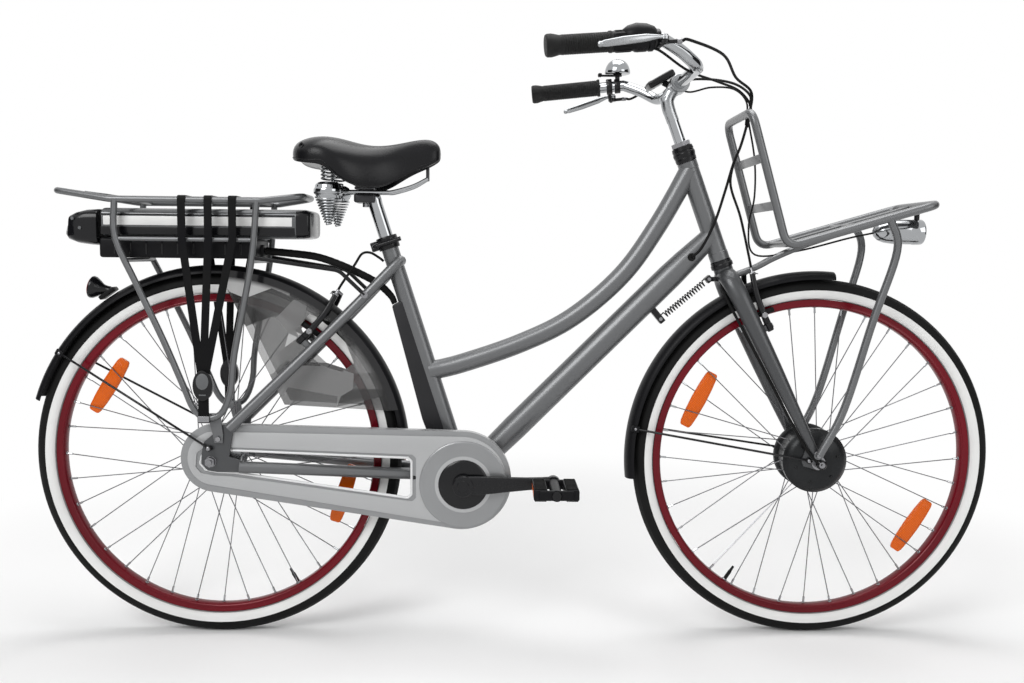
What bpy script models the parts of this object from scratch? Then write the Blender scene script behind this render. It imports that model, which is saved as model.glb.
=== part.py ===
# City e-bike with low-step frame, rear-rack battery, hub motor and front carrier
# Metres, +Z up, +X forward, +Y to the rider's left. Every x below is counted from the rear axle, and the
# empty bike_origin shifts the whole bike so that its own origin lies on the ground midway between wheels.

import math

import bmesh
import bpy
from mathutils import Matrix, Vector

# Wheels
TYRE_RADIUS = 0.351
TYRE_WIDTH = 0.042
TYRE_BEAD_RADIUS = 0.3123
TYRE_BEAD_WIDTH = 0.023
RIM_WIDTH = 0.025
RIM_DEPTH = 0.0155
WHEELBASE = 1.154
WHEEL_SIDES = 32
SPOKE_COUNT = 36
SPOKE_RADIUS = 0.0011
SPOKE_HEAD_OFFSET = 0.0018
FRONT_SPOKE_LEAN = 20.0
REAR_SPOKE_LEAN = 40.0
SPOKE_END_GAP = 0.0006
SPOKE_TIP_OFFSET = 0.003
REFLECTOR_LENGTH = 0.118
REFLECTOR_WIDTH = 0.030
REFLECTOR_RADIUS = 0.250
FRONT_REFLECTOR_ANGLES = (153.0, -33.0)
REAR_REFLECTOR_ANGLES = (148.0, -18.0)

# Hubs and axles
MOTOR_RADIUS = 0.0625
MOTOR_SHELL_RADIUS = 0.0575
MOTOR_FLANGE_Y = 0.026
FRONT_HUB_WIDTH = 0.098
FRONT_AXLE_RADIUS = 0.006
FRONT_AXLE_LENGTH = 0.156
REAR_HUB_FLANGE_RADIUS = 0.046
REAR_HUB_SHELL_RADIUS = 0.038
REAR_HUB_FLANGE_Y = 0.030
REAR_AXLE_RADIUS = 0.005
REAR_AXLE_LENGTH = 0.176
DROPOUT_INNER = 0.0675
DROPOUT_THICKNESS = 0.006
NUT_RADIUS = 0.0105
NUT_HEIGHT = 0.009

# Frame
BB_FORWARD = 0.473
BB_DROP = 0.043
BB_SHELL_RADIUS = 0.021
BB_SHELL_WIDTH = 0.068
SPINDLE_RADIUS = 0.012
SEAT_ANGLE = 71.9
SEAT_TUBE_LENGTH = 0.479
SEAT_TUBE_RADIUS = 0.0165
SEAT_BORE_DEPTH = 0.20
HEAD_ANGLE = 69.5
FORK_RAKE = 0.0415
FORK_LENGTH = 0.4276
HEAD_TUBE_LENGTH = 0.199
HEAD_TUBE_RADIUS = 0.019
STEERER_RADIUS = 0.0143
LOWER_CUP_HEIGHT = 0.0145
UPPER_CUP_HEIGHT = 0.030
CUP_RADIUS = 0.0215
TOP_TUBE_RADIUS = 0.019
DOWN_TUBE_RADIUS = 0.025
DOWN_TUBE_JOINT = 0.051
CHAINSTAY_RADIUS = 0.011
SEATSTAY_RADIUS = 0.010
BRIDGE_RADIUS = 0.006

# Rim brakes
BOSS_BELOW_BEAD = 0.0333
BOSS_Y = 0.042
BOSS_RADIUS = 0.007
BOSS_LENGTH = 0.0212
BRAKE_PIN_RADIUS = 0.004
BRAKE_ARM_OFFSET = 0.027
BRAKE_ARM_LENGTH = 0.103
BRAKE_ARM_RADIUS = 0.0055
BRAKE_TRACK_BELOW_BEAD = 0.0078
PAD_GAP = 0.0018
PAD_LENGTH = 0.055
PAD_HEIGHT = 0.010
PAD_THICKNESS = 0.009

# Drive train
CHAINRING_TEETH = 38
SPROCKET_TEETH = 18
CHAIN_PITCH = 0.0127
CHAIN_Y = -0.052
CHAIN_WIDTH = 0.009
CHAIN_HEIGHT = 0.0085
TOOTH_THICKNESS = 0.0026
TOOTH_DEPTH = 0.0034
CHAINRING_TIP = 0.0002
SPROCKET_TIP = -0.0009
CRANK_LENGTH = 0.170
CRANK_ANGLE = 2.5
CRANK_THICKNESS = 0.013
CRANK_Y = 0.0795
PEDAL_LENGTH = 0.096
PEDAL_DEPTH = 0.082
PEDAL_THICKNESS = 0.024
PEDAL_AXLE_RADIUS = 0.006
CASE_OUTER_Y = 0.0655
CASE_DEPTH = 0.021
CASE_WALL = 0.0022
CASE_REAR_RADIUS = 0.0645
CASE_REAR_SHIFT = 0.006
CASE_REAR_RISE = 0.0045
CASE_FRONT_RADIUS = 0.094
CASE_FRONT_SHIFT = -0.003
CASE_FRONT_RISE = 0.007
CAP_RADIUS = 0.0445

# Mudguards
MUDGUARD_RADIUS = 0.3655
MUDGUARD_HALF_WIDTH = 0.0262
MUDGUARD_DROP = 0.0145
MUDGUARD_WALL = 0.0014
REAR_MUDGUARD_ARC = (8.0, 162.6)
FRONT_MUDGUARD_ARC = (85.0, 186.5)
STAY_WIRE_RADIUS = 0.0022
REAR_STAY_ANGLE = 146.2
FRONT_STAY_ANGLE = 170.5

# Rear rack, battery and straps
RACK_TUBE_RADIUS = 0.006
RACK_RAIL_RADIUS = 0.004
RACK_HALF_WIDTH = 0.076
RACK_FOOT_Y = 0.085
LOWER_RAIL_Y = 0.0745
RACK_TOP_Z = 0.837
RACK_LOWER_Z = 0.765
RACK_REAR_X = -0.166
RACK_FRONT_X = 0.092
RACK_REAR_LOOP_X = -0.283
RACK_FRONT_LOOP_X = 0.171
RACK_LOOP_RISE = 0.016
BATTERY_HALF_WIDTH = 0.060
BATTERY_BOTTOM_Z = 0.7675
BATTERY_HEIGHT = 0.0555
BATTERY_REAR_X = -0.204
BATTERY_FRONT_X = 0.186
BATTERY_NOSE = 0.059
CRADLE_HALF_WIDTH = 0.055
CRADLE_DEPTH = 0.037
CABLE_SHEATH_RADIUS = 0.0075
STRAP_WIDTH = 0.017
STRAP_THICKNESS = 0.002
BUCKLE_WIDTH = 0.036
BUCKLE_HEIGHT = 0.056
BUCKLE_Z = 0.493
BUCKLE_X = -0.006

# Seatpost and saddle
SEATPOST_RADIUS = 0.0136
SEATPOST_SHOWN = 0.078
SADDLE_BEHIND_TOP = 0.1732
SADDLE_LENGTH = 0.274
SADDLE_HALF_WIDTH = 0.106
SADDLE_NOSE_AHEAD = 0.0758
SADDLE_RAIL_RADIUS = 0.0035
SADDLE_RAIL_ABOVE_TOP = 0.0952
SPRING_BEHIND_TOP = 0.1046
SPRING_Y = 0.055
SPRING_SEAT_ABOVE_TOP = 0.1102
SPRING_LENGTH = 0.0315
SPRING_CUP_RADIUS = 0.027
SPRING_CUP_HEIGHT = 0.030
SPRING_COIL_RADIUS = 0.0125
SPRING_CURLS = 4
SPRING_WIRE_RADIUS = 0.0018
HIVE_CURLS = 5
HIVE_LENGTH = 0.046

# Handlebar
BAR_RADIUS = 0.011
BAR_CENTRE_BACK = 0.2777
BAR_CENTRE_Z = 1.0695
BAR_HALF_STRAIGHT = 0.168
GRIP_RADIUS = 0.0165
GRIP_RIGHT_LENGTH = 0.108
GRIP_LEFT_LENGTH = 0.142
SHIFTER_LENGTH = 0.060
SHIFTER_RADIUS = 0.0195
STEM_CLAMP_RADIUS = 0.018
STEM_CLAMP_WIDTH = 0.040
QUILL_RADIUS = 0.0111
BELL_RADIUS = 0.027
BELL_HEIGHT = 0.034
BELL_POST_RADIUS = 0.0050
DISPLAY_Y = 0.045

# Front carrier and lamp
CARRIER_TILT = 16.4
CARRIER_TUBE_RADIUS = 0.0078
CARRIER_HALF_WIDTH = 0.095
CARRIER_LENGTH = 0.292
CARRIER_HEIGHT = 0.256
CARRIER_CORNER_UP = 0.4158
CARRIER_CORNER_FORWARD = 0.103
LAMP_LENGTH = 0.095
LAMP_RADIUS = 0.0245
LAMP_BACK = 0.0376
LAMP_DROP = 0.0495

# Steering spring
DAMPER_CURLS = 8
DAMPER_COIL_RADIUS = 0.0058
DAMPER_WIRE_RADIUS = 0.0011
DAMPER_LEAD = 0.005

# Clearances
GAP = 0.0003
RUNNING_GAP = 0.0005

# Worked out from the sizes above
AXLE_Z = TYRE_RADIUS
REAR_AXLE_X = -WHEELBASE / 2
RIM_RADIUS = TYRE_BEAD_RADIUS - GAP
RIM_INNER_RADIUS = RIM_RADIUS - RIM_DEPTH
BOSS_RADIUS_FROM_AXLE = TYRE_BEAD_RADIUS - BOSS_BELOW_BEAD
BRAKE_TRACK_RADIUS = TYRE_BEAD_RADIUS - BRAKE_TRACK_BELOW_BEAD
BB_Z = AXLE_Z - BB_DROP
SEAT_LEAN = math.radians(90 - SEAT_ANGLE)
HEAD_LEAN = math.radians(90 - HEAD_ANGLE)
SEAT_AXIS = Vector((-math.sin(SEAT_LEAN), 0, math.cos(SEAT_LEAN)))
HEAD_AXIS = Vector((-math.sin(HEAD_LEAN), 0, math.cos(HEAD_LEAN)))
HEAD_FORWARD = Vector((math.cos(HEAD_LEAN), 0, math.sin(HEAD_LEAN)))
Y_AXIS = Vector((0, 1, 0))
Z_AXIS = Vector((0, 0, 1))
REAR_AXLE = Vector((0, 0, AXLE_Z))
FRONT_AXLE = Vector((WHEELBASE, 0, AXLE_Z))
BB = Vector((BB_FORWARD, 0, BB_Z))
SEAT_TOP = BB + SEAT_TUBE_LENGTH * SEAT_AXIS
SADDLE_REAR_X = SEAT_TOP.x - SADDLE_BEHIND_TOP
SADDLE_RAIL_Z = SEAT_TOP.z + SADDLE_RAIL_ABOVE_TOP
SPRING_X = SEAT_TOP.x - SPRING_BEHIND_TOP
SPRING_SEAT_Z = SEAT_TOP.z + SPRING_SEAT_ABOVE_TOP
SPRING_TOP_Z = SPRING_SEAT_Z + SPRING_LENGTH
STEER_FOOT = FRONT_AXLE - FORK_RAKE * HEAD_FORWARD
HEAD_TOP_S = FORK_LENGTH + HEAD_TUBE_LENGTH
BAR_CENTRE_X = WHEELBASE - BAR_CENTRE_BACK
CHAINRING_PITCH_RADIUS = CHAIN_PITCH / 2 / math.sin(math.pi / CHAINRING_TEETH)
SPROCKET_PITCH_RADIUS = CHAIN_PITCH / 2 / math.sin(math.pi / SPROCKET_TEETH)

for old in list(bpy.data.objects):
    bpy.data.objects.remove(old, do_unlink=True)

bike = bpy.data.collections.new("city_ebike")
bpy.context.scene.collection.children.link(bike)
workshop = bpy.data.collections.new("cutters")
bpy.context.scene.collection.children.link(workshop)


# Finishes
def finish(name, colour, roughness, metallic=0.0, alpha=1.0):
    made = bpy.data.materials.new(name)
    made.use_nodes = True
    shader = made.node_tree.nodes["Principled BSDF"]
    shader.inputs["Base Color"].default_value = (*colour, 1.0)
    shader.inputs["Roughness"].default_value = roughness
    shader.inputs["Metallic"].default_value = metallic
    shader.inputs["Alpha"].default_value = alpha
    made.diffuse_color = (*colour, 1.0)
    return made


FRAME_PAINT = finish("frame_paint", (0.30, 0.31, 0.31), 0.38, 0.75)
CASE_SILVER = finish("case_silver", (0.55, 0.56, 0.56), 0.35, 0.5)
BLACK_PLASTIC = finish("black_plastic", (0.018, 0.018, 0.02), 0.42)
BLACK_METAL = finish("black_metal", (0.02, 0.02, 0.022), 0.3, 0.5)
RUBBER = finish("rubber", (0.022, 0.022, 0.022), 0.75)
RIM_RED = finish("rim_red", (0.22, 0.012, 0.022), 0.3, 0.7)
CHROME = finish("chrome", (0.75, 0.75, 0.76), 0.12, 1.0)
ALUMINIUM = finish("aluminium", (0.6, 0.61, 0.62), 0.3, 1.0)
STEEL = finish("steel", (0.45, 0.45, 0.46), 0.35, 1.0)
ORANGE = finish("reflector_orange", (0.9, 0.18, 0.01), 0.25)
VINYL = finish("saddle_vinyl", (0.02, 0.02, 0.022), 0.5)
SMOKE = finish("smoked_panel", (0.25, 0.26, 0.27), 0.2, 0.0, 0.55)


# Turning meshes into loose solids
def loose(mesh):
    made = bpy.data.objects.new("piece", mesh)
    workshop.objects.link(made)
    return made


def settled(source, outward=True):
    bpy.context.view_layer.update()
    graph = bpy.context.evaluated_depsgraph_get()
    mesh = bpy.data.meshes.new_from_object(source.evaluated_get(graph))
    mesh.transform(source.matrix_world)
    shape = bmesh.new()
    shape.from_mesh(mesh)
    bmesh.ops.remove_doubles(shape, verts=shape.verts, dist=1e-6)
    if outward:
        bmesh.ops.recalc_face_normals(shape, faces=shape.faces)
    shape.to_mesh(mesh)
    shape.free()
    bpy.data.objects.remove(source, do_unlink=True)
    return loose(mesh)


def combine(base, others, operation):
    for other in others:
        step = base.modifiers.new("combine", "BOOLEAN")
        step.solver = "EXACT"
        step.operation = operation
        step.object = other
    made = settled(base, outward=False)
    for other in others:
        bpy.data.objects.remove(other, do_unlink=True)
    return made


def fused(base, *others):
    return combine(base, others, "UNION")


def cut(base, *cutters):
    for cutter in cutters:
        cutter.hide_render = True
        cutter.display_type = "WIRE"
    return combine(base, cutters, "DIFFERENCE")


def toward(centre, axis):
    turn = Z_AXIS.rotation_difference(Vector(axis).normalized())
    return Matrix.Translation(centre) @ turn.to_matrix().to_4x4()


# Primitive shapes, placed between two points or on a centre
def rod(start, end, radius, sides=16, end_radius=None):
    start, end = Vector(start), Vector(end)
    shape = bmesh.new()
    bmesh.ops.create_cone(
        shape,
        cap_ends=True,
        segments=sides,
        radius1=radius,
        radius2=radius if end_radius is None else end_radius,
        depth=(end - start).length,
        matrix=toward((start + end) / 2, end - start),
    )
    mesh = bpy.data.meshes.new("rod")
    shape.to_mesh(mesh)
    shape.free()
    return loose(mesh)


def clear_of(radius, sides, gap=GAP):
    # Corner radius of a many-sided bore whose flats stay one gap outside a round piece
    return (radius + gap) / math.cos(math.pi / sides)


def bore(start, end, radius, sides=10, gap=GAP):
    return rod(start, end, clear_of(radius, sides, gap), sides)


def block(centre, size, along=(1, 0, 0), bevel=0.0):
    along = Vector(along).normalized()
    up = along.cross(Y_AXIS).normalized()
    across = up.cross(along)
    turn = Matrix((along, across, up)).transposed().to_4x4()
    shape = bmesh.new()
    bmesh.ops.create_cube(shape, size=1.0)
    bmesh.ops.scale(shape, vec=Vector(size), verts=shape.verts)
    if bevel:
        bmesh.ops.bevel(
            shape,
            geom=shape.edges[:],
            offset=bevel,
            segments=2,
            profile=0.5,
            affect="EDGES",
            material=-1,
        )
    mesh = bpy.data.meshes.new("block")
    shape.to_mesh(mesh)
    shape.free()
    mesh.transform(Matrix.Translation(centre) @ turn)
    return loose(mesh)


def tube(points, radius, sides=12, radii=None, closed=False):
    curve = bpy.data.curves.new("tube", "CURVE")
    curve.dimensions = "3D"
    curve.bevel_depth = radius
    curve.bevel_resolution = (sides - 4) // 2
    curve.use_fill_caps = not closed
    spline = curve.splines.new("POLY")
    spline.points.add(len(points) - 1)
    for i, point in enumerate(points):
        spline.points[i].co = (*point, 1.0)
        spline.points[i].radius = 1.0 if radii is None else radii[i] / radius
    spline.use_cyclic_u = closed
    return settled(loose(curve))


def plate(outline, y_from, y_to, holes=()):
    curve = bpy.data.curves.new("plate", "CURVE")
    curve.dimensions = "2D"
    curve.fill_mode = "BOTH"
    curve.extrude = abs(y_to - y_from) / 2
    for ring in (outline, *holes):
        spline = curve.splines.new("POLY")
        spline.points.add(len(ring) - 1)
        for i, (x, z) in enumerate(ring):
            spline.points[i].co = (x, z, 0.0, 1.0)
        spline.use_cyclic_u = True
    flat = loose(curve)
    middle = Matrix.Translation((0, (y_from + y_to) / 2, 0))
    flat.matrix_world = middle @ Matrix.Rotation(math.radians(90), 4, "X")
    return settled(flat)


def turned(profile, centre, axis, steps=24, ring=False):
    mesh = bpy.data.meshes.new("profile")
    edges = [(i, i + 1) for i in range(len(profile) - 1)]
    if ring:
        edges.append((len(profile) - 1, 0))
    mesh.from_pydata([(r, 0.0, h) for r, h in profile], edges, [])
    source = loose(mesh)
    screw = source.modifiers.new("turn", "SCREW")
    screw.steps = screw.render_steps = steps
    screw.use_merge_vertices = True
    screw.merge_threshold = 1e-5
    source.matrix_world = toward(centre, axis)
    return settled(source)


def loft(sections):
    count = len(sections[0])
    points = [point for section in sections for point in section]
    faces = [tuple(range(count - 1, -1, -1))]
    for row in range(len(sections) - 1):
        for i in range(count):
            here = row * count + i
            beside = row * count + (i + 1) % count
            faces.append((here, beside, beside + count, here + count))
    last = (len(sections) - 1) * count
    faces.append(tuple(range(last, last + count)))
    mesh = bpy.data.meshes.new("loft")
    mesh.from_pydata(points, [], faces)
    return settled(loose(mesh))


# Paths and outlines
def flowing(points, steps=4):
    points = [Vector(p) for p in points]
    ends = [2 * points[0] - points[1], *points, 2 * points[-1] - points[-2]]
    path = []
    for i in range(len(points) - 1):
        a, b, c, d = ends[i : i + 4]
        for step in range(steps):
            t = step / steps
            path.append(
                0.5
                * (
                    2 * b
                    + (c - a) * t
                    + (2 * a - 5 * b + 4 * c - d) * t * t
                    + (3 * b - a - 3 * c + d) * t**3
                )
            )
    return [*path, points[-1]]


def rounded(points, radius, steps=4, closed=False):
    points = [Vector(p) for p in points]
    path = []
    for i, corner in enumerate(points):
        if not closed and i in (0, len(points) - 1):
            path.append(corner)
            continue
        before = (points[i - 1] - corner).normalized()
        after = (points[(i + 1) % len(points)] - corner).normalized()
        reach = radius / math.tan(before.angle(after) / 2)
        start, end = corner + reach * before, corner + reach * after
        for step in range(steps + 1):
            t = step / steps
            path.append((1 - t) ** 2 * start + 2 * t * (1 - t) * corner + t * t * end)
    return path


def circle(cx, cz, radius, steps=20, start=0.0, end=360.0):
    full = abs(end - start) >= 360
    count = steps if full else steps + 1
    angles = [math.radians(start + (end - start) * i / steps) for i in range(count)]
    return [(cx + radius * math.cos(a), cz + radius * math.sin(a)) for a in angles]


def belt(cx1, cz1, r1, cx2, cz2, r2, steps=(8, 16)):
    # Outline round two circles, the first one behind the second
    heading = math.atan2(cz2 - cz1, cx2 - cx1)
    lean = math.asin((r2 - r1) / math.hypot(cx2 - cx1, cz2 - cz1))
    top = math.degrees(heading + math.pi / 2 + lean)
    low = math.degrees(heading - math.pi / 2 - lean)
    rear = circle(cx1, cz1, r1, steps[0], top, low + 360)
    front = circle(cx2, cz2, r2, steps[1], low, top)
    return rear + front


def oval(centre, across, up, half_width, half_height, count=12, squareness=2.0):
    ring = []
    for i in range(count):
        angle = 2 * math.pi * (i + 0.5) / count
        c, s = math.cos(angle), math.sin(angle)
        u = math.copysign(abs(c) ** (2 / squareness), c) * half_width
        w = math.copysign(abs(s) ** (2 / squareness), s) * half_height
        ring.append(Vector(centre) + u * Vector(across) + w * Vector(up))
    return ring


def helix(start, end, curls, radii, per_curl=9, lead=0.0):
    # One unbroken wire path about the line from start to end, its ends straight for a short lead
    start, end = Vector(start), Vector(end)
    axis = (end - start).normalized()
    side = axis.orthogonal().normalized()
    other = axis.cross(side)
    count = int(curls * per_curl)
    path = []
    for i in range(count + 1):
        t = i / count
        angle = 2 * math.pi * curls * t
        radius = radii[0] + (radii[1] - radii[0]) * t
        swing = radius * (math.cos(angle) * side + math.sin(angle) * other)
        path.append(start + (end - start) * t + swing)
    if lead:
        path = [path[0] - lead * axis, *path, path[-1] + lead * axis]
    return path


def least_gap(path, wire_radius, skip):
    nearest = min(
        (a - b).length
        for i, a in enumerate(path)
        for b in path[i + skip :]
    )
    return nearest - 2 * wire_radius


def steer_point(s, forward=0.0, y=0.0):
    return STEER_FOOT + s * HEAD_AXIS + forward * HEAD_FORWARD + y * Y_AXIS


def on_wheel(axle, radius, degrees, y=0.0):
    angle = math.radians(degrees)
    return axle + Vector((radius * math.cos(angle), y, radius * math.sin(angle)))


# Bodies are empties on their joints, and pieces hang from them
bike_origin = bpy.data.objects.new("bike_origin", None)
bike_origin.location = (REAR_AXLE_X, 0, 0)
bike.objects.link(bike_origin)
PIVOTS = {"frame": (bike_origin, Vector((0, 0, 0)))}


def pivot(name, parent, at):
    holder, parent_at = PIVOTS[parent]
    made = bpy.data.objects.new(name + "_pivot", None)
    made.parent = holder
    made.location = Vector(at) - parent_at
    bike.objects.link(made)
    PIVOTS[name] = (made, Vector(at))


def node(name, solid, material, body="frame", sharp=35):
    holder, at = PIVOTS[body]
    workshop.objects.unlink(solid)
    bike.objects.link(solid)
    solid.name = name
    solid.data.name = name
    solid.data.materials.clear()
    solid.data.materials.append(material)
    solid.data.shade_smooth()
    solid.data.set_sharp_from_angle(angle=math.radians(sharp))
    solid.parent = holder
    solid.location = -at
    return solid


def at(x, z, y=0.0):
    return Vector((x, y, z))


def at_front(back, z, y=0.0):
    # Places that move with the front axle, counted back from it
    return Vector((WHEELBASE - back, y, z))


def at_seat(back, up, y=0.0):
    # Places that move with the top of the seat tube, counted back and up from it
    return SEAT_TOP + Vector((-back, y, up))


def at_radius(start, end, axle, radius):
    # Where the line from start to end reaches a radius from the axle
    way, off = end - start, start - axle
    a, b, c = way.dot(way), 2 * way.dot(off), off.dot(off) - radius**2
    reach = math.sqrt(b * b - 4 * a * c)
    hits = [t for t in ((-b - reach) / (2 * a), (-b + reach) / (2 * a)) if 0 <= t <= 1]
    return start + hits[0] * way


# Rim brakes: both wheels carry the same arms on bosses of the frame and of the fork
SEATSTAY_LOW = at(0.0359, 0.4144)
SEATSTAY_MID = at(0.2264, 0.6025)
SEATSTAY_HIGH = at(0.3376, 0.7187)
BLADE_PATH = (
    (0.397, 0.0, 0.004),
    (0.395, 0.0, 0.017),
    (0.384, 0.0005, 0.031),
    (0.360, 0.003, 0.0405),
    (0.330, 0.006, 0.0455),
    (0.200, 0.0195, 0.0550),
    (0.100, 0.0300, 0.0605),
    (0.020, 0.0395, 0.0605),
)
BLADE_RADII = (0.0145, 0.0145, 0.0145, 0.0145, 0.0140, 0.0125, 0.0105, 0.0090)
BLADE_HIGH = steer_point(*BLADE_PATH[4][:2])
BLADE_LOW = steer_point(*BLADE_PATH[5][:2])


class Brake:
    def __init__(self, low, high, axle, out):
        self.root = at_radius(low, high, axle, BOSS_RADIUS_FROM_AXLE)
        self.up = (high - low).normalized()
        self.out = out * Vector((-self.up.z, 0, self.up.x))
        base = self.spot(0.0, BRAKE_ARM_OFFSET)
        track = at_radius(base, base + 0.08 * self.up, axle, BRAKE_TRACK_RADIUS)
        self.pad_up = (track - base).length
        self.pad_along = (track - axle).cross(Y_AXIS).normalized()

    def spot(self, up, out, y=0.0):
        return self.root + up * self.up + out * self.out + y * Y_AXIS

    def boss(self, side):
        y = side * BOSS_Y
        shaft_end = BRAKE_ARM_OFFSET + BRAKE_ARM_RADIUS + GAP
        return (
            rod(self.spot(0, 0, y), self.spot(0, BOSS_LENGTH, y), BOSS_RADIUS, 8),
            rod(self.spot(0, 0, y), self.spot(0, shaft_end + 0.002, y), BRAKE_PIN_RADIUS, 6),
        )

    def arm_path(self, side):
        top = BRAKE_ARM_LENGTH
        return [
            self.spot(0.0, BRAKE_ARM_OFFSET, side * BOSS_Y),
            self.spot(0.24 * top, BRAKE_ARM_OFFSET, side * (BOSS_Y + 0.0025)),
            self.spot(0.58 * top, BRAKE_ARM_OFFSET + 0.003, side * (BOSS_Y + 0.001)),
            self.spot(0.82 * top, BRAKE_ARM_OFFSET + 0.009, side * (BOSS_Y - 0.004)),
            self.spot(top, BRAKE_ARM_OFFSET + 0.015, side * (BOSS_Y - 0.010)),
        ]

    def arm_end(self, side, beyond):
        path = self.arm_path(side)
        return path[-1] + beyond * (path[-1] - path[-2]).normalized()

    def arm(self, side):
        y = side * BOSS_Y
        low = BRAKE_ARM_OFFSET - BRAKE_ARM_RADIUS
        high = BRAKE_ARM_OFFSET + BRAKE_ARM_RADIUS
        pad_y = RIM_WIDTH / 2 + PAD_GAP + PAD_THICKNESS / 2
        centre = self.spot(self.pad_up, BRAKE_ARM_OFFSET)
        size = (PAD_LENGTH, PAD_THICKNESS, PAD_HEIGHT)
        parts = [
            tube(self.arm_path(side), BRAKE_ARM_RADIUS, 6),
            rod(centre + side * pad_y * Y_AXIS, centre + side * (BOSS_Y + 0.008) * Y_AXIS, 0.0034, 6),
            block(centre + side * pad_y * Y_AXIS, size, self.pad_along),
        ]
        if side > 0:
            top = BRAKE_ARM_LENGTH - 0.003
            parts.append(
                tube(
                    [
                        self.spot(top - 0.003, BRAKE_ARM_OFFSET + 0.0145, BOSS_Y - 0.009),
                        self.spot(top, BRAKE_ARM_OFFSET + 0.021, BOSS_Y - 0.014),
                        self.spot(top, BRAKE_ARM_OFFSET + 0.0236, BOSS_Y - 0.021),
                        self.spot(top, BRAKE_ARM_OFFSET + 0.0236, -BOSS_Y + 0.006),
                    ],
                    0.0015,
                    6,
                )
            )
        eye = fused(rod(self.spot(0, low, y), self.spot(0, high, y), 0.010, 10), *parts)
        return cut(
            eye,
            bore(self.spot(0, low - 0.01, y), self.spot(0, high + 0.01, y), BRAKE_PIN_RADIUS, 6),
        )


REAR_BRAKE = Brake(SEATSTAY_LOW, SEATSTAY_MID, REAR_AXLE, 1)
FRONT_BRAKE = Brake(BLADE_LOW, BLADE_HIGH, FRONT_AXLE, -1)


# Frame
DOWN_TUBE_TOP = steer_point(FORK_LENGTH + DOWN_TUBE_JOINT)
DOWN_TUBE_WAY = (BB - DOWN_TUBE_TOP).normalized()
DOWN_TUBE_SPAN = (BB - DOWN_TUBE_TOP).length
DROPOUT_OUTLINE = (
    (-0.017, 0.346),
    (-0.006, 0.334),
    (0.012, 0.331),
    (0.062, 0.331),
    (0.062, 0.350),
    (0.034, 0.360),
    (0.042, 0.408),
    (0.049, 0.421),
    (0.038, 0.431),
    (0.022, 0.417),
    (0.006, 0.404),
    (-0.012, 0.388),
    (-0.017, 0.366),
)
DAMPER_LOW = at_front(0.3025, 0.6220)
DAMPER_HIGH = at_front(0.2105, 0.7000)
DAMPER_WAY = (DAMPER_HIGH - DAMPER_LOW).normalized()
DAMPER_LUG = 0.012
BRIDGE_RADIUS_FROM_AXLE = MUDGUARD_RADIUS + MUDGUARD_WALL + GAP + BRIDGE_RADIUS
bridge = at_radius(SEATSTAY_MID, SEATSTAY_HIGH, REAR_AXLE, BRIDGE_RADIUS_FROM_AXLE)
damper_up = Vector((-DAMPER_WAY.z, 0, DAMPER_WAY.x))

top_tube_path = flowing(
    [
        steer_point(FORK_LENGTH + 0.1825),
        at_front(0.3153, 0.7959),
        at_front(0.3805, 0.7043),
        at(0.6796, 0.6229),
        at(0.5812, 0.5725),
        at(0.4700, 0.5330),
        BB + 0.2190 * SEAT_AXIS,
    ],
    2,
)
down_tube_path = [
    DOWN_TUBE_TOP + d * DOWN_TUBE_WAY
    for d in (0, 0.045, 0.110, DOWN_TUBE_SPAN - 0.09, DOWN_TUBE_SPAN - 0.01)
]
frame_solids = [
    tube(top_tube_path, TOP_TUBE_RADIUS - 0.0005, 10),
    tube(down_tube_path, DOWN_TUBE_RADIUS, 12, (0.0185, 0.0215, 0.025, 0.025, 0.0195)),
    rod(BB, SEAT_TOP, SEAT_TUBE_RADIUS, 14),
    rod(BB - BB_SHELL_WIDTH / 2 * Y_AXIS, BB + BB_SHELL_WIDTH / 2 * Y_AXIS, BB_SHELL_RADIUS, 14),
    rod(bridge - 0.040 * Y_AXIS, bridge + 0.040 * Y_AXIS, BRIDGE_RADIUS, 8),
    plate(
        [
            (0.3614, 0.6500),
            (0.3556, 0.6561),
            (0.3324, 0.6436),
            (0.3914, 0.4231),
            (0.4010, 0.3980),
            (0.4440, 0.3950),
        ],
        -0.0145,
        0.0145,
    ),
    block(DAMPER_LOW + 0.014 * damper_up, (DAMPER_LUG, 0.018, 0.044), DAMPER_WAY),
]
for side in (-1, 1):
    frame_solids += [
        tube(
            [
                at(0.0528, 0.3406, side * 0.0705),
                at(0.1500, 0.3345, side * 0.0586),
                at(0.3300, 0.3230, side * 0.0365),
                at(0.3800, 0.3198, side * 0.0300),
                at(0.4550, 0.3120, side * 0.0220),
            ],
            CHAINSTAY_RADIUS,
            8,
        ),
        tube(
            [
                SEATSTAY_LOW + side * 0.0775 * Y_AXIS,
                SEATSTAY_MID + side * 0.045 * Y_AXIS,
                SEATSTAY_HIGH + side * 0.019 * Y_AXIS,
                at(0.3440, 0.7254, side * 0.009),
            ],
            SEATSTAY_RADIUS,
            8,
        ),
        plate(DROPOUT_OUTLINE, side * DROPOUT_INNER, side * (DROPOUT_INNER + DROPOUT_THICKNESS)),
        *REAR_BRAKE.boss(side),
    ]
frame = fused(
    rod(steer_point(FORK_LENGTH), steer_point(HEAD_TOP_S), HEAD_TUBE_RADIUS, 14),
    *frame_solids,
)
frame = cut(
    frame,
    bore(steer_point(FORK_LENGTH - 0.01), steer_point(HEAD_TOP_S + 0.01), STEERER_RADIUS, 12, RUNNING_GAP),
    bore(SEAT_TOP - SEAT_BORE_DEPTH * SEAT_AXIS, SEAT_TOP + 0.01 * SEAT_AXIS, SEATPOST_RADIUS, 12),
    bore(BB - 0.05 * Y_AXIS, BB + 0.05 * Y_AXIS, SPINDLE_RADIUS, 10),
    bore(REAR_AXLE - 0.09 * Y_AXIS, REAR_AXLE + 0.09 * Y_AXIS, REAR_AXLE_RADIUS, 10),
)
node("main_frame", frame, FRAME_PAINT)

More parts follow.
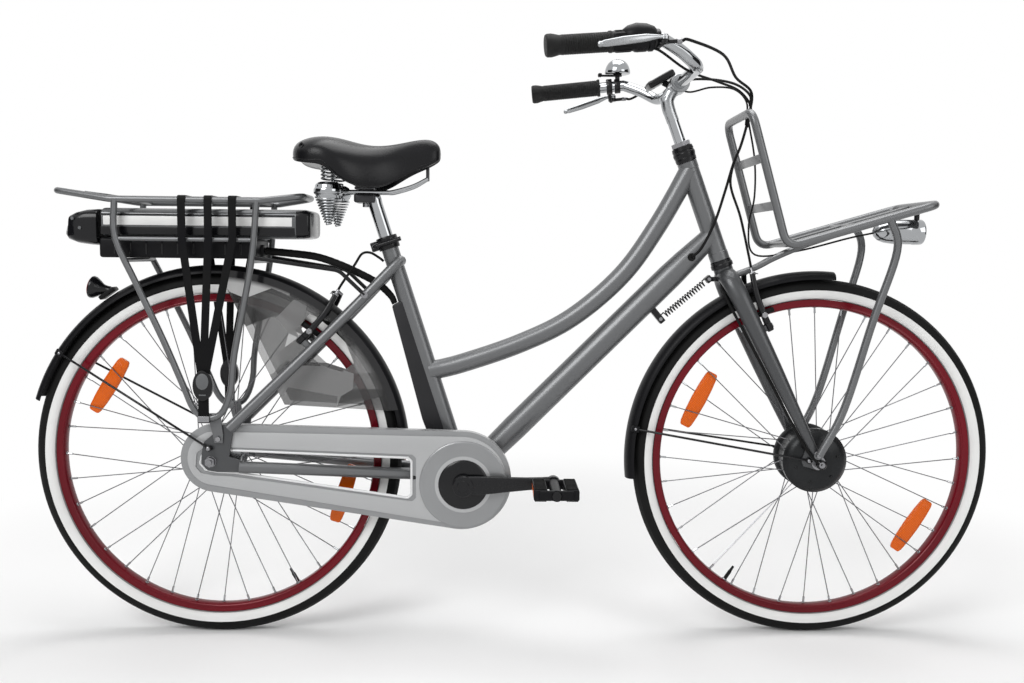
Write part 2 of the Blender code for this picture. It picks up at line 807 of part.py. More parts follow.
# Headset cups round the steerer
cup_inner = clear_of(STEERER_RADIUS, 12, RUNNING_GAP)
lower_cup = [
    (cup_inner, -LOWER_CUP_HEIGHT),
    (CUP_RADIUS, -LOWER_CUP_HEIGHT),
    (CUP_RADIUS, -0.006),
    (0.0195, -GAP),
    (cup_inner, -GAP),
]
node("headset_lower_cup", turned(lower_cup, steer_point(FORK_LENGTH), HEAD_AXIS, 12, True), BLACK_METAL)
upper_cup = [
    (cup_inner, GAP),
    (0.0195, GAP),
    (0.0205, 0.008),
    (CUP_RADIUS, 0.016),
    (0.0195, UPPER_CUP_HEIGHT),
    (cup_inner, UPPER_CUP_HEIGHT),
]
node("headset_upper_cup", turned(upper_cup, steer_point(HEAD_TOP_S), HEAD_AXIS, 12, True), BLACK_METAL)

# Clamp round the top of the seat tube
tube_fit = clear_of(SEAT_TUBE_RADIUS, 12)
post_fit = clear_of(SEATPOST_RADIUS, 12)
collar_profile = [
    (tube_fit, -0.012),
    (0.0205, -0.012),
    (0.0205, 0.012),
    (post_fit, 0.012),
    (post_fit, GAP),
    (tube_fit, GAP),
]
seat_forward = Vector((math.cos(SEAT_LEAN), 0, math.sin(SEAT_LEAN)))
lug = SEAT_TOP - 0.026 * seat_forward
collar = fused(
    turned(collar_profile, SEAT_TOP, SEAT_AXIS, 12, True),
    block(lug, (0.014, 0.020, 0.018), seat_forward),
    rod(lug - 0.019 * Y_AXIS, lug + 0.017 * Y_AXIS, 0.004, 6),
    tube(
        [
            lug - 0.017 * Y_AXIS,
            lug + 0.012 * seat_forward - 0.023 * Y_AXIS,
            lug + 0.054 * seat_forward - 0.026 * Y_AXIS,
        ],
        0.0042,
        6,
    ),
)
node("seat_collar", collar, BLACK_METAL)


# Mudguards with their wire stays
def mudguard(axle, arc, stay_angle, eye, face_y, reach):
    edge = MUDGUARD_RADIUS - MUDGUARD_DROP
    steps = round((arc[1] - arc[0]) / 6.5)
    sections = []
    for i in range(steps + 1):
        degrees = arc[0] + (arc[1] - arc[0]) * i / steps
        ring = []
        for wall, turns in ((MUDGUARD_WALL, range(-2, 3)), (0.0, range(2, -3, -1))):
            half_width = MUDGUARD_HALF_WIDTH - MUDGUARD_WALL + wall
            for turn in turns:
                lean = math.radians(45 * turn)
                radius = edge + (MUDGUARD_DROP + wall) * math.cos(lean)
                ring.append(on_wheel(axle, radius, degrees, half_width * math.sin(lean)))
        sections.append(ring)
    guard = loft(sections)
    wires = []
    for side in (-1, 1):
        foot = eye + side * (face_y + reach) * Y_AXIS
        root = on_wheel(axle, edge + 0.0035, stay_angle, side * (MUDGUARD_HALF_WIDTH + 0.0005))
        wires += [
            rod(foot, root, STAY_WIRE_RADIUS, 5),
            rod(foot - reach * Y_AXIS, foot + reach * Y_AXIS, 0.0055, 8),
            block(root, (0.016, 0.0052, 0.012), (root - foot).normalized()),
        ]
    return guard, wires


dropout_face = DROPOUT_INNER + DROPOUT_THICKNESS + GAP
guard, wires = mudguard(
    REAR_AXLE,
    REAR_MUDGUARD_ARC,
    REAR_STAY_ANGLE,
    at(-0.0015, 0.3774),
    dropout_face,
    0.0052,
)
node("rear_mudguard", fused(guard, *wires), BLACK_PLASTIC, sharp=50)

# Coat guards beside the rear wheel
guard_arc = circle(0.0, AXLE_Z, 0.3585, 14, 15.0, 86.0)
guard_outline = [*guard_arc, (0.0224, 0.6748), (0.1295, 0.4527), (0.3284, 0.4422)]
guard_notch = [
    (0.152, 0.594),
    (0.170, 0.556),
    (0.200, 0.528),
    (0.238, 0.516),
    (0.262, 0.534),
    (0.246, 0.574),
    (0.216, 0.612),
    (0.178, 0.627),
]
for side, word in ((-1, "right"), (1, "left")):
    inner = MUDGUARD_HALF_WIDTH + GAP
    panel = plate(guard_outline, side * inner, side * (inner + 0.002), [guard_notch])
    node("coat_guard_" + word, panel, SMOKE)

# Luggage rack on the dropouts and seatstays
CROSSBAR_Z = BATTERY_BOTTOM_Z - GAP - CRADLE_DEPTH - GAP - RACK_RAIL_RADIUS
side_points = (
    (-0.166, 0.837, RACK_HALF_WIDTH),
    (-0.166, 0.767, RACK_HALF_WIDTH),
    (-0.1266, 0.6785, 0.0785),
    (-0.0808, 0.5800, 0.0815),
    (-0.0449, 0.4956, 0.0840),
    (-0.0268, 0.4536, RACK_FOOT_Y),
    (-0.0053, 0.4362, RACK_FOOT_Y),
    (0.0236, 0.4436, RACK_FOOT_Y),
    (0.0420, 0.4863, 0.0845),
    (0.0496, 0.5567, 0.0820),
    (0.0810, 0.7214, 0.0780),
    (0.0920, 0.837, RACK_HALF_WIDTH),
)
platform = rounded(
    [
        at(RACK_REAR_X - 0.01, RACK_TOP_Z, -RACK_HALF_WIDTH),
        at(RACK_REAR_LOOP_X, RACK_TOP_Z + RACK_LOOP_RISE, -0.054),
        at(RACK_REAR_LOOP_X, RACK_TOP_Z + RACK_LOOP_RISE, 0.054),
        at(RACK_REAR_X - 0.01, RACK_TOP_Z, RACK_HALF_WIDTH),
        at(RACK_FRONT_X + 0.01, RACK_TOP_Z, RACK_HALF_WIDTH),
        at(RACK_FRONT_LOOP_X, RACK_TOP_Z + 0.010, 0.050),
        at(RACK_FRONT_LOOP_X, RACK_TOP_Z + 0.010, -0.050),
        at(RACK_FRONT_X + 0.01, RACK_TOP_Z, -RACK_HALF_WIDTH),
    ],
    0.022,
    2,
    closed=True,
)
rack_solids = []
for side in (-1, 1):
    path = [at(x, z, side * y) for x, z, y in side_points]
    foot = at(0.0161, 0.3948)
    stay_end = at(0.2850, 0.6650)
    rack_solids += [
        tube(path, RACK_TUBE_RADIUS, 6),
        rod(
            at(-0.162, RACK_LOWER_Z, side * LOWER_RAIL_Y),
            at(0.0835, RACK_LOWER_Z, side * LOWER_RAIL_Y),
            RACK_RAIL_RADIUS,
            6,
        ),
        plate(
            [
                (0.0085, 0.3870),
                (0.0240, 0.3870),
                (0.0250, 0.4020),
                (0.0200, 0.4440),
                (-0.0040, 0.4400),
                (0.0060, 0.4020),
            ],
            side * dropout_face,
            side * (dropout_face + 0.004),
        ),
        block(at(0.008, 0.4400, side * (RACK_FOOT_Y - 0.005)), (0.020, 0.010, 0.007), (1, 0, 0)),
        rod(
            foot + side * (dropout_face + 0.001) * Y_AXIS,
            foot + side * (dropout_face + 0.0085) * Y_AXIS,
            0.0055,
            6,
        ),
        tube(
            rounded(
                [
                    at(0.0835, 0.7330, side * 0.0775),
                    at(0.2374, 0.7101, side * 0.0480),
                    stay_end + side * 0.0470 * Y_AXIS,
                ],
                0.030,
                3,
            ),
            0.0038,
            6,
        ),
        rod(stay_end + side * 0.0430 * Y_AXIS, stay_end + side * 0.0502 * Y_AXIS, 0.0068, 8),
    ]
for x, z in (
    (-0.1477, CROSSBAR_Z),
    (0.0819, CROSSBAR_Z),
    (-0.150, RACK_TOP_Z),
    (-0.030, RACK_TOP_Z),
    (0.088, RACK_TOP_Z),
):
    rack_solids.append(rod(at(x, z, -0.0765), at(x, z, 0.0765), RACK_RAIL_RADIUS, 6))
rail_from = at(-0.150, RACK_TOP_Z)
rail_to = at(RACK_REAR_LOOP_X, RACK_TOP_Z + RACK_LOOP_RISE)
rail_way = (rail_from - rail_to).normalized()
for side in (-1, 1):
    aside = side * 0.026 * Y_AXIS
    rack_solids.append(rod(rail_from + aside, rail_to + aside, RACK_RAIL_RADIUS, 6))
plate_at = (rail_from + rail_to) / 2 + at(0, 0.0045)
rack_solids.append(block(plate_at, (0.040, 0.066, 0.003), rail_way))
node("rear_rack", fused(tube(platform, RACK_TUBE_RADIUS, 6, closed=True), *rack_solids), FRAME_PAINT)

# Battery, its cradle and the power cable
cradle_z = BATTERY_BOTTOM_Z - GAP - CRADLE_DEPTH / 2
cradle = fused(
    block(at(-0.0595, cradle_z), (0.289, 2 * CRADLE_HALF_WIDTH, CRADLE_DEPTH), (1, 0, 0)),
    block(at(0.0700, cradle_z - 0.004), (0.040, 0.030, 0.024), (1, 0, 0)),
)
node("battery_cradle", cradle, BLACK_PLASTIC)
cable_path = [
    at(0.0907, 0.7450),
    at(0.1500, 0.7400),
    at(0.1900, 0.7345),
    at(0.2300, 0.7215),
    at(0.2700, 0.7040),
    at(0.3050, 0.6850),
    at(0.3292, 0.6625),
    at(0.3374, 0.6470),
]
cable_radii = (0.0075, 0.0075, 0.0075, 0.0075, 0.0075, 0.0070, 0.0062, 0.0058)
node("power_cable", tube(cable_path, CABLE_SHEATH_RADIUS, 6, cable_radii), RUBBER)


def battery_ring(x, grow=1.0, lift=0.0):
    centre = at(x, BATTERY_BOTTOM_Z + BATTERY_HEIGHT / 2 + lift)
    half_height = BATTERY_HEIGHT / 2 * grow
    return oval(centre, Y_AXIS, Z_AXIS, BATTERY_HALF_WIDTH * min(1.0, grow + 0.04), half_height, 12, 5.0)


pivot("battery", "frame", at(BATTERY_REAR_X, BATTERY_BOTTOM_Z))
nose_x = BATTERY_REAR_X - BATTERY_NOSE
battery = loft(
    [
        battery_ring(nose_x, 0.50, -0.006),
        battery_ring(nose_x + 0.010, 0.72, -0.004),
        battery_ring(BATTERY_REAR_X - 0.012, 0.97),
        battery_ring(BATTERY_REAR_X),
        battery_ring(BATTERY_FRONT_X - 0.022),
        battery_ring(BATTERY_FRONT_X - 0.005, 0.94),
        battery_ring(BATTERY_FRONT_X, 0.84),
    ]
)
node("battery_pack", battery, ALUMINIUM, "battery")

# Luggage straps, joined at a buckle on each side
strap_y = RACK_HALF_WIDTH + RACK_TUBE_RADIUS + GAP + STRAP_THICKNESS / 2
strap_z = RACK_TOP_Z + RACK_TUBE_RADIUS + GAP + STRAP_THICKNESS / 2
hook_y = RACK_FOOT_Y + RACK_TUBE_RADIUS + GAP + STRAP_THICKNESS / 2


def strap(x_top, x_low):
    corners = []
    for side in (-1, 1):
        ends = [
            at(x_low, BUCKLE_Z, side * (hook_y - 0.003)),
            at(x_low, BUCKLE_Z + 0.030, side * (hook_y - 0.003)),
            at(x_top, RACK_LOWER_Z, side * strap_y),
            at(x_top, strap_z, side * strap_y),
        ]
        corners += ends if side < 0 else ends[::-1]
    sections = []
    count = len(corners)
    for i, corner in enumerate(corners):
        before = corners[max(i - 1, 0)]
        after = corners[min(i + 1, count - 1)]
        way = (after - before).normalized()
        out = Vector((0, way.z, -way.y)).normalized()
        stretch = STRAP_THICKNESS / 2 * (1.35 if i in (3, 4) else 1.0)
        wide = STRAP_WIDTH / 2 * Vector((1, 0, 0))
        over = stretch * out
        sections.append([corner - wide - over, corner + wide - over, corner + wide + over, corner - wide + over])
    return loft(sections)


strap_solids = [strap(-0.100, BUCKLE_X - 0.005), strap(0.052, BUCKLE_X + 0.005)]
for side in (-1, 1):
    shell = [
        (
            BUCKLE_X + BUCKLE_WIDTH / 2 * math.sin(a),
            BUCKLE_Z + 0.004 - BUCKLE_HEIGHT / 2 * math.cos(a),
        ) for a in [math.tau * i / 10
        for i in range(10)]
    ]
    tab = at(BUCKLE_X, 0.4650, side * hook_y)
    strap_solids += [
        plate(shell[::-1], side * (hook_y - 0.005), side * (hook_y + 0.006)),
        block(tab, (0.020, STRAP_THICKNESS, 0.075), (1, 0, 0)),
        block(at(BUCKLE_X, 0.4282, side * (hook_y - 0.0050)), (0.018, 0.011, 0.003), (1, 0, 0)),
    ]
node("rack_straps", fused(strap(-0.024, BUCKLE_X), *strap_solids), BLACK_PLASTIC)

# Tail lamp on the rear mudguard
lamp_foot = MUDGUARD_RADIUS + MUDGUARD_WALL + GAP
lamp_way = on_wheel(Vector((0, 0, 0)), 1.0, 36.0)
lamp = fused(
    block(on_wheel(REAR_AXLE, lamp_foot + 0.016, 126.0), (0.046, 0.030, 0.032), lamp_way),
    block(
        on_wheel(REAR_AXLE, lamp_foot + 0.017, 126.0) - 0.018 * lamp_way,
        (0.016, 0.052, 0.030),
        lamp_way,
    ),
)
node("tail_lamp", lamp, BLACK_PLASTIC)

# Chain case, open toward the wheel, with a window for the chainstay
case_rear = (CASE_REAR_SHIFT, AXLE_Z + CASE_REAR_RISE)
case_front = (BB_FORWARD + CASE_FRONT_SHIFT, BB_Z + CASE_FRONT_RISE)
case_shell = belt(*case_rear, CASE_REAR_RADIUS, *case_front, CASE_FRONT_RADIUS)
case_hollow = belt(*case_rear, CASE_REAR_RADIUS - CASE_WALL, *case_front, CASE_FRONT_RADIUS - CASE_WALL)
case_window = [
    (-0.022, 0.346),
    (-0.012, 0.334),
    (0.012, 0.3295),
    (0.043, 0.3283),
    (0.368, 0.2815),
    (0.375, 0.288),
    (0.375, 0.352),
    (0.368, 0.3587),
    (0.0225, 0.3715),
    (-0.006, 0.370),
    (-0.019, 0.360),
]
inner_y = CASE_DEPTH - CASE_OUTER_Y
case_post = at(0.3800, 0.3205)
stay_side = 0.0308 + CHAINSTAY_RADIUS + GAP
case = fused(
    plate(case_shell, -CASE_OUTER_Y, inner_y),
    rod(BB - 0.0667 * Y_AXIS, BB - 0.0550 * Y_AXIS, 0.0806, 24),
    rod(BB - 0.0695 * Y_AXIS, BB - 0.0560 * Y_AXIS, CAP_RADIUS, 16),
    rod(at(0.0161, 0.3948, -0.0570), at(0.0161, 0.3948, GAP - DROPOUT_INNER), 0.0055, 8),
)
case = cut(
    case,
    plate(case_hollow, CASE_WALL - CASE_OUTER_Y, inner_y + 0.01),
    plate(case_window, -CASE_OUTER_Y - 0.01, inner_y),
    rod(BB - 0.075 * Y_AXIS, BB - 0.050 * Y_AXIS, 0.0185, 10),
)
case = fused(case, rod(case_post - 0.0645 * Y_AXIS, case_post - stay_side * Y_AXIS, 0.0040, 8))
node("chain_case", case, CASE_SILVER)

# Chain as one band, grooved for the teeth
wheels = (0.0, AXLE_Z, SPROCKET_PITCH_RADIUS, BB_FORWARD, BB_Z, CHAINRING_PITCH_RADIUS)


def chain_line(grow):
    return belt(*wheels[:2], wheels[2] + grow, *wheels[3:5], wheels[5] + grow)


half = CHAIN_HEIGHT / 2
band = plate(chain_line(half), CHAIN_Y - CHAIN_WIDTH / 2, CHAIN_Y + CHAIN_WIDTH / 2, [chain_line(-half)])
groove = plate(chain_line(0.0008), CHAIN_Y - 0.0018, CHAIN_Y + 0.0018, [chain_line(-half - 0.001)])
node("drive_chain", cut(band, groove), STEEL)


def toothed(cx, cz, pitch_radius, teeth, tip):
    ring = []
    for i in range(teeth):
        for part, radius in ((0.0, pitch_radius - TOOTH_DEPTH), (0.5, pitch_radius + tip)):
            angle = math.tau * (i + part) / teeth
            ring.append((cx + radius * math.cos(angle), cz + radius * math.sin(angle)))
    return ring


# Rear axle with its nuts
nut_from = dropout_face
spacer_to = DROPOUT_INNER - GAP
axle_parts = []
for side, hub_end in ((-1, 0.0590), (1, 0.0606)):
    axle_parts += [
        rod(
            REAR_AXLE + side * nut_from * Y_AXIS,
            REAR_AXLE + side * (nut_from + NUT_HEIGHT) * Y_AXIS,
            NUT_RADIUS,
            6,
        ),
        rod(REAR_AXLE + side * hub_end * Y_AXIS, REAR_AXLE + side * spacer_to * Y_AXIS, 0.009, 8),
    ]
half_axle = REAR_AXLE_LENGTH / 2
node(
    "rear_axle",
    fused(
        rod(REAR_AXLE - half_axle * Y_AXIS, REAR_AXLE + half_axle * Y_AXIS, REAR_AXLE_RADIUS, 10),
        *axle_parts,
    ),
    STEEL,
)

# Steering spring between the down tube and the fork crown
damper_from = DAMPER_LOW + (DAMPER_LUG / 2 + GAP + DAMPER_LEAD) * DAMPER_WAY
damper_to = DAMPER_HIGH - (DAMPER_LUG / 2 + GAP + DAMPER_LEAD) * DAMPER_WAY
damper_path = helix(
    damper_from,
    damper_to,
    DAMPER_CURLS,
    (DAMPER_COIL_RADIUS, DAMPER_COIL_RADIUS),
    8,
    DAMPER_LEAD,
)
print(
    "steering spring, least gap to itself in mm:",
    round(1000 * least_gap(damper_path, DAMPER_WIRE_RADIUS, 5), 2),
)
node("steering_spring", tube(damper_path, DAMPER_WIRE_RADIUS, 6), CHROME)


# Wheels
def tyre(axle):
    half_bead, half_width = TYRE_BEAD_WIDTH / 2, TYRE_WIDTH / 2
    side = [
        (TYRE_BEAD_RADIUS, half_bead),
        (0.3260, half_width),
        (0.3430, half_width - 0.0045),
    ]
    tread = [(TYRE_RADIUS, -0.0075), (TYRE_RADIUS, 0.0075)]
    ring = [(r, -y) for r, y in side] + tread + side[::-1]
    return turned(ring, axle, Y_AXIS, WHEEL_SIDES, True)


def rim(axle):
    half_width = RIM_WIDTH / 2
    side = [(RIM_RADIUS, half_width), (RIM_RADIUS - 0.0115, half_width), (RIM_INNER_RADIUS, 0.0065)]
    ring = [(r, -y) for r, y in side] + side[::-1]
    return turned(ring, axle, Y_AXIS, WHEEL_SIDES, True)


SPOKE_END_RADIUS = RIM_INNER_RADIUS * math.cos(math.pi / WHEEL_SIDES) - SPOKE_END_GAP


def spoke_ends(axle, i, flange, flange_y, lean):
    side = 1 if i % 2 else -1
    hand = 1 if i // 2 % 2 else -1
    degrees = 360 / SPOKE_COUNT * i
    root = on_wheel(
        axle,
        flange - 0.003,
        degrees + hand * lean,
        side * (flange_y + hand * SPOKE_HEAD_OFFSET),
    )
    return root, on_wheel(axle, SPOKE_END_RADIUS, degrees, side * SPOKE_TIP_OFFSET)


def spoked(profile, axle, flange, flange_y, lean, steps):
    spokes = [
        rod(*spoke_ends(axle, i, flange, flange_y, lean), SPOKE_RADIUS, 3)
        for i in range(SPOKE_COUNT)
    ]
    return fused(turned(profile, axle, Y_AXIS, steps, True), *spokes)


def reflector(axle, degrees, flange, flange_y, lean):
    # As thick as the two planes of spokes leave room for at its outer corners
    corner = math.hypot(REFLECTOR_RADIUS + REFLECTOR_WIDTH / 2, REFLECTOR_LENGTH / 2)
    start, end = spoke_ends(Vector((0, 0, 0)), 1, flange, flange_y - SPOKE_HEAD_OFFSET, lean)
    steps = [start + (end - start) * t / 400 for t in range(401)]
    nearest = min(steps, key=lambda p: abs(math.hypot(p.x, p.z) - corner))
    thickness = 2 * (abs(nearest.y) - SPOKE_RADIUS - GAP)
    centre = on_wheel(axle, REFLECTOR_RADIUS, degrees)
    tangent = on_wheel(Vector((0, 0, 0)), 1.0, degrees + 90)
    return block(centre, (REFLECTOR_LENGTH, thickness, REFLECTOR_WIDTH), tangent)


half_motor = FRONT_HUB_WIDTH / 2
motor_side = [
    (clear_of(FRONT_AXLE_RADIUS, 18, RUNNING_GAP), half_motor),
    (0.030, half_motor),
    (0.050, half_motor - 0.003),
    (MOTOR_RADIUS, half_motor - 0.014),
    (MOTOR_RADIUS, MOTOR_FLANGE_Y - 0.004),
    (MOTOR_SHELL_RADIUS, MOTOR_FLANGE_Y - 0.006),
]
motor_profile = [(r, -y) for r, y in motor_side] + motor_side[::-1]
rear_side = [
    (0.020, 0.036),
    (REAR_HUB_FLANGE_RADIUS, 0.032),
    (REAR_HUB_FLANGE_RADIUS, 0.028),
    (REAR_HUB_SHELL_RADIUS, 0.026),
]
hub_bore = clear_of(REAR_AXLE_RADIUS, 12, RUNNING_GAP)
rear_profile = [
    (hub_bore, -0.0445),
    (0.020, -0.0445),
    *[(r, -y) for r, y in rear_side],
    *rear_side[::-1],
    (0.022, 0.060),
    (hub_bore, 0.060),
]
wheel_set = (
    (
        "front",
        FRONT_AXLE,
        "front_hub_motor",
        motor_profile,
        MOTOR_RADIUS,
        MOTOR_FLANGE_Y,
        FRONT_SPOKE_LEAN,
        18,
        FRONT_REFLECTOR_ANGLES,
    ),
    (
        "rear",
        REAR_AXLE,
        "rear_hub",
        rear_profile,
        REAR_HUB_FLANGE_RADIUS,
        REAR_HUB_FLANGE_Y,
        REAR_SPOKE_LEAN,
        12,
        REAR_REFLECTOR_ANGLES,
    ),
)
pivot("fork", "frame", steer_point(FORK_LENGTH + HEAD_TUBE_LENGTH / 2))
pivot("front_wheel", "fork", FRONT_AXLE)
pivot("rear_wheel", "frame", REAR_AXLE)
for word, axle, hub_name, profile, flange, flange_y, lean, steps, angles in wheel_set:
    body = word + "_wheel"
    node(word + "_tire", tyre(axle), RUBBER, body)
    node(word + "_rim", rim(axle), RIM_RED, body)
    node(hub_name, spoked(profile, axle, flange, flange_y, lean, steps), BLACK_METAL, body)
    for letter, degrees in zip("ab", angles):
        node(word + "_reflector_" + letter, reflector(axle, degrees, flange, flange_y, lean), ORANGE, body)

# Fork with its steerer, crown race, locknut and dropouts
dropout_y = half_motor + 0.001
blade_sides = []
fork_plate = [
    steer_point(*p).xz
    for p in (
        (-0.014, 0.036),
        (-0.014, 0.047),
        (-0.006, 0.054),
        (0.008, 0.054),
        (0.030, 0.046),
        (0.040, 0.036),
        (0.034, 0.028),
        (0.016, 0.012),
        (0.004, 0.012),
        (-0.006, 0.026),
    )
]
for side in (-1, 1):
    path = [steer_point(s, f, side * y) for s, f, y in BLADE_PATH]
    blade_sides += [
        tube(path, BLADE_RADII[0], 10, BLADE_RADII),
        plate(fork_plate, side * dropout_y, side * (dropout_y + 0.006)),
        *FRONT_BRAKE.boss(side),
    ]
race_top = FORK_LENGTH - LOWER_CUP_HEIGHT - RUNNING_GAP
nut_low = HEAD_TOP_S + UPPER_CUP_HEIGHT + RUNNING_GAP
quill_low = FORK_LENGTH + 0.1275
fork = fused(
    rod(steer_point(0.396), steer_point(nut_low + 0.009), STEERER_RADIUS, 12),
    rod(steer_point(0.399), steer_point(race_top), 0.0185, 10),
    rod(steer_point(nut_low), steer_point(nut_low + 0.009), 0.0185, 8),
    block(DAMPER_HIGH, (DAMPER_LUG, 0.018, 0.012), DAMPER_WAY),
    block(
        (DAMPER_HIGH + steer_point(0.390, -0.004)) / 2,
        (0.030, 0.012, 0.009),
        steer_point(0.390, -0.004) - DAMPER_HIGH,
    ),
    *blade_sides,
)
fork = cut(
    fork,
    bore(steer_point(quill_low), steer_point(nut_low + 0.02), QUILL_RADIUS),
    bore(FRONT_AXLE - 0.09 * Y_AXIS, FRONT_AXLE + 0.09 * Y_AXIS, FRONT_AXLE_RADIUS, 10),
)
node("fork", fork, FRAME_PAINT, "fork")

front_nuts = []
for side in (-1, 1):
    outer = dropout_y + 0.006 + GAP
    front_nuts += [
        rod(FRONT_AXLE + side * outer * Y_AXIS, FRONT_AXLE + side * (outer + 0.0015) * Y_AXIS, 0.0135, 10),
        rod(
            FRONT_AXLE + side * outer * Y_AXIS,
            FRONT_AXLE + side * (outer + 0.0115) * Y_AXIS,
            NUT_RADIUS,
            6,
        ),
    ]
half_axle = FRONT_AXLE_LENGTH / 2
node(
    "front_axle",
    fused(
        rod(FRONT_AXLE - half_axle * Y_AXIS, FRONT_AXLE + half_axle * Y_AXIS, FRONT_AXLE_RADIUS, 10),
        *front_nuts,
    ),
    STEEL,
    "fork",
)

eye = steer_point(0.012, 0.0245)
guard, wires = mudguard(
    FRONT_AXLE,
    FRONT_MUDGUARD_ARC,
    FRONT_STAY_ANGLE,
    eye,
    dropout_y + 0.006 + GAP,
    0.003,
)
crown_way = steer_point(0.3825) - FRONT_AXLE
crown_radius = crown_way.length
bracket_from = MUDGUARD_RADIUS + MUDGUARD_WALL / 2
bracket_to = crown_radius - GAP - 0.0004
crown_way.normalize()
bracket = block(
    FRONT_AXLE + (bracket_from + bracket_to) / 2 * crown_way,
    (bracket_to - bracket_from, 0.014, 0.010),
    crown_way,
)
node("front_mudguard", fused(guard, bracket, *wires), BLACK_PLASTIC, "fork", sharp=50)

# Cranks, chainring, sprocket and pedals
pivot("sprocket", "frame", REAR_AXLE + CHAIN_Y * Y_AXIS)
sprocket = fused(
    plate(
        toothed(0.0, AXLE_Z, SPROCKET_PITCH_RADIUS, SPROCKET_TEETH, SPROCKET_TIP),
        CHAIN_Y - TOOTH_THICKNESS / 2,
        CHAIN_Y + TOOTH_THICKNESS / 2,
    ),
    rod(REAR_AXLE - 0.0583 * Y_AXIS, REAR_AXLE - 0.0450 * Y_AXIS, 0.0165, 12),
)
sprocket = cut(
    sprocket,
    bore(REAR_AXLE - 0.070 * Y_AXIS, REAR_AXLE - 0.030 * Y_AXIS, REAR_AXLE_RADIUS, 10, RUNNING_GAP),
)
node("rear_sprocket", sprocket, STEEL, "sprocket")

crank_way = on_wheel(Vector((0, 0, 0)), 1.0, CRANK_ANGLE)
pivot("crank", "frame", BB)


def crank_arm(side):
    way = -side * crank_way
    centre = BB + side * CRANK_Y * Y_AXIS
    tip = centre + CRANK_LENGTH * way
    half = CRANK_THICKNESS / 2 * Y_AXIS
    sections = []
    for reach, wide in ((-0.002, 0.030), (0.030, 0.027), (0.120, 0.021), (CRANK_LENGTH, 0.024)):
        up = Vector((-way.z, 0, way.x)) * wide / 2
        here = centre + reach * way
        sections.append([here - half - up, here + half - up, here + half + up, here - half + up])
    return fused(
        loft(sections),
        rod(centre - 1.12 * half, centre + 1.12 * half, 0.0175, 12),
        rod(tip - 1.12 * half, tip + 1.12 * half, 0.0135, 10),
        rod(tip, tip + side * (PEDAL_LENGTH + 0.005) * Y_AXIS, PEDAL_AXLE_RADIUS, 8),
    )


right = fused(
    crank_arm(-1),
    rod(BB - CRANK_Y * Y_AXIS, BB + (CRANK_Y + 0.009) * Y_AXIS, SPINDLE_RADIUS, 12),
    plate(
        toothed(BB_FORWARD, BB_Z, CHAINRING_PITCH_RADIUS, CHAINRING_TEETH, CHAINRING_TIP),
        CHAIN_Y - TOOTH_THICKNESS / 2,
        CHAIN_Y + TOOTH_THICKNESS / 2,
    ),
    rod(BB - 0.0580 * Y_AXIS, BB - 0.0460 * Y_AXIS, 0.0165, 12),
)
node("crank_right", right, ALUMINIUM, "crank")
left = cut(crank_arm(1), bore(BB + 0.05 * Y_AXIS, BB + 0.11 * Y_AXIS, SPINDLE_RADIUS))
node("crank_left", left, ALUMINIUM, "crank")

for side, word in ((-1, "right"), (1, "left")):
    tip = BB - side * CRANK_LENGTH * crank_way
    start = CRANK_Y + 0.0075 + RUNNING_GAP
    middle = tip + side * (start + PEDAL_LENGTH / 2) * Y_AXIS
    pivot("pedal_" + word, "crank", tip + side * start * Y_AXIS)
    half = PEDAL_LENGTH / 2
    bars = []
    for end in (-1, 1):
        tread = middle + end * (PEDAL_DEPTH / 2 - 0.0125) * Vector((1, 0, 0))
        cheek = middle + end * (half - 0.005) * Y_AXIS
        bars += [
            block(tread, (0.025, PEDAL_LENGTH - 0.006, PEDAL_THICKNESS), (1, 0, 0)),
            block(cheek, (PEDAL_DEPTH - 0.020, 0.010, PEDAL_THICKNESS - 0.006), (1, 0, 0)),
        ]
    pedal = fused(rod(middle - half * Y_AXIS, middle + half * Y_AXIS, 0.0105, 10), *bars)
    open_end = middle - side * (half + 0.01) * Y_AXIS
    pedal = cut(pedal, bore(open_end, middle + side * (half - 0.002) * Y_AXIS, PEDAL_AXLE_RADIUS, 8))
    node("pedal_" + word, pedal, BLACK_PLASTIC, "pedal_" + word)

# Brake arms
for body, brake, holder in (("rear_brake", REAR_BRAKE, "frame"), ("front_brake", FRONT_BRAKE, "fork")):
    for side, word in ((-1, "right"), (1, "left")):
        pivot(body + "_" + word, holder, brake.spot(0, BRAKE_ARM_OFFSET, side * BOSS_Y))
        node(body + "_arm_" + word, brake.arm(side), BLACK_METAL, body + "_" + word)

rear_end = REAR_BRAKE.arm_end(-1, GAP)
loop = [
    at_seat(0.0084, -0.0353),
    at_seat(0.0182, -0.0278),
    at_seat(0.0342, -0.0193),
    at_seat(0.0500, -0.0218),
    at_seat(0.0622, -0.0428, -0.014),
    REAR_BRAKE.arm_end(-1, 0.024),
]
node("rear_brake_cable", tube([*flowing(loop, 2), rear_end], 0.0025, 6), RUBBER)

# Seatpost
post_foot = SEAT_TUBE_LENGTH - 0.165
post_bend = SEAT_TUBE_LENGTH + SEATPOST_SHOWN - 0.004
post_points = [BB + s * SEAT_AXIS for s in (post_foot, SEAT_TUBE_LENGTH + 0.02, post_bend)]
clamp = at_seat(0.0422, 0.0832)
pivot("seatpost", "frame", SEAT_TOP)
post = fused(
    tube([*post_points, at_seat(0.0277, 0.0847), at_seat(0.0402, 0.0842)], SEATPOST_RADIUS, 12),
    block(clamp, (0.040, 0.050, 0.0166), (1, 0, 0)),
    rod(clamp, clamp + 0.024 * Z_AXIS, 0.004, 6),
    block(clamp + 0.0187 * Z_AXIS, (0.036, 0.056, 0.0050), (1, 0, 0)),
    rod(clamp - 0.016 * Z_AXIS, clamp, 0.0065, 8),
)
node("seatpost", post, CHROME, "seatpost")

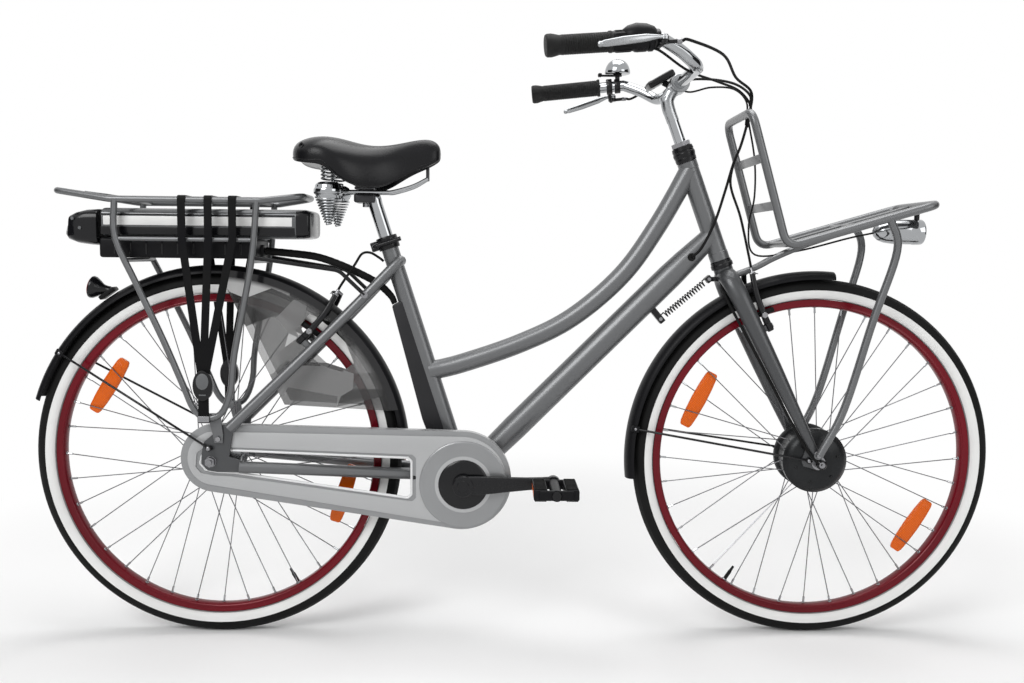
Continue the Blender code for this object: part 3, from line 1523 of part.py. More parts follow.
# Saddle: rails with their spring cups and hive springs, coil springs, padded top
SADDLE_BASE_Z = SPRING_TOP_Z + 0.0020
NOSE = at(SEAT_TOP.x + SADDLE_NOSE_AHEAD, SADDLE_BASE_Z - RUNNING_GAP)
nose_low = NOSE - 0.0215 * Z_AXIS
rails = []
for side in (-1, 1):
    cup = at(SPRING_X, SPRING_SEAT_Z, side * SPRING_Y)
    low = -SPRING_CUP_HEIGHT
    profile = [
        (0.0, 0.0),
        (0.0170, 0.0),
        (SPRING_CUP_RADIUS - 0.003, -0.006),
        (SPRING_CUP_RADIUS - 0.002, -0.011),
        (SPRING_CUP_RADIUS, -0.014),
        (SPRING_CUP_RADIUS, -0.020),
        (SPRING_CUP_RADIUS - 0.004, -0.024),
        (SPRING_CUP_RADIUS - 0.005, low),
        (0.0, low),
    ]
    hive_top = cup + (low + 0.002) * Z_AXIS
    hive = helix(hive_top, hive_top - HIVE_LENGTH * Z_AXIS, HIVE_CURLS, (0.0190, 0.0050), 8)
    hive.insert(0, hive[0] + 0.004 * Z_AXIS)
    rails += [
        turned(profile, cup, Z_AXIS, 12),
        tube(hive, SPRING_WIRE_RADIUS, 6),
        tube(
            flowing(
                [
                    nose_low + side * 0.007 * Y_AXIS,
                    at_seat(-0.0478, 0.1067, side * 0.016),
                    at_seat(-0.0108, 0.0957, side * 0.0205),
                    at(SADDLE_REAR_X + 0.167, SADDLE_RAIL_Z, side * 0.021),
                    at(SADDLE_REAR_X + 0.111, SADDLE_RAIL_Z, side * 0.021),
                    at(SADDLE_REAR_X + 0.091, SADDLE_RAIL_Z - 0.001, side * 0.033),
                    at(SPRING_X, SADDLE_RAIL_Z - 0.001, side * SPRING_Y),
                ],
                2,
            ),
            SADDLE_RAIL_RADIUS,
            6,
        ),
    ]
print("hive spring, least gap to itself in mm:", round(1000 * least_gap(hive, SPRING_WIRE_RADIUS, 5), 2))
nose_block = block(
    (nose_low + NOSE) / 2 - 0.002 * Z_AXIS,
    (0.006, 0.018, (NOSE - nose_low).length + 0.004),
    (1, 0, 0),
)
node("saddle_rails", fused(nose_block, *rails), CHROME, "seatpost")

pivot("saddle", "seatpost", NOSE)
spring_foot = SPRING_SEAT_Z + GAP
for side, word in ((-1, "right"), (1, "left")):
    low = at(SPRING_X, spring_foot + 0.0035, side * SPRING_Y)
    high = at(SPRING_X, SADDLE_BASE_Z - GAP - 0.0035, side * SPRING_Y)
    coil = helix(low, high, SPRING_CURLS, (SPRING_COIL_RADIUS, SPRING_COIL_RADIUS), 8, 0.0035)
    node("saddle_spring_" + word, tube(coil, SPRING_WIRE_RADIUS, 6), CHROME, "saddle")
print("saddle spring, least gap to itself in mm:", round(1000 * least_gap(coil, SPRING_WIRE_RADIUS, 5), 2))

saddle_stations = (
    (0.000, 0.42, 0.0300, 0.0110),
    (0.020, 0.66, 0.0420, 0.0040),
    (0.076, 0.85, 0.0500, 0.0000),
    (0.150, 0.96, 0.0550, -0.0020),
    (0.235, 1.00, 0.0565, -0.0040),
    (0.335, 0.98, 0.0530, -0.0310),
    (0.453, 0.81, 0.0440, -0.0450),
    (0.544, 0.62, 0.0410, -0.0470),
    (0.635, 0.46, 0.0425, -0.0410),
    (0.726, 0.35, 0.0470, -0.0250),
    (0.818, 0.28, 0.0525, -0.0110),
    (0.909, 0.25, 0.0550, -0.0010),
    (0.967, 0.21, 0.0490, 0.0080),
    (1.000, 0.12, 0.0370, 0.0140),
)
sections = []
for along, wide, top, skirt in saddle_stations:
    top, skirt = SADDLE_BASE_Z + top, SADDLE_BASE_Z + skirt
    x = SADDLE_REAR_X + along * SADDLE_LENGTH
    width = wide * SADDLE_HALF_WIDTH
    base = max(SADDLE_BASE_Z, skirt + 0.003)
    ring = []
    for i in range(11):
        angle = math.pi * i / 10
        bulge = math.sin(angle) ** 0.75
        tuck = 1.0 - 0.10 * (1 - math.sin(angle)) ** 2
        ring.append(at(x, skirt + (top - skirt) * bulge, width * math.cos(angle) * tuck))
    under = [(-0.80, skirt), (-0.72, base), (-0.25, base), (0.25, base), (0.72, base), (0.80, skirt)]
    ring += [at(x, z, part * width) for part, z in under]
    sections.append(ring)
node("saddle_top", loft(sections), VINYL, "saddle", sharp=60)

# Handlebar and stem
BAR_LINE = (at_front(0.3640, 1.1032, 0.2316), at_front(0.5430, 1.0860, 0.2500))
bar_way = (BAR_LINE[1] - BAR_LINE[0]).normalized()
half_bar = flowing(
    [
        at(BAR_CENTRE_X, BAR_CENTRE_Z, BAR_HALF_STRAIGHT),
        at_front(0.2890, 1.0720, 0.1960),
        at_front(0.3170, 1.0890, 0.2135),
        BAR_LINE[0] - 0.012 * bar_way,
    ],
    2,
)
left_half = [at(BAR_CENTRE_X, BAR_CENTRE_Z, 0.1), *half_bar, BAR_LINE[1]]
bar_path = [Vector((p.x, -p.y, p.z)) for p in left_half[::-1]] + left_half
node("handlebar", tube(bar_path, BAR_RADIUS, 8), CHROME, "fork")

bar_centre = at(BAR_CENTRE_X, BAR_CENTRE_Z)
quill_top = HEAD_TOP_S + 0.1310
stem = fused(
    rod(steer_point(quill_low + 0.006), steer_point(quill_top), QUILL_RADIUS, 12),
    rod(
        bar_centre - STEM_CLAMP_WIDTH / 2 * Y_AXIS,
        bar_centre + STEM_CLAMP_WIDTH / 2 * Y_AXIS,
        STEM_CLAMP_RADIUS,
        16,
    ),
    tube(
        [
            steer_point(quill_top - 0.045),
            steer_point(quill_top - 0.012),
            steer_point(quill_top - 0.001, 0.008),
            bar_centre,
        ],
        0.0125,
        10,
    ),
)
stem = cut(stem, bore(bar_centre - 0.05 * Y_AXIS, bar_centre + 0.05 * Y_AXIS, BAR_RADIUS))
node("stem", stem, ALUMINIUM, "fork")

grip_bore = clear_of(BAR_RADIUS, 10)


def grip_profile(length):
    return [
        (0.0, length + GAP),
        (grip_bore, length + GAP),
        (grip_bore, 0.0),
        (GRIP_RADIUS + 0.0015, 0.0),
        (GRIP_RADIUS - 0.0005, 0.008),
        (GRIP_RADIUS, length - 0.020),
        (GRIP_RADIUS + 0.0025, length - 0.006),
        (GRIP_RADIUS + 0.0020, length + 0.003),
        (0.0, length + 0.004),
    ]


def on_bar(side, distance):
    # Along the straight end of the handlebar, counted inward from its tip
    point = BAR_LINE[1] - distance * bar_way
    return Vector((point.x, side * point.y, point.z))


def bar_direction(side):
    return Vector((bar_way.x, side * bar_way.y, bar_way.z))


for side, word, length in ((-1, "right", GRIP_RIGHT_LENGTH), (1, "left", GRIP_LEFT_LENGTH)):
    start = on_bar(side, length)
    node("grip_" + word, turned(grip_profile(length), start, bar_direction(side), 10), RUBBER, "fork")

shifter_start = on_bar(-1, GRIP_RIGHT_LENGTH + RUNNING_GAP + SHIFTER_LENGTH)
pivot("shifter", "fork", shifter_start)
shifter_bore = clear_of(BAR_RADIUS, 12, RUNNING_GAP)
shifter_profile = [
    (shifter_bore, 0.0),
    (SHIFTER_RADIUS - 0.002, 0.0),
    (SHIFTER_RADIUS, 0.005),
    (SHIFTER_RADIUS, 0.020),
    (SHIFTER_RADIUS - 0.0025, 0.026),
    (SHIFTER_RADIUS - 0.0025, SHIFTER_LENGTH),
    (shifter_bore, SHIFTER_LENGTH),
]
node(
    "twist_shifter",
    turned(shifter_profile, shifter_start, bar_direction(-1), 12, True),
    BLACK_PLASTIC,
    "shifter",
)

# Brake levers on their mounts
for side, word in ((-1, "right"), (1, "left")):
    distance = 0.1835 if side < 0 else 0.1620
    ring_at = on_bar(side, distance)
    ring_way = bar_direction(side)
    pin = ring_at + 0.010 * -ring_way + side * 0.026 * Y_AXIS + (-0.0040 if side < 0 else -0.018) * Z_AXIS
    low, high = pin - 0.0032 * Z_AXIS, pin + 0.0032 * Z_AXIS
    elbow = Vector(((ring_at.x + pin.x) / 2, (ring_at.y + pin.y) / 2, pin.z - 0.0095))
    mount = fused(
        rod(ring_at - 0.006 * ring_way, ring_at + 0.006 * ring_way, 0.0165, 10),
        rod(low - 0.0063 * Z_AXIS, low - GAP * Z_AXIS, 0.0085, 10),
        tube([ring_at - 0.012 * Z_AXIS, elbow, pin - 0.0068 * Z_AXIS], 0.0028, 6),
        rod(pin - 0.006 * Z_AXIS, high + 0.0015 * Z_AXIS, 0.0030, 6),
        rod(high + GAP * Z_AXIS, high + 0.0025 * Z_AXIS, 0.0060, 8),
        rod(pin - 0.0064 * Z_AXIS, pin - 0.0064 * Z_AXIS - 0.030 * ring_way, 0.0026, 6),
    )
    mount = cut(mount, bore(ring_at - 0.02 * ring_way, ring_at + 0.02 * ring_way, BAR_RADIUS))
    node("brake_mount_" + word, mount, BLACK_METAL, "fork")

    reach = -0.108 if side < 0 else -0.098
    drop = 0.0175 if side < 0 else 0.029
    lever_tip = Vector((pin.x + reach, side * 0.2845, pin.z - drop))
    stations = []
    for t, y_bow, wide, thick in (
        (0.0, 0.0, 0.0030, 0.0055),
        (0.12, 0.003, 0.0030, 0.0045),
        (0.30, 0.007, 0.0052, 0.0032),
        (0.65, 0.007, 0.0056, 0.0030),
        (0.93, 0.001, 0.0046, 0.0030),
        (1.0, 0.0, 0.0030, 0.0022),
    ):
        here = pin.lerp(lever_tip, t) + side * y_bow * Y_AXIS
        here.z = pin.z - drop * max(0.0, t - 0.12) / 0.88
        stations.append(oval(here, Y_AXIS, Z_AXIS, thick, wide, 6))
    lever = fused(
        loft(stations),
        rod(low, high, 0.0080, 10),
        rod(lever_tip - 0.004 * Vector((1, 0, 0)), lever_tip + 0.004 * Vector((1, 0, 0)), 0.0045, 8),
    )
    lever = cut(lever, rod(low - 0.01 * Z_AXIS, high + 0.01 * Z_AXIS, 0.0033, 8))
    pivot("lever_" + word, "fork", pin)
    node("brake_lever_" + word, lever, BLACK_METAL, "lever_" + word)
    if side < 0:
        right_pin = pin - 0.0064 * Z_AXIS - 0.030 * ring_way
    else:
        left_pin = pin - 0.0064 * Z_AXIS - 0.030 * ring_way

# Bell with its thumb lever
bell_foot = on_bar(1, 0.1790)
bell_base = bell_foot + 0.0215 * Z_AXIS
dome = [
    (0.0, BELL_HEIGHT),
    (0.010, BELL_HEIGHT - 0.0015),
    (0.0185, BELL_HEIGHT - 0.0065),
    (0.0245, BELL_HEIGHT - 0.0145),
    (BELL_RADIUS, 0.0080),
    (BELL_RADIUS, 0.0040),
    (0.0235, 0.0036),
    (0.0, 0.0036),
]
bell = fused(
    turned(dome, bell_base, Z_AXIS, 12),
    rod(bell_foot + 0.012 * Z_AXIS, bell_base + 0.005 * Z_AXIS, BELL_POST_RADIUS, 8),
    rod(bell_foot - 0.006 * bar_way, bell_foot + 0.006 * bar_way, 0.0150, 10),
)
bell = cut(bell, bore(bell_foot - 0.02 * bar_way, bell_foot + 0.02 * bar_way, BAR_RADIUS))
node("bell_dome", bell, CHROME, "fork")
pivot("bell_lever", "fork", bell_base)
thumb = fused(
    rod(bell_base - 0.0010 * Z_AXIS, bell_base + 0.0026 * Z_AXIS, 0.0095, 10),
    block(bell_base + Vector((-0.021, 0.004, 0.0008)), (0.036, 0.009, 0.0036), (1, 0, 0)),
    block(bell_base + Vector((-0.037, 0.004, 0.0018)), (0.008, 0.013, 0.0075), (1, 0, 0)),
)
thumb = cut(thumb, bore(bell_base - 0.01 * Z_AXIS, bell_base + 0.01 * Z_AXIS, BELL_POST_RADIUS, 8))
node("bell_lever", thumb, BLACK_PLASTIC, "bell_lever")

# Display
display_way = Vector((math.cos(math.radians(30)), 0, math.sin(math.radians(30))))
display_at = at_front(0.3065, 1.0835, DISPLAY_Y)
display_clamp = at(BAR_CENTRE_X, BAR_CENTRE_Z, DISPLAY_Y)
display = fused(
    block(display_at, (0.056, 0.052, 0.014), display_way),
    rod(display_clamp - 0.008 * Y_AXIS, display_clamp + 0.008 * Y_AXIS, 0.0152, 10),
    rod(display_clamp, display_clamp + 0.75 * (display_at - display_clamp), 0.0060, 8),
)
display = cut(display, bore(display_clamp - 0.03 * Y_AXIS, display_clamp + 0.03 * Y_AXIS, BAR_RADIUS))
node("display", display, BLACK_PLASTIC, "fork")

# Cables from both levers to the front brake and into the down tube
port = DOWN_TUBE_TOP + 0.060 * DOWN_TUBE_WAY
front_end = FRONT_BRAKE.arm_end(-1, GAP)
bundle = [
    right_pin - 0.014 * bar_direction(-1),
    at_front(0.2290, 1.0960, -0.1500),
    at_front(0.1810, 1.0750, -0.0500),
    at_front(0.1400, 1.0560, -0.0060),
    at_front(0.1410, 1.0150, 0.0),
    at_front(0.1540, 0.9600, 0.0),
    at_front(0.1690, 0.9200, 0.0),
    at_front(0.1840, 0.8700, -0.006),
    at_front(0.2060, 0.8100, -0.0230),
    at_front(0.2310, 0.7620, -0.0330),
    port + at(0.0030, 0.0030, -0.0310),
]
left_run = [
    left_pin - 0.014 * bar_direction(1),
    at_front(0.2840, 1.1030, 0.2080),
    at_front(0.2190, 1.1000, 0.1150),
    at_front(0.1690, 1.0800, 0.0350),
    at_front(0.1420, 1.0530, 0.0),
    at_front(0.1400, 1.0300, 0.0),
]
brake_run = [
    at_front(0.1680, 0.9250, 0.0),
    at_front(0.1740, 0.8800, -0.0060),
    at_front(0.1580, 0.8200, -0.0240),
    FRONT_BRAKE.arm_end(-1, 0.045),
    FRONT_BRAKE.arm_end(-1, 0.020),
]
cables = fused(
    tube([right_pin - GAP * bar_direction(-1), *flowing(bundle, 2), port + at(0, 0, -0.0240)], 0.0028, 6),
    tube([left_pin - GAP * bar_direction(1), *flowing(left_run, 2)], 0.0026, 6),
    tube([*brake_run, front_end], 0.0024, 6),
)
node("brake_cables", cables, RUBBER, "fork")

# Front carrier, which steers with the fork, and the lamp below its front
tilt = math.radians(CARRIER_TILT)
carrier_forward = Vector((math.cos(tilt), 0, math.sin(tilt)))
carrier_up = Vector((-math.sin(tilt), 0, math.cos(tilt)))
corner = steer_point(CARRIER_CORNER_UP, CARRIER_CORNER_FORWARD)


def carrier_point(forward, up, y=0.0):
    return corner + forward * carrier_forward + up * carrier_up + y * Y_AXIS


w = CARRIER_HALF_WIDTH
loop = rounded(
    [
        carrier_point(0, CARRIER_HEIGHT, -w),
        carrier_point(0, 0, -w),
        carrier_point(CARRIER_LENGTH, 0, -w),
        carrier_point(CARRIER_LENGTH, 0, w),
        carrier_point(0, 0, w),
        carrier_point(0, CARRIER_HEIGHT, w),
    ],
    0.028,
    2,
    closed=True,
)
carrier_solids = []
for forward, up, radius in (
    (0.0, 0.170, 0.0058),
    (0.0, 0.080, 0.0058),
    (0.024, 0.0, 0.0058),
    (0.150, 0.0, 0.0050),
):
    carrier_solids.append(rod(carrier_point(forward, up, -w), carrier_point(forward, up, w), radius, 6))
for y in (-0.034, 0.034):
    middle = carrier_point((CARRIER_LENGTH + 0.024) / 2, 0.0015, y)
    carrier_solids.append(block(middle, (CARRIER_LENGTH - 0.024, 0.026, 0.004), carrier_forward))
bracket_from = BLADE_RADII[0] + GAP
bracket_s = 0.3905
reach_to = 0.120
bracket_mid = steer_point(bracket_s, (bracket_from + reach_to) / 2)
carrier_solids += [
    block(bracket_mid, (reach_to - bracket_from, 0.022, 0.008), HEAD_FORWARD),
    block(
        (steer_point(bracket_s, reach_to - 0.006) + carrier_point(0.024, 0.0)) / 2,
        (0.012, 0.022, 0.040),
        HEAD_FORWARD,
    ),
]
leg_foot = steer_point(0.0190, 0.0415)
for side in (-1, 1):
    foot_y = BLADE_PATH[-1][2] + BLADE_RADII[-1] + 2 * GAP
    carrier_solids += [
        rod(leg_foot + side * foot_y * Y_AXIS, leg_foot + side * (foot_y + 0.004) * Y_AXIS, 0.0085, 8),
        tube(
            flowing(
                [
                    leg_foot + side * (foot_y + 0.0068) * Y_AXIS,
                    at_front(-0.0365, 0.4584, side * 0.0780),
                    at_front(-0.0828, 0.6250, side * 0.0810),
                    at_front(-0.1200, 0.7579, side * 0.0880),
                    carrier_point(0.198, 0.0, side * w),
                ],
                2,
            ),
            0.0060,
            6,
        ),
    ]
node(
    "front_carrier",
    fused(tube(loop, CARRIER_TUBE_RADIUS, 8, closed=True), *carrier_solids),
    FRAME_PAINT,
    "fork",
)

front_bar = carrier_point(CARRIER_LENGTH, 0.0)
lamp_at = front_bar - at(LAMP_BACK, LAMP_DROP)
half_lamp = LAMP_LENGTH / 2
lamp_profile = [
    (0.0, half_lamp),
    (0.0205, half_lamp),
    (LAMP_RADIUS, half_lamp - 0.004),
    (LAMP_RADIUS, half_lamp - 0.018),
    (0.0228, -0.012),
    (0.0180, -half_lamp + 0.014),
    (0.0090, -half_lamp + 0.002),
    (0.0, -half_lamp),
]
lamp_post = at(front_bar.x, front_bar.z - CARRIER_TUBE_RADIUS - GAP)
headlamp = fused(
    turned(lamp_profile, lamp_at, (1, 0, 0), 14),
    rod(at(lamp_post.x, lamp_at.z + 0.012), lamp_post, 0.0050, 6),
)
node("headlamp", headlamp, CHROME, "fork")

for leftover in list(workshop.objects):
    bpy.data.objects.remove(leftover, do_unlink=True)
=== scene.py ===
import math

import bmesh
import bpy
from mathutils import Matrix, Vector


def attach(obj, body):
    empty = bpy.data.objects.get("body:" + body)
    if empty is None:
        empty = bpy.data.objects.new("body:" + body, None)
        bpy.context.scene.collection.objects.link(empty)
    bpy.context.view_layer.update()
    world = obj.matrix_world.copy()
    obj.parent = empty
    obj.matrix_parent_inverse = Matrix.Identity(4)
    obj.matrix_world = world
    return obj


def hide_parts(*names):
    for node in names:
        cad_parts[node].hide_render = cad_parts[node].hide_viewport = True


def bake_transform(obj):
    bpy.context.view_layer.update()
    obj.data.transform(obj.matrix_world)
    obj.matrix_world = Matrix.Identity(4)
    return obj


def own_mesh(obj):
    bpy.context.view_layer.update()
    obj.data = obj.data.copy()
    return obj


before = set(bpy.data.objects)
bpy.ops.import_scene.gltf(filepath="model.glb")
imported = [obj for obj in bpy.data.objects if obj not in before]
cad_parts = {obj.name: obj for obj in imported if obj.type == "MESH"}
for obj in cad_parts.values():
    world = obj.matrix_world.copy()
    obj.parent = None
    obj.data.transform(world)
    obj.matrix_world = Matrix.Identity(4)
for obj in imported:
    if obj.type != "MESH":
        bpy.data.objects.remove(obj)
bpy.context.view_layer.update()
yAxis = Vector((0, 1, 0))
zAxis = Vector((0, 0, 1))
rearX = -0.577
gap = 0.0003  # clearance between solids that don't touch


# materials

def newMaterial(name, settings, shown=(0.8, 0.8, 0.8)):
    # shown is the colour in the viewport's solid view
    made = bpy.data.materials.new(name)
    made.use_nodes = True
    made.diffuse_color = (*shown, 1)
    nodes = made.node_tree.nodes
    shader = nodes["Principled BSDF"]
    for socket, value in settings.items():
        shader.inputs[socket].default_value = value
    return made, nodes, made.node_tree.links, shader


def addNode(nodes, kind, inputs=None, **settings):
    made = nodes.new("ShaderNode" + kind)
    for key, value in settings.items():
        setattr(made, key, value)
    for socket, value in (inputs or {}).items():
        made.inputs[socket].default_value = value
    return made


def objectPlace(nodes, links, pattern, **mapping):
    # a pattern on object coordinates stays put on its piece
    place = addNode(nodes, "TexCoord")
    turn = addNode(nodes, "Mapping", mapping)
    links.new(place.outputs["Object"], turn.inputs["Vector"])
    links.new(turn.outputs["Vector"], pattern.inputs["Vector"])


def objectNoise(nodes, links, scale, detail=3.0, stretch=(1, 1, 1)):
    noise = addNode(nodes, "TexNoise", {"Scale": scale, "Detail": detail})
    objectPlace(nodes, links, noise, Scale=stretch)
    return noise.outputs["Fac"]


def axleReach(nodes, links, centre):
    # distance from the line across the bike through centre
    place = addNode(nodes, "TexCoord")
    away = addNode(
        nodes, "VectorMath", {1: (1, 0, 1), 2: tuple(-part for part in centre)},
        operation="MULTIPLY_ADD"
    )
    reach = addNode(nodes, "VectorMath", operation="LENGTH")
    links.new(place.outputs["Object"], away.inputs[0])
    links.new(away.outputs["Vector"], reach.inputs[0])
    return reach.outputs["Value"]


def spreadOf(nodes, links, source, low, high, start=0.3, end=0.7):
    limits = {"From Min": start, "From Max": end, "To Min": low, "To Max": high}
    span = addNode(nodes, "MapRange", limits)
    links.new(source, span.inputs["Value"])
    return span.outputs["Result"]


def mathOf(nodes, links, operation, first, second):
    made = addNode(nodes, "Math", operation=operation)
    links.new(first, made.inputs[0])
    links.new(second, made.inputs[1])
    return made.outputs[0]


def mixOf(nodes, links, factor, first, second):
    mix = addNode(nodes, "Mix", {"A": (*first, 1), "B": (*second, 1)}, data_type="RGBA")
    links.new(factor, mix.inputs["Factor"])
    return mix.outputs["Result"]


def bumpOf(nodes, links, shader, height, strength, distance):
    bump = addNode(nodes, "Bump", {"Strength": strength, "Distance": distance})
    links.new(height, bump.inputs["Height"])
    links.new(bump.outputs["Normal"], shader.inputs["Normal"])


def plainFinish(name, look):
    settings = {
        "Metallic": look.get("metal", 0.0),
        "Specular IOR Level": look.get("shine", 0.5),
        "Coat Weight": look.get("coat", 0.0),
        "Coat Roughness": 0.12,
    }
    made, nodes, links, shader = newMaterial(name, settings, look["colour"])
    wide = objectNoise(nodes, links, look.get("cloud", 14.0), 2.0)
    fine = objectNoise(nodes, links, look.get("grain", 700.0), 3.0, look.get("stretch", (1, 1, 1)))
    tone = spreadOf(nodes, links, wide, 0.0, 1.0)
    other = look.get("other", tuple(0.82 * part for part in look["colour"]))
    links.new(mixOf(nodes, links, tone, look["colour"], other), shader.inputs["Base Color"])
    rough, swing = look["rough"], look.get("swing", 0.15)
    roughness = spreadOf(nodes, links, fine, rough * (1 - swing), rough * (1 + swing))
    links.new(roughness, shader.inputs["Roughness"])
    if look.get("bump", 0.1):
        bumpOf(nodes, links, shader, fine, look.get("bump", 0.1), look.get("depth", 0.0002))
    return made


finishLooks = {
    "framePaint": {
        "colour": (0.135, 0.138, 0.142), "other": (0.122, 0.125, 0.129), "rough": 0.34,
        "metal": 0.5, "coat": 0.15, "swing": 0.04, "cloud": 5.0, "grain": 90.0, "bump": 0.0
    },
    # the next finish is the frame's paint made darker: painted shade for the fork's shaded side
    "shadedFramePaint": {
        "colour": (0.065, 0.067, 0.07), "other": (0.056, 0.058, 0.061), "rough": 0.34, "metal": 0.4,
        "shine": 0.4, "coat": 0.15, "swing": 0.04, "cloud": 5.0, "grain": 90.0, "bump": 0.0
    },
    "coverGrey": {"colour": (0.026, 0.026, 0.028), "rough": 0.42, "shine": 0.15, "grain": 900.0},
    "caseSilver": {
        "colour": (0.42, 0.425, 0.43), "other": (0.39, 0.395, 0.4), "rough": 0.36, "metal": 0.3,
        "coat": 0.1, "swing": 0.05, "cloud": 4.0, "grain": 90.0, "bump": 0.0
    },
    "caseLip": {
        "colour": (0.74, 0.745, 0.75), "other": (0.7, 0.705, 0.71), "rough": 0.3, "metal": 0.1,
        "coat": 0.1, "swing": 0.05, "cloud": 4.0, "grain": 90.0, "bump": 0.0
    },
    "ringSilver": {
        "colour": (0.27, 0.275, 0.28), "other": (0.25, 0.255, 0.26), "rough": 0.32, "metal": 0.45,
        "coat": 0.1, "swing": 0.05, "grain": 90.0, "bump": 0.0
    },
    "blackGloss": {
        "colour": (0.004, 0.004, 0.005), "other": (0.006, 0.006, 0.007), "rough": 0.18,
        "shine": 0.22, "coat": 0.12, "grain": 500.0, "bump": 0.04
    },
    "blackSatin": {
        "colour": (0.006, 0.006, 0.007), "other": (0.009, 0.009, 0.01), "rough": 0.38, "shine": 0.1,
        "grain": 900.0, "bump": 0.1
    },
    "blackMetal": {
        "colour": (0.009, 0.009, 0.01), "other": (0.007, 0.007, 0.008), "rough": 0.26, "shine": 0.2,
        "coat": 0.08, "grain": 800.0, "bump": 0.05
    },
    "motorGrey": {
        "colour": (0.02, 0.021, 0.022), "other": (0.016, 0.017, 0.018), "rough": 0.32,
        "metal": 0.35, "shine": 0.2, "grain": 300.0, "bump": 0.02
    },
    "rubber": {
        "colour": (0.008, 0.008, 0.008), "other": (0.011, 0.011, 0.011), "rough": 0.6,
        "shine": 0.08, "grain": 600.0, "bump": 0.3, "depth": 0.0003
    },
    "strapRubber": {
        "colour": (0.005, 0.005, 0.006), "other": (0.008, 0.008, 0.008), "rough": 0.5,
        "shine": 0.06, "grain": 350.0, "bump": 0.25, "stretch": (3, 3, 0.4), "depth": 0.0003
    },
    "whiteWall": {
        "colour": (0.8, 0.8, 0.79), "other": (0.75, 0.75, 0.74), "rough": 0.5, "shine": 0.3,
        "grain": 120.0, "bump": 0.01
    },
    "wallLine": {
        "colour": (0.22, 0.22, 0.22), "other": (0.3, 0.3, 0.3), "rough": 0.55, "shine": 0.3,
        "grain": 500.0, "bump": 0.2
    },
    "rimRed": {
        "colour": (0.15, 0.001, 0.008), "other": (0.105, 0.001, 0.006), "rough": 0.26,
        "metal": 0.15, "shine": 0.2, "coat": 0.08, "swing": 0.06, "cloud": 3.0, "grain": 90.0,
        "bump": 0.0
    },
    "chrome": {
        "colour": (0.4, 0.41, 0.42), "other": (0.34, 0.35, 0.36), "rough": 0.08, "metal": 1.0,
        "swing": 0.2, "cloud": 6.0, "grain": 90.0, "bump": 0.004
    },
    "aluminium": {
        "colour": (0.4, 0.41, 0.42), "rough": 0.27, "metal": 1.0, "cloud": 6.0, "grain": 900.0,
        "stretch": (1, 6, 1), "bump": 0.06
    },
    "steel": {
        "colour": (0.3, 0.3, 0.31), "other": (0.22, 0.22, 0.23), "rough": 0.28, "metal": 1.0,
        "grain": 700.0, "bump": 0.1
    },
    "spokeSteel": {
        "colour": (0.2, 0.2, 0.21), "other": (0.15, 0.15, 0.16), "rough": 0.26, "metal": 1.0,
        "grain": 700.0, "bump": 0.05
    },
    "darkSteel": {
        "colour": (0.05, 0.05, 0.053), "other": (0.035, 0.035, 0.037), "rough": 0.33, "metal": 0.7,
        "shine": 0.3, "grain": 700.0, "bump": 0.1
    },
    "batterySilver": {
        "colour": (0.115, 0.118, 0.122), "other": (0.1, 0.103, 0.106), "rough": 0.3, "metal": 0.7,
        "grain": 900.0, "stretch": (0.15, 4, 4), "bump": 0.06
    },
    "paleStripe": {"colour": (0.8, 0.8, 0.79), "rough": 0.35, "coat": 0.2, "grain": 500.0},
    "strapGrey": {
        "colour": (0.12, 0.125, 0.13), "rough": 0.4, "metal": 0.2, "grain": 600.0, "bump": 0.1
    },
    "redLens": {
        "colour": (0.36, 0.006, 0.006), "other": (0.26, 0.003, 0.003), "rough": 0.12, "coat": 0.5,
        "grain": 260.0, "bump": 0.2
    },
    "screenGlass": {"colour": (0.02, 0.023, 0.025), "rough": 0.08, "coat": 0.6, "grain": 300.0},
}
finishes = {name: plainFinish(name, look) for name, look in finishLooks.items()}


def prismFinish(name, colour, other):
    # moulded prisms show as a fine diamond net under the clear face
    settings = {
        "Roughness": 0.18, "Specular IOR Level": 0.2, "Coat Weight": 0.12, "Coat Roughness": 0.05
    }
    made, nodes, links, shader = newMaterial(name, settings, colour)
    heights = []
    for turned in (45, -45):
        wave = addNode(nodes, "TexWave", {"Scale": 90.0}, wave_profile="TRI")
        objectPlace(nodes, links, wave, Rotation=(0, math.radians(turned), 0))
        heights.append(wave.outputs["Fac"])
    both = mathOf(nodes, links, "MULTIPLY", *heights)
    links.new(mixOf(nodes, links, both, colour, other), shader.inputs["Base Color"])
    bumpOf(nodes, links, shader, both, 0.5, 0.0006)
    return made


def vinylFinish(name):
    # pebbled vinyl: small cells raised by a bump, and patches a little glossier
    made, nodes, links, shader = newMaterial(name, {"Specular IOR Level": 0.2}, (0.02, 0.02, 0.02))
    cells = addNode(nodes, "TexVoronoi", {"Scale": 520.0})
    objectPlace(nodes, links, cells)
    worn = objectNoise(nodes, links, 16.0, 2.0)
    colour = mixOf(nodes, links, worn, (0.004, 0.004, 0.005), (0.007, 0.007, 0.008))
    links.new(colour, shader.inputs["Base Color"])
    links.new(spreadOf(nodes, links, worn, 0.22, 0.3), shader.inputs["Roughness"])
    bumpOf(nodes, links, shader, cells.outputs["Distance"], 0.35, 0.0004)
    return made


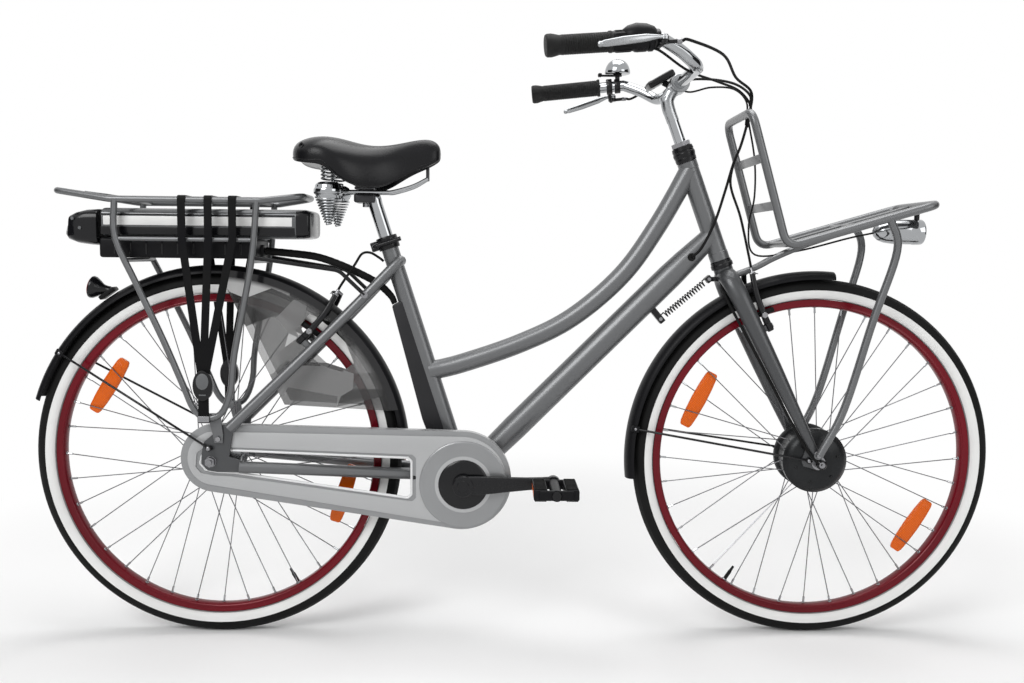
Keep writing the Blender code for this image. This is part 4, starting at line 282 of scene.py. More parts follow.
def smokeFinish(name):
    # see-through panel in flat patches of five tones, black and solid toward the mudguard
    look = {
        "turn": 28, "stretch": (1.0, 0.0, 1.7), "patches": 11.0, "darkFrom": 0.336, "darkTo": 0.346
    }
    toneStops = ((0.0, 0.05), (0.22, 0.13), (0.48, 0.22), (0.78, 0.66), (0.9, 0.1))
    settings = {"Specular IOR Level": 0.3, "Roughness": 0.16, "Coat Weight": 0.2}
    made, nodes, links, shader = newMaterial(name, settings)
    made.diffuse_color = (0.25, 0.26, 0.27, 0.6)
    cells = addNode(nodes, "TexVoronoi", {"Scale": look["patches"]})
    slant = (0, math.radians(look["turn"]), 0)
    objectPlace(nodes, links, cells, Rotation=slant, Scale=look["stretch"])
    split = addNode(nodes, "SeparateColor")
    links.new(cells.outputs["Color"], split.inputs["Color"])
    tones = addNode(nodes, "ValToRGB")
    tones.color_ramp.interpolation = "CONSTANT"
    stops = tones.color_ramp.elements
    for i, (where, value) in enumerate(toneStops):
        stop = stops[i] if i < 2 else stops.new(where)
        stop.position = where
        stop.color = (value, value, value, 1)
    links.new(split.outputs["Red"], tones.inputs["Fac"])
    reach = axleReach(nodes, links, (rearX, 0, 0.351))
    shade = spreadOf(nodes, links, reach, 0.0, 1.0, look["darkFrom"], look["darkTo"])
    mix = addNode(nodes, "Mix", {"B": (0.008, 0.008, 0.009, 1)}, data_type="RGBA")
    links.new(shade, mix.inputs["Factor"])
    links.new(tones.outputs["Color"], mix.inputs["A"])
    links.new(mix.outputs["Result"], shader.inputs["Base Color"])
    solid = spreadOf(nodes, links, split.outputs["Green"], 0.4, 0.74)
    links.new(mathOf(nodes, links, "MAXIMUM", solid, shade), shader.inputs["Alpha"])
    return made


def roundFinish(name, look):
    # cuts or ribs that follow a turned piece round through its own map
    settings = {"Roughness": look["rough"], "Specular IOR Level": look["shine"]}
    made, nodes, links, shader = newMaterial(name, settings, (0.02, 0.02, 0.02))
    chart = addNode(nodes, "UVMap", uv_map="round")
    ribs = addNode(nodes, "TexWave", {"Scale": look["scale"]}, **look["wave"])
    links.new(chart.outputs["UV"], ribs.inputs["Vector"])
    colour = mixOf(nodes, links, ribs.outputs["Fac"], (0.008, 0.008, 0.008), (look["pale"],) * 3)
    links.new(colour, shader.inputs["Base Color"])
    if "roughTo" in look:
        grain = objectNoise(nodes, links, 600.0)
        roughness = spreadOf(nodes, links, grain, look["rough"], look["roughTo"])
        links.new(roughness, shader.inputs["Roughness"])
    bumpOf(nodes, links, shader, ribs.outputs["Fac"], look["bump"], look["depth"])
    return made


treadLook = {
    "wave": {"bands_direction": "X", "wave_profile": "TRI"}, "scale": 42.0, "pale": 0.016,
    "rough": 0.5, "roughTo": 0.68, "shine": 0.16, "bump": 0.6, "depth": 0.0012
}
gripLook = {
    "wave": {"bands_direction": "DIAGONAL"}, "scale": 130.0, "pale": 0.022, "rough": 0.5,
    "shine": 0.18, "bump": 0.7, "depth": 0.001
}
finishes["reflector"] = prismFinish("reflector", (0.62, 0.085, 0.002), (0.84, 0.19, 0.004))
finishes["lampPrism"] = prismFinish("lampPrism", (0.75, 0.76, 0.78), (0.92, 0.93, 0.95))
finishes["vinyl"] = vinylFinish("vinyl")
finishes["smoke"] = smokeFinish("smoke")
finishes["tread"] = roundFinish("tread", treadLook)
finishes["gripRubber"] = roundFinish("gripRubber", gripLook)
print("scene: materials ready")


# shaping tools

def at(x, z, y=0.0):
    # x counted from the rear axle
    return Vector((x + rearX, y, z))


def run(side, *spots):
    # the same for a row of x, z, y, with y to the given side
    return [at(x, z, side * y) for x, z, y in spots]


def clampProfile(bore, shoulder, outer, half, flat):
    # a clamp ring round the bar, its outer edges broken
    return [
        (bore, -half), (shoulder, -half), (outer, -flat), (outer, flat), (shoulder, half),
        (bore, half)
    ]


def toward(centre, axis):
    turn = zAxis.rotation_difference(Vector(axis).normalized())
    return Matrix.Translation(centre) @ turn.to_matrix().to_4x4()


def flowing(points, steps=6):
    # a smooth curve through the points
    points = [Vector(p) for p in points]
    ends = [2 * points[0] - points[1], *points, 2 * points[-1] - points[-2]]
    path = []
    for i in range(len(points) - 1):
        a, b, c, d = ends[i : i + 4]
        bend, twist = 2 * a - 5 * b + 4 * c - d, 3 * b - a - 3 * c + d
        for step in range(steps):
            t = step / steps
            path.append(0.5 * (2 * b + (c - a) * t + bend * t * t + twist * t**3))
    return [*path, points[-1]]


def rounded(points, radius, steps=6, closed=False):
    points = [Vector(p) for p in points]
    path = []
    for i, corner in enumerate(points):
        if not closed and i in (0, len(points) - 1):
            path.append(corner)
            continue
        before = (points[i - 1] - corner).normalized()
        after = (points[(i + 1) % len(points)] - corner).normalized()
        reach = radius / math.tan(before.angle(after) / 2)
        start, end = corner + reach * before, corner + reach * after
        for step in range(steps + 1):
            t = step / steps
            path.append((1 - t) ** 2 * start + 2 * t * (1 - t) * corner + t * t * end)
    return path


def circlePoints(cx, cz, radius, steps, start=0.0, end=360.0):
    full = abs(end - start) >= 360
    count = steps if full else steps + 1
    angles = [math.radians(start + (end - start) * i / steps) for i in range(count)]
    return [(cx + radius * math.cos(a), cz + radius * math.sin(a)) for a in angles]


def beltOutline(rear, rearRadius, front, frontRadius, steps=(26, 44)):
    heading = math.atan2(front[1] - rear[1], front[0] - rear[0])
    lean = math.asin((frontRadius - rearRadius) / math.dist(rear, front))
    top = math.degrees(heading + math.pi / 2 + lean)
    low = math.degrees(heading - math.pi / 2 - lean)
    rearArc = circlePoints(*rear, rearRadius, steps[0], top, low + 360)
    return rearArc + circlePoints(*front, frontRadius, steps[1], low, top)


def coil(start, end, curls, firstRadius, lastRadius, perCurl=20, lead=0.0):
    axis = (end - start).normalized()
    side = axis.orthogonal().normalized()
    other = axis.cross(side)
    count = int(curls * perCurl)
    path = []
    for i in range(count + 1):
        t = i / count
        angle = math.tau * curls * t
        radius = firstRadius + (lastRadius - firstRadius) * t
        path.append(
            start + (end - start) * t + radius * (math.cos(angle) * side + math.sin(angle) * other)
        )
    if lead:
        path = [path[0] - lead * axis, *path, path[-1] + lead * axis]
    return path


def onWheel(axle, radius, degrees, y=0.0):
    angle = math.radians(degrees)
    return axle + Vector((radius * math.cos(angle), y, radius * math.sin(angle)))


def spokeWay(degrees):
    # a unit step away from an axle
    return onWheel(Vector((0, 0, 0)), 1.0, degrees)


def atRadius(start, end, axle, radius):
    way, off = end - start, start - axle
    a, b, c = way.dot(way), 2 * way.dot(off), off.dot(off) - radius**2
    reach = math.sqrt(b * b - 4 * a * c)
    hits = [t for t in ((-b - reach) / (2 * a), (-b + reach) / (2 * a)) if 0 <= t <= 1]
    return start + hits[0] * way


def stations(points, side=None, closed=False):
    # frames along a path that twist as little as they can
    points = [Vector(p) for p in points]
    last = len(points) - 1
    if closed:
        spans = [points[(i + 1) % (last + 1)] - points[i - 1] for i in range(last + 1)]
    else:
        spans = [points[min(i + 1, last)] - points[max(i - 1, 0)] for i in range(last + 1)]
    ways = [span.normalized() for span in spans]
    side = ways[0].orthogonal().normalized() if side is None else Vector(side)
    made = []
    for point, heading in zip(points, ways):
        side = (side - side.dot(heading) * heading).normalized()
        other = heading.cross(side)
        turn = Matrix((side, other, heading)).transposed().to_4x4()
        made.append(Matrix.Translation(point) @ turn)
    return made


class Piece:
    # one object in the making: a shape is made in bm, then joins the whole with its finish

    def __init__(self, name):
        self.name = name
        self.bm = bmesh.new()
        self.whole = bmesh.new()
        self.looks = []

    def lookNumber(self, finish):
        if finish not in self.looks:
            self.looks.append(finish)
        return self.looks.index(finish)

    def settle(self, finish, matrix=None, bands=()):
        # bands of another finish go by distance from the local Z axis
        plain = self.lookNumber(finish)
        banded = [(low, high, self.lookNumber(look)) for low, high, look in bands]
        for face in self.bm.faces:
            reach = face.calc_center_median().xy.length
            face.material_index = next(
                (number for low, high, number in banded if low < reach < high), plain
            )
        if matrix is not None:
            bmesh.ops.transform(self.bm, matrix=matrix, verts=self.bm.verts)
        scratch = bpy.data.meshes.new("scratch")
        self.bm.to_mesh(scratch)
        self.whole.from_mesh(scratch)
        bpy.data.meshes.remove(scratch)
        self.bm.free()
        self.bm = bmesh.new()

    def roundEdges(self, offset, segments=2, least=40):
        # bevels the corners of the shape in hand
        if not offset:
            return
        bmesh.ops.recalc_face_normals(self.bm, faces=self.bm.faces[:])
        sharp = [
            e for e in self.bm.edges
            if len(e.link_faces) == 2 and e.calc_face_angle(0.0) > math.radians(least)
        ]
        bmesh.ops.bevel(
            self.bm, geom=sharp, offset=offset, segments=segments, profile=0.5, affect="EDGES",
            material=-1, clamp_overlap=True
        )

    def tube(self, points, radius, finish, sides=16, square=2.0, side=None, closed=False):
        frames = stations(points, side, closed)
        radii = radius if isinstance(radius, (list, tuple)) else [radius] * len(frames)
        radii = [r if isinstance(r, tuple) else (r, r) for r in radii]
        frames = [f @ Matrix.Diagonal((*r, 1, 1)) for f, r in zip(frames, radii)]
        ring = bmesh.ops.create_circle(self.bm, segments=sides, radius=1.0)["verts"]
        for vert in ring:
            x, y = vert.co.x, vert.co.y
            vert.co.x = math.copysign(abs(x) ** (2 / square), x)
            vert.co.y = math.copysign(abs(y) ** (2 / square), y)
        bmesh.ops.transform(self.bm, matrix=frames[0], verts=ring)
        edges = first = self.bm.edges[:]
        if not closed:
            bmesh.ops.edgeloop_fill(self.bm, edges=edges)
        for before, after in zip(frames, frames[1:]):
            made = bmesh.ops.extrude_edge_only(self.bm, edges=edges)["geom"]
            verts = [g for g in made if isinstance(g, bmesh.types.BMVert)]
            edges = [g for g in made if isinstance(g, bmesh.types.BMEdge)]
            bmesh.ops.transform(self.bm, matrix=after @ before.inverted(), verts=verts)
        if closed:
            bmesh.ops.bridge_loops(self.bm, edges=edges + first)
        else:
            bmesh.ops.edgeloop_fill(self.bm, edges=edges)
        self.settle(finish)

    def bent(self, points, steps, *look, **more):
        # a tube along a smooth curve through the points
        self.tube(flowing(points, steps), *look, **more)

    def turned(self, profile, centre, axis, finish, steps=48, ring=False, chart=False, bands=()):
        verts = [self.bm.verts.new((r, 0, h)) for r, h in profile]
        pairs = list(zip(verts, verts[1:]))
        if ring:
            pairs.append((verts[-1], verts[0]))
        edges = [self.bm.edges.new(pair) for pair in pairs]
        bmesh.ops.spin(
            self.bm, geom=verts + edges, axis=(0, 0, 1), cent=(0, 0, 0), dvec=(0, 0, 0),
            angle=math.tau, steps=steps, use_merge=True
        )
        poles = [v for v in self.bm.verts if v.co.xy.length < 1e-7]
        if poles:
            bmesh.ops.remove_doubles(self.bm, verts=poles, dist=1e-6)
        if chart:
            # once round is a whole count, so that the pattern meets itself
            layer = self.bm.loops.layers.uv.new("round")
            rounds = round(20 * profile[0][0] / 0.31 + 1)
            for face in self.bm.faces:
                middle = face.calc_center_median()
                base = math.atan2(middle.y, middle.x)
                for corner in face.loops:
                    spot = corner.vert.co
                    swing = (math.atan2(spot.y, spot.x) - base + math.pi) % math.tau - math.pi
                    corner[layer].uv = ((base + swing) / math.tau * rounds, spot.z * 2)
        self.settle(finish, toward(centre, axis), bands)

    def rod(self, start, end, radius, finish, sides=20, endRadius=None, edge=0.0004):
        start, end = Vector(start), Vector(end)
        endRadius = radius if endRadius is None else endRadius
        bmesh.ops.create_cone(
            self.bm, cap_ends=True, segments=sides, radius1=radius, radius2=endRadius,
            depth=(end - start).length
        )
        if edge:
            self.roundEdges(min(edge, 0.25 * radius), 1, 50)
        self.settle(finish, toward((start + end) / 2, end - start))

    def across(self, centre, near, far, radius, finish, sides=20, **more):
        # a rod along Y from near to far of its centre
        self.rod(centre + near * yAxis, centre + far * yAxis, radius, finish, sides, **more)

    def block(self, centre, size, finish, along=(1, 0, 0), edge=0.001, segments=2):
        along = Vector(along).normalized()
        up = along.cross(yAxis).normalized()
        turn = Matrix((along, up.cross(along), up)).transposed().to_4x4()
        bmesh.ops.create_cube(self.bm, size=1.0, matrix=Matrix.Diagonal((*size, 1)))
        self.roundEdges(min(edge, 0.45 * min(size)), segments)
        self.settle(finish, Matrix.Translation(centre) @ turn)

    def plate(self, outline, yFrom, yTo, finish, holes=(), edge=0.0006):
        edges = []
        for loop in (outline, *holes):
            verts = [self.bm.verts.new((x + rearX, yFrom, z)) for x, z in loop]
            edges += [self.bm.edges.new((verts[i - 1], verts[i])) for i in range(len(verts))]
        flat = bmesh.ops.triangle_fill(
            self.bm, edges=edges, use_beauty=True, use_dissolve=False
        )["geom"]
        faces = [g for g in flat if isinstance(g, bmesh.types.BMFace)]
        made = bmesh.ops.extrude_face_region(self.bm, geom=faces, use_keep_orig=True)["geom"]
        verts = [g for g in made if isinstance(g, bmesh.types.BMVert)]
        bmesh.ops.translate(self.bm, vec=(0, yTo - yFrom, 0), verts=verts)
        self.roundEdges(edge, 2, 60)
        self.settle(finish)

    def done(self, body, slot, *nodes, sharp=38):
        bmesh.ops.recalc_face_normals(self.whole, faces=self.whole.faces[:])
        mesh = bpy.data.meshes.new(self.name)
        self.whole.to_mesh(mesh)
        self.whole.free()
        self.bm.free()
        for look in self.looks:
            mesh.materials.append(finishes[look])
        mesh.shade_smooth()
        mesh.set_sharp_from_angle(angle=math.radians(sharp))
        made = bpy.data.objects.new(self.name, mesh)
        bpy.context.scene.collection.objects.link(made)
        if body:
            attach(made, body)
        if nodes:
            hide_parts(*nodes)
        return made


# set-out shared by many pieces

setOut = {
    "tyreRadius": 0.351, "wheelbase": 1.154, "rake": 0.0415, "forkLength": 0.4276,
    "headTube": 0.199, "bottomBracket": (0.473, 0.308), "seatTube": 0.479, "headLean": 20.5,
    "seatLean": 18.1
}
headLean, seatLean = math.radians(setOut["headLean"]), math.radians(setOut["seatLean"])
headAxis = Vector((-math.sin(headLean), 0, math.cos(headLean)))
headForward = Vector((math.cos(headLean), 0, math.sin(headLean)))
seatAxis = Vector((-math.sin(seatLean), 0, math.cos(seatLean)))
seatForward = Vector((math.cos(seatLean), 0, math.sin(seatLean)))
rearAxle = at(0, setOut["tyreRadius"])
frontAxle = at(setOut["wheelbase"], setOut["tyreRadius"])
bottomBracket = at(*setOut["bottomBracket"])
seatTop = bottomBracket + setOut["seatTube"] * seatAxis
steerFoot = frontAxle - setOut["rake"] * headForward
headLow = setOut["forkLength"]
headTop = headLow + setOut["headTube"]


def steer(s, forward=0.0, y=0.0):
    return steerFoot + s * headAxis + forward * headForward + y * yAxis


# wheels

wheelLook = {
    "spokes": 36, "spokeRadius": 0.001, "rimInner": 0.2965, "whiteFrom": 0.3142, "whiteTo": 0.33,
    "steps": 144
}
tyreSide = [
    (0.3125, 0.0112), (0.3142, 0.014), (0.3155, 0.0158), (0.3185, 0.0182), (0.3225, 0.0198),
    (0.327, 0.0206), (0.33, 0.0207), (0.3306, 0.0211), (0.3345, 0.0205), (0.3385, 0.019),
    (0.3422, 0.017), (0.345, 0.0142), (0.3462, 0.0128), (0.3456, 0.0118), (0.3482, 0.0096),
    (0.35, 0.006), (0.3492, 0.0052), (0.3506, 0.003), (0.351, 0.0)
]
rimSide = [
    (0.3119, 0.0125), (0.3112, 0.0125), (0.31, 0.0119), (0.302, 0.0119), (0.3005, 0.0125),
    (0.299, 0.0118), (0.2973, 0.0085), (0.2965, 0.005)
]


def spokeEnds(axle, i, flange, flangeY, lean):
    side = 1 if i % 2 else -1
    hand = 1 if i // 2 % 2 else -1
    degrees = 360 / wheelLook["spokes"] * i
    root = onWheel(axle, flange - 0.003, degrees + hand * lean, side * (flangeY + hand * 0.0018))
    return root, onWheel(axle, wheelLook["rimInner"] + 0.001, degrees, side * 0.003), side


def mirroredProfile(side):
    return [(r, -y) for r, y in side] + [(r, y) for r, y in side[::-1] if y > 0]


def addTyreAndRim(word, axle, body):
    tyre = Piece(word + "TyreDetail")
    lines = [
        (0.3125, 0.3142, "wallLine"), (wheelLook["whiteFrom"], wheelLook["whiteTo"], "whiteWall"),
        (0.344, 0.352, "tread")
    ]
    tyre.turned(
        mirroredProfile(tyreSide), axle, yAxis, "rubber", wheelLook["steps"], True, True, lines
    )
    tyre.done(body, "tyre", word + "_tire", sharp=50)
    rim = Piece(word + "RimDetail")
    rim.turned(mirroredProfile(rimSide), axle, yAxis, "rimRed", wheelLook["steps"], True)
    for i in range(wheelLook["spokes"]):
        hole = onWheel(
            axle, wheelLook["rimInner"] - 0.0004, 360 / wheelLook["spokes"] * i,
            (1 if i % 2 else -1) * 0.003
        )
        out = (hole - axle).normalized()
        rim.rod(hole - 0.0008 * out, hole + 0.001 * out, 0.0036, "steel", 10)
    rim.done(body, "rim_red", word + "_rim")


def addSpokes(piece, axle, flange, flangeY, lean):
    for i in range(wheelLook["spokes"]):
        root, tip, side = spokeEnds(axle, i, flange, flangeY, lean)
        way = (tip - root).normalized()
        piece.rod(root, tip - 0.008 * way, wheelLook["spokeRadius"], "spokeSteel", 7, edge=0)
        piece.rod(tip - 0.013 * way, tip, 0.0021, "chrome", 8, 0.0018)
        hand = 1 if i // 2 % 2 else -1
        piece.across(root, -0.0012 * side * hand, 0.0012 * side * hand, 0.0021, "chrome", 8, edge=0)


def addReflector(name, axle, degrees, body):
    look = {"length": 0.118, "width": 0.03, "thick": 0.0085, "radius": 0.25}
    centre = onWheel(axle, look["radius"], degrees)
    tangent = spokeWay(degrees + 90)
    out = spokeWay(degrees)
    piece = Piece(name.replace("_r", "R").replace("_a", "A").replace("_b", "B") + "Detail")
    halves = ((0.0, 1.0), (0.5, 0.93), (0.86, 0.8), (0.97, 0.66), (1.0, 0.5))
    stops = [(-reach, wide) for reach, wide in halves[:0:-1]] + list(halves)
    for grow, thick in ((1.0, look["thick"]), (0.86, look["thick"] + 0.0016)):
        path = [centre + reach * grow * look["length"] / 2 * tangent for reach, wide in stops]
        sizes = [
            (wide * grow * look["width"] / 2, thick / 2 * min(1.0, wide + 0.12))
            for reach, wide in stops
        ]
        piece.tube(path, sizes, "reflector", 28, 5.0, side=out)
    for end in (-1, 1):
        spot = centre + end * 0.04 * tangent
        piece.across(spot, -0.0052, 0.0052, 0.0046, "reflector", 20)
    piece.done(body, "reflector_orange", name)


for word, axle, body, angles in (
    ("front", frontAxle, "front_wheel", (153.0, -33.0)),
    ("rear", rearAxle, "rear_wheel", (148.0, -18.0))
):
    addTyreAndRim(word, axle, body)
    for letter, degrees in zip("ab", angles):
        addReflector(f"{word}_reflector_{letter}", axle, degrees, body)

motorLook = {"radius": 0.0625, "flangeY": 0.026, "screws": 6, "screwRing": 0.0415}
motor = Piece("frontMotorDetail")
motorSide = [
    (0.0072, 0.049), (0.016, 0.049), (0.018, 0.0465), (0.03, 0.048), (0.0335, 0.0462),
    (0.048, 0.0445), (0.053, 0.0415), (0.0585, 0.0372), (0.0605, 0.034), (0.0625, 0.0325),
    (0.0625, 0.0225), (0.061, 0.0205), (0.0578, 0.0198), (0.0572, 0.008), (0.0572, 0.0)
]
motor.turned(mirroredProfile(motorSide), frontAxle, yAxis, "motorGrey", 72, True)
for side in (-1, 1):
    for i in range(motorLook["screws"]):
        spot = onWheel(
            frontAxle, motorLook["screwRing"], 360 / motorLook["screws"] * i + 15, side * 0.0448
        )
        motor.rod(spot, spot + side * 0.0022 * yAxis, 0.0028, "blackMetal", 12)
addSpokes(motor, frontAxle, motorLook["radius"], motorLook["flangeY"], 20.0)
motor.done("front_wheel", "black_metal", "front_hub_motor")

hubSide = [
    (0.042, 0.033), (0.046, 0.0322), (0.046, 0.0282), (0.04, 0.0262), (0.0375, 0.02), (0.037, 0.0)
]
hubNear = [(0.0062, -0.0445), (0.02, -0.0445), (0.0215, -0.038)]
hubFar = [(0.0235, 0.038), (0.0235, 0.0585), (0.021, 0.06), (0.0062, 0.06)]
hub = Piece("rearHubDetail")
hub.turned(hubNear + mirroredProfile(hubSide) + hubFar, rearAxle, yAxis, "aluminium", 64, True)
addSpokes(hub, rearAxle, 0.046, 0.03, 40.0)
hub.done("rear_wheel", "black_metal", "rear_hub")

for name, axle, degrees, body in (
    ("frontValve", frontAxle, 237.0, "front_wheel"), ("rearValve", rearAxle, 300.0, "rear_wheel")
):
    valve = Piece(name)
    foot, tip = onWheel(axle, 0.297, degrees), onWheel(axle, 0.264, degrees)
    way = (tip - foot).normalized()
    valve.rod(foot, foot + 0.022 * way, 0.0036, "rubber", 16)
    valve.rod(foot + 0.02 * way, tip, 0.003, "blackSatin", 12, 0.0024)
    valve.rod(foot, foot + 0.003 * way, 0.0055, "steel", 6)
    valve.done(body, "rubber")
print("scene: wheels ready")


# frame tubes, with the ends of each tube spread a little where it is welded

frameLook = {
    "topTube": 0.0186, "seatTube": 0.0165, "headTube": 0.019, "shell": 0.021, "seatStay": 0.01,
    "chainStay": 0.011, "bridge": 0.006
}
brakes = {
    "rear": {
        "pivot": Vector((-0.41192, 0, 0.5799)), "up": Vector((0.71157, 0, 0.70261)),
        "out": Vector((-0.70261, 0, 0.71157)), "axle": rearAxle, "body": "rear_brake_"
    },
    "front": {
        "pivot": Vector((0.4759, 0, 0.61231)), "up": Vector((-0.44508, 0, 0.89549)),
        "out": Vector((0.89549, 0, 0.44508)), "axle": frontAxle, "body": "front_brake_"
    },
}


def brakeSpot(brake, up, out, y=0.0):
    # up along the arm and out from the boss root
    return brake["pivot"] + up * brake["up"] + (out - 0.027) * brake["out"] + y * yAxis


def addBosses(piece, brake, finish):
    for side in (-1, 1):
        y = side * 0.042
        piece.rod(brakeSpot(brake, 0, 0, y), brakeSpot(brake, 0, 0.0212, y), 0.007, finish, 20)
        piece.rod(
            brakeSpot(brake, 0, 0.0212, y), brakeSpot(brake, 0, 0.0348, y), 0.004, "steel", 14
        )


downTop = steer(headLow + 0.051)
downWay = (bottomBracket - downTop).normalized()
downSpan = (bottomBracket - downTop).length
damperLow, damperHigh = at(0.8515, 0.622), at(0.9435, 0.7)
damperWay = (damperHigh - damperLow).normalized()
damperUp = Vector((-damperWay.z, 0, damperWay.x))

tubes = Piece("frameTubes")
topPath = flowing(
    [
        steer(headLow + 0.1825), at(0.8387, 0.7959), at(0.7735, 0.7043), at(0.6796, 0.6229),
        at(0.5812, 0.5725), at(0.47, 0.533), bottomBracket + 0.219 * seatAxis
    ],
    9
)
topRadii = [
    frameLook["topTube"] + 0.0012 * max(0.0, 1 - min(i, len(topPath) - 1 - i) / 3)
    for i in range(len(topPath))
]
tubes.tube(topPath, topRadii, "framePaint", 32)
downStops = (
    (0.0, 0.019), (0.018, 0.0196), (0.045, 0.0216), (0.075, 0.0236), (0.112, 0.025), (0.25, 0.025),
    (downSpan - 0.14, 0.025), (downSpan - 0.07, 0.0232), (downSpan - 0.02, 0.0204),
    (downSpan - 0.004, 0.0204)
)
tubes.tube(
    [downTop + d * downWay for d, r in downStops], [r for d, r in downStops], "framePaint", 36
)
tubes.rod(bottomBracket, seatTop, frameLook["seatTube"], "framePaint", 36)
tubes.across(bottomBracket, -0.034, 0.034, frameLook["shell"], "framePaint", 40)
tubes.rod(steer(headLow), steer(headTop), frameLook["headTube"] - 0.0006, "framePaint", 40)
for low, high in ((headLow, headLow + 0.017), (headTop - 0.015, headTop)):
    tubes.rod(steer(low), steer(high), frameLook["headTube"], "framePaint", 40, edge=0.0009)
tubes.plate(
    [
        (0.3614, 0.65), (0.3556, 0.6561), (0.3324, 0.6436), (0.3914, 0.4231), (0.401, 0.398),
        (0.444, 0.395)
    ],
    -0.0145, 0.0145, "coverGrey", edge=0.0035
)
tubes.block(damperLow + 0.014 * damperUp, (0.012, 0.018, 0.044), "blackMetal", damperWay)
tubes.across(damperLow, -0.0095, 0.0095, 0.0038, "steel", 12)
bridgeReach = 0.3669 + gap + frameLook["bridge"]  # over the rear mudguard
bridge = atRadius(at(0.2264, 0.6025), at(0.3376, 0.7187), rearAxle, bridgeReach)
tubes.across(bridge, -0.04, 0.04, frameLook["bridge"], "framePaint", 20)
chainStay = (
    (0.0528, 0.3406, 0.0705), (0.15, 0.3345, 0.0586), (0.33, 0.323, 0.0365), (0.38, 0.3198, 0.03),
    (0.455, 0.312, 0.022)
)
seatStay = (
    (0.0359, 0.4144, 0.0775), (0.2264, 0.6025, 0.045), (0.3376, 0.7187, 0.019),
    (0.344, 0.7254, 0.009)
)
dropout = [
    (-0.017, 0.346), (-0.006, 0.334), (0.012, 0.331), (0.062, 0.331), (0.062, 0.35), (0.034, 0.36),
    (0.042, 0.408), (0.049, 0.421), (0.038, 0.431), (0.022, 0.417), (0.006, 0.404), (-0.012, 0.388),
    (-0.017, 0.366)
]
# the rear dropouts take the darker copy of the frame paint, a painted shade
for side in (-1, 1):
    tubes.bent(run(side, *chainStay), 6, frameLook["chainStay"], "framePaint", 24)
    tubes.bent(run(side, *seatStay), 7, frameLook["seatStay"], "framePaint", 24)
    tubes.plate(dropout, side * 0.0675, side * 0.0735, "shadedFramePaint", edge=0.0008)
addBosses(tubes, brakes["rear"], "framePaint")
port = downTop + 0.06 * downWay
tubes.turned(
    [(0.0, 0.004), (0.0062, 0.0034), (0.0075, 0.0012), (0.0078, 0.0), (0.0, -0.004)],
    port + Vector((0, -0.0226, 0)), (0, -1, 0), "rubber", 24
)
tubes.done("frame", "frame_paint", "main_frame")

headset = Piece("headsetCups")
headset.turned(
    [
        (0.015, -0.0145), (0.0212, -0.0145), (0.0215, -0.0128), (0.0215, -0.0075),
        (0.0208, -0.0062), (0.0202, -0.0058), (0.0198, -0.0006), (0.015, -0.0003)
    ],
    steer(headLow), headAxis, "blackMetal", 40, True
)
headset.turned(
    [
        (0.015, 0.0003), (0.0197, 0.0005), (0.0205, 0.0075), (0.02, 0.0085), (0.0214, 0.015),
        (0.0215, 0.0172), (0.0208, 0.0195), (0.0203, 0.02), (0.0203, 0.0225), (0.021, 0.0232),
        (0.0198, 0.03), (0.015, 0.03)
    ],
    steer(headTop), headAxis, "blackMetal", 40, True
)
headset.done("frame", "black_metal", "headset_lower_cup", "headset_upper_cup")

collar = Piece("seatCollarDetail")
collar.turned(
    [
        (0.0168, -0.012), (0.0196, -0.012), (0.0205, -0.0108), (0.0205, -0.002), (0.0198, 0.0),
        (0.0205, 0.002), (0.0205, 0.0108), (0.0198, 0.012), (0.0139, 0.012), (0.0139, 0.0003),
        (0.0168, 0.0003)
    ],
    seatTop, seatAxis, "blackMetal", 40, True
)
lug = seatTop - 0.026 * seatForward
collar.block(lug, (0.014, 0.02, 0.018), "blackMetal", seatForward, 0.002)
collar.across(lug, -0.019, 0.017, 0.004, "steel", 16)
collar.across(lug, 0.011, 0.0165, 0.0068, "blackMetal", 16)
collar.bent(
    [
        lug - 0.017 * yAxis, lug + 0.004 * seatForward - 0.0225 * yAxis,
        lug + 0.02 * seatForward - 0.0245 * yAxis, lug + 0.054 * seatForward - 0.026 * yAxis
    ],
    5, [(0.0046, 0.0038)] * 16, "blackMetal", 14, 2.6
)
collar.done("frame", "black_metal", "seat_collar")

spring = Piece("steeringSpringDetail")
springFrom, springTo = damperLow + 0.0113 * damperWay, damperHigh - 0.0113 * damperWay
spring.tube(coil(springFrom, springTo, 16, 0.0056, 0.0056, 16, 0.005), 0.0013, "blackMetal", 8)
made = spring.done(None, "chrome", "steering_spring")
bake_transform(made)
print("scene: frame ready")


# mudguards and their wire stays

guardLook = {"edge": 0.351, "drop": 0.0145, "wall": 0.0014, "half": 0.0262, "wire": 0.0022}


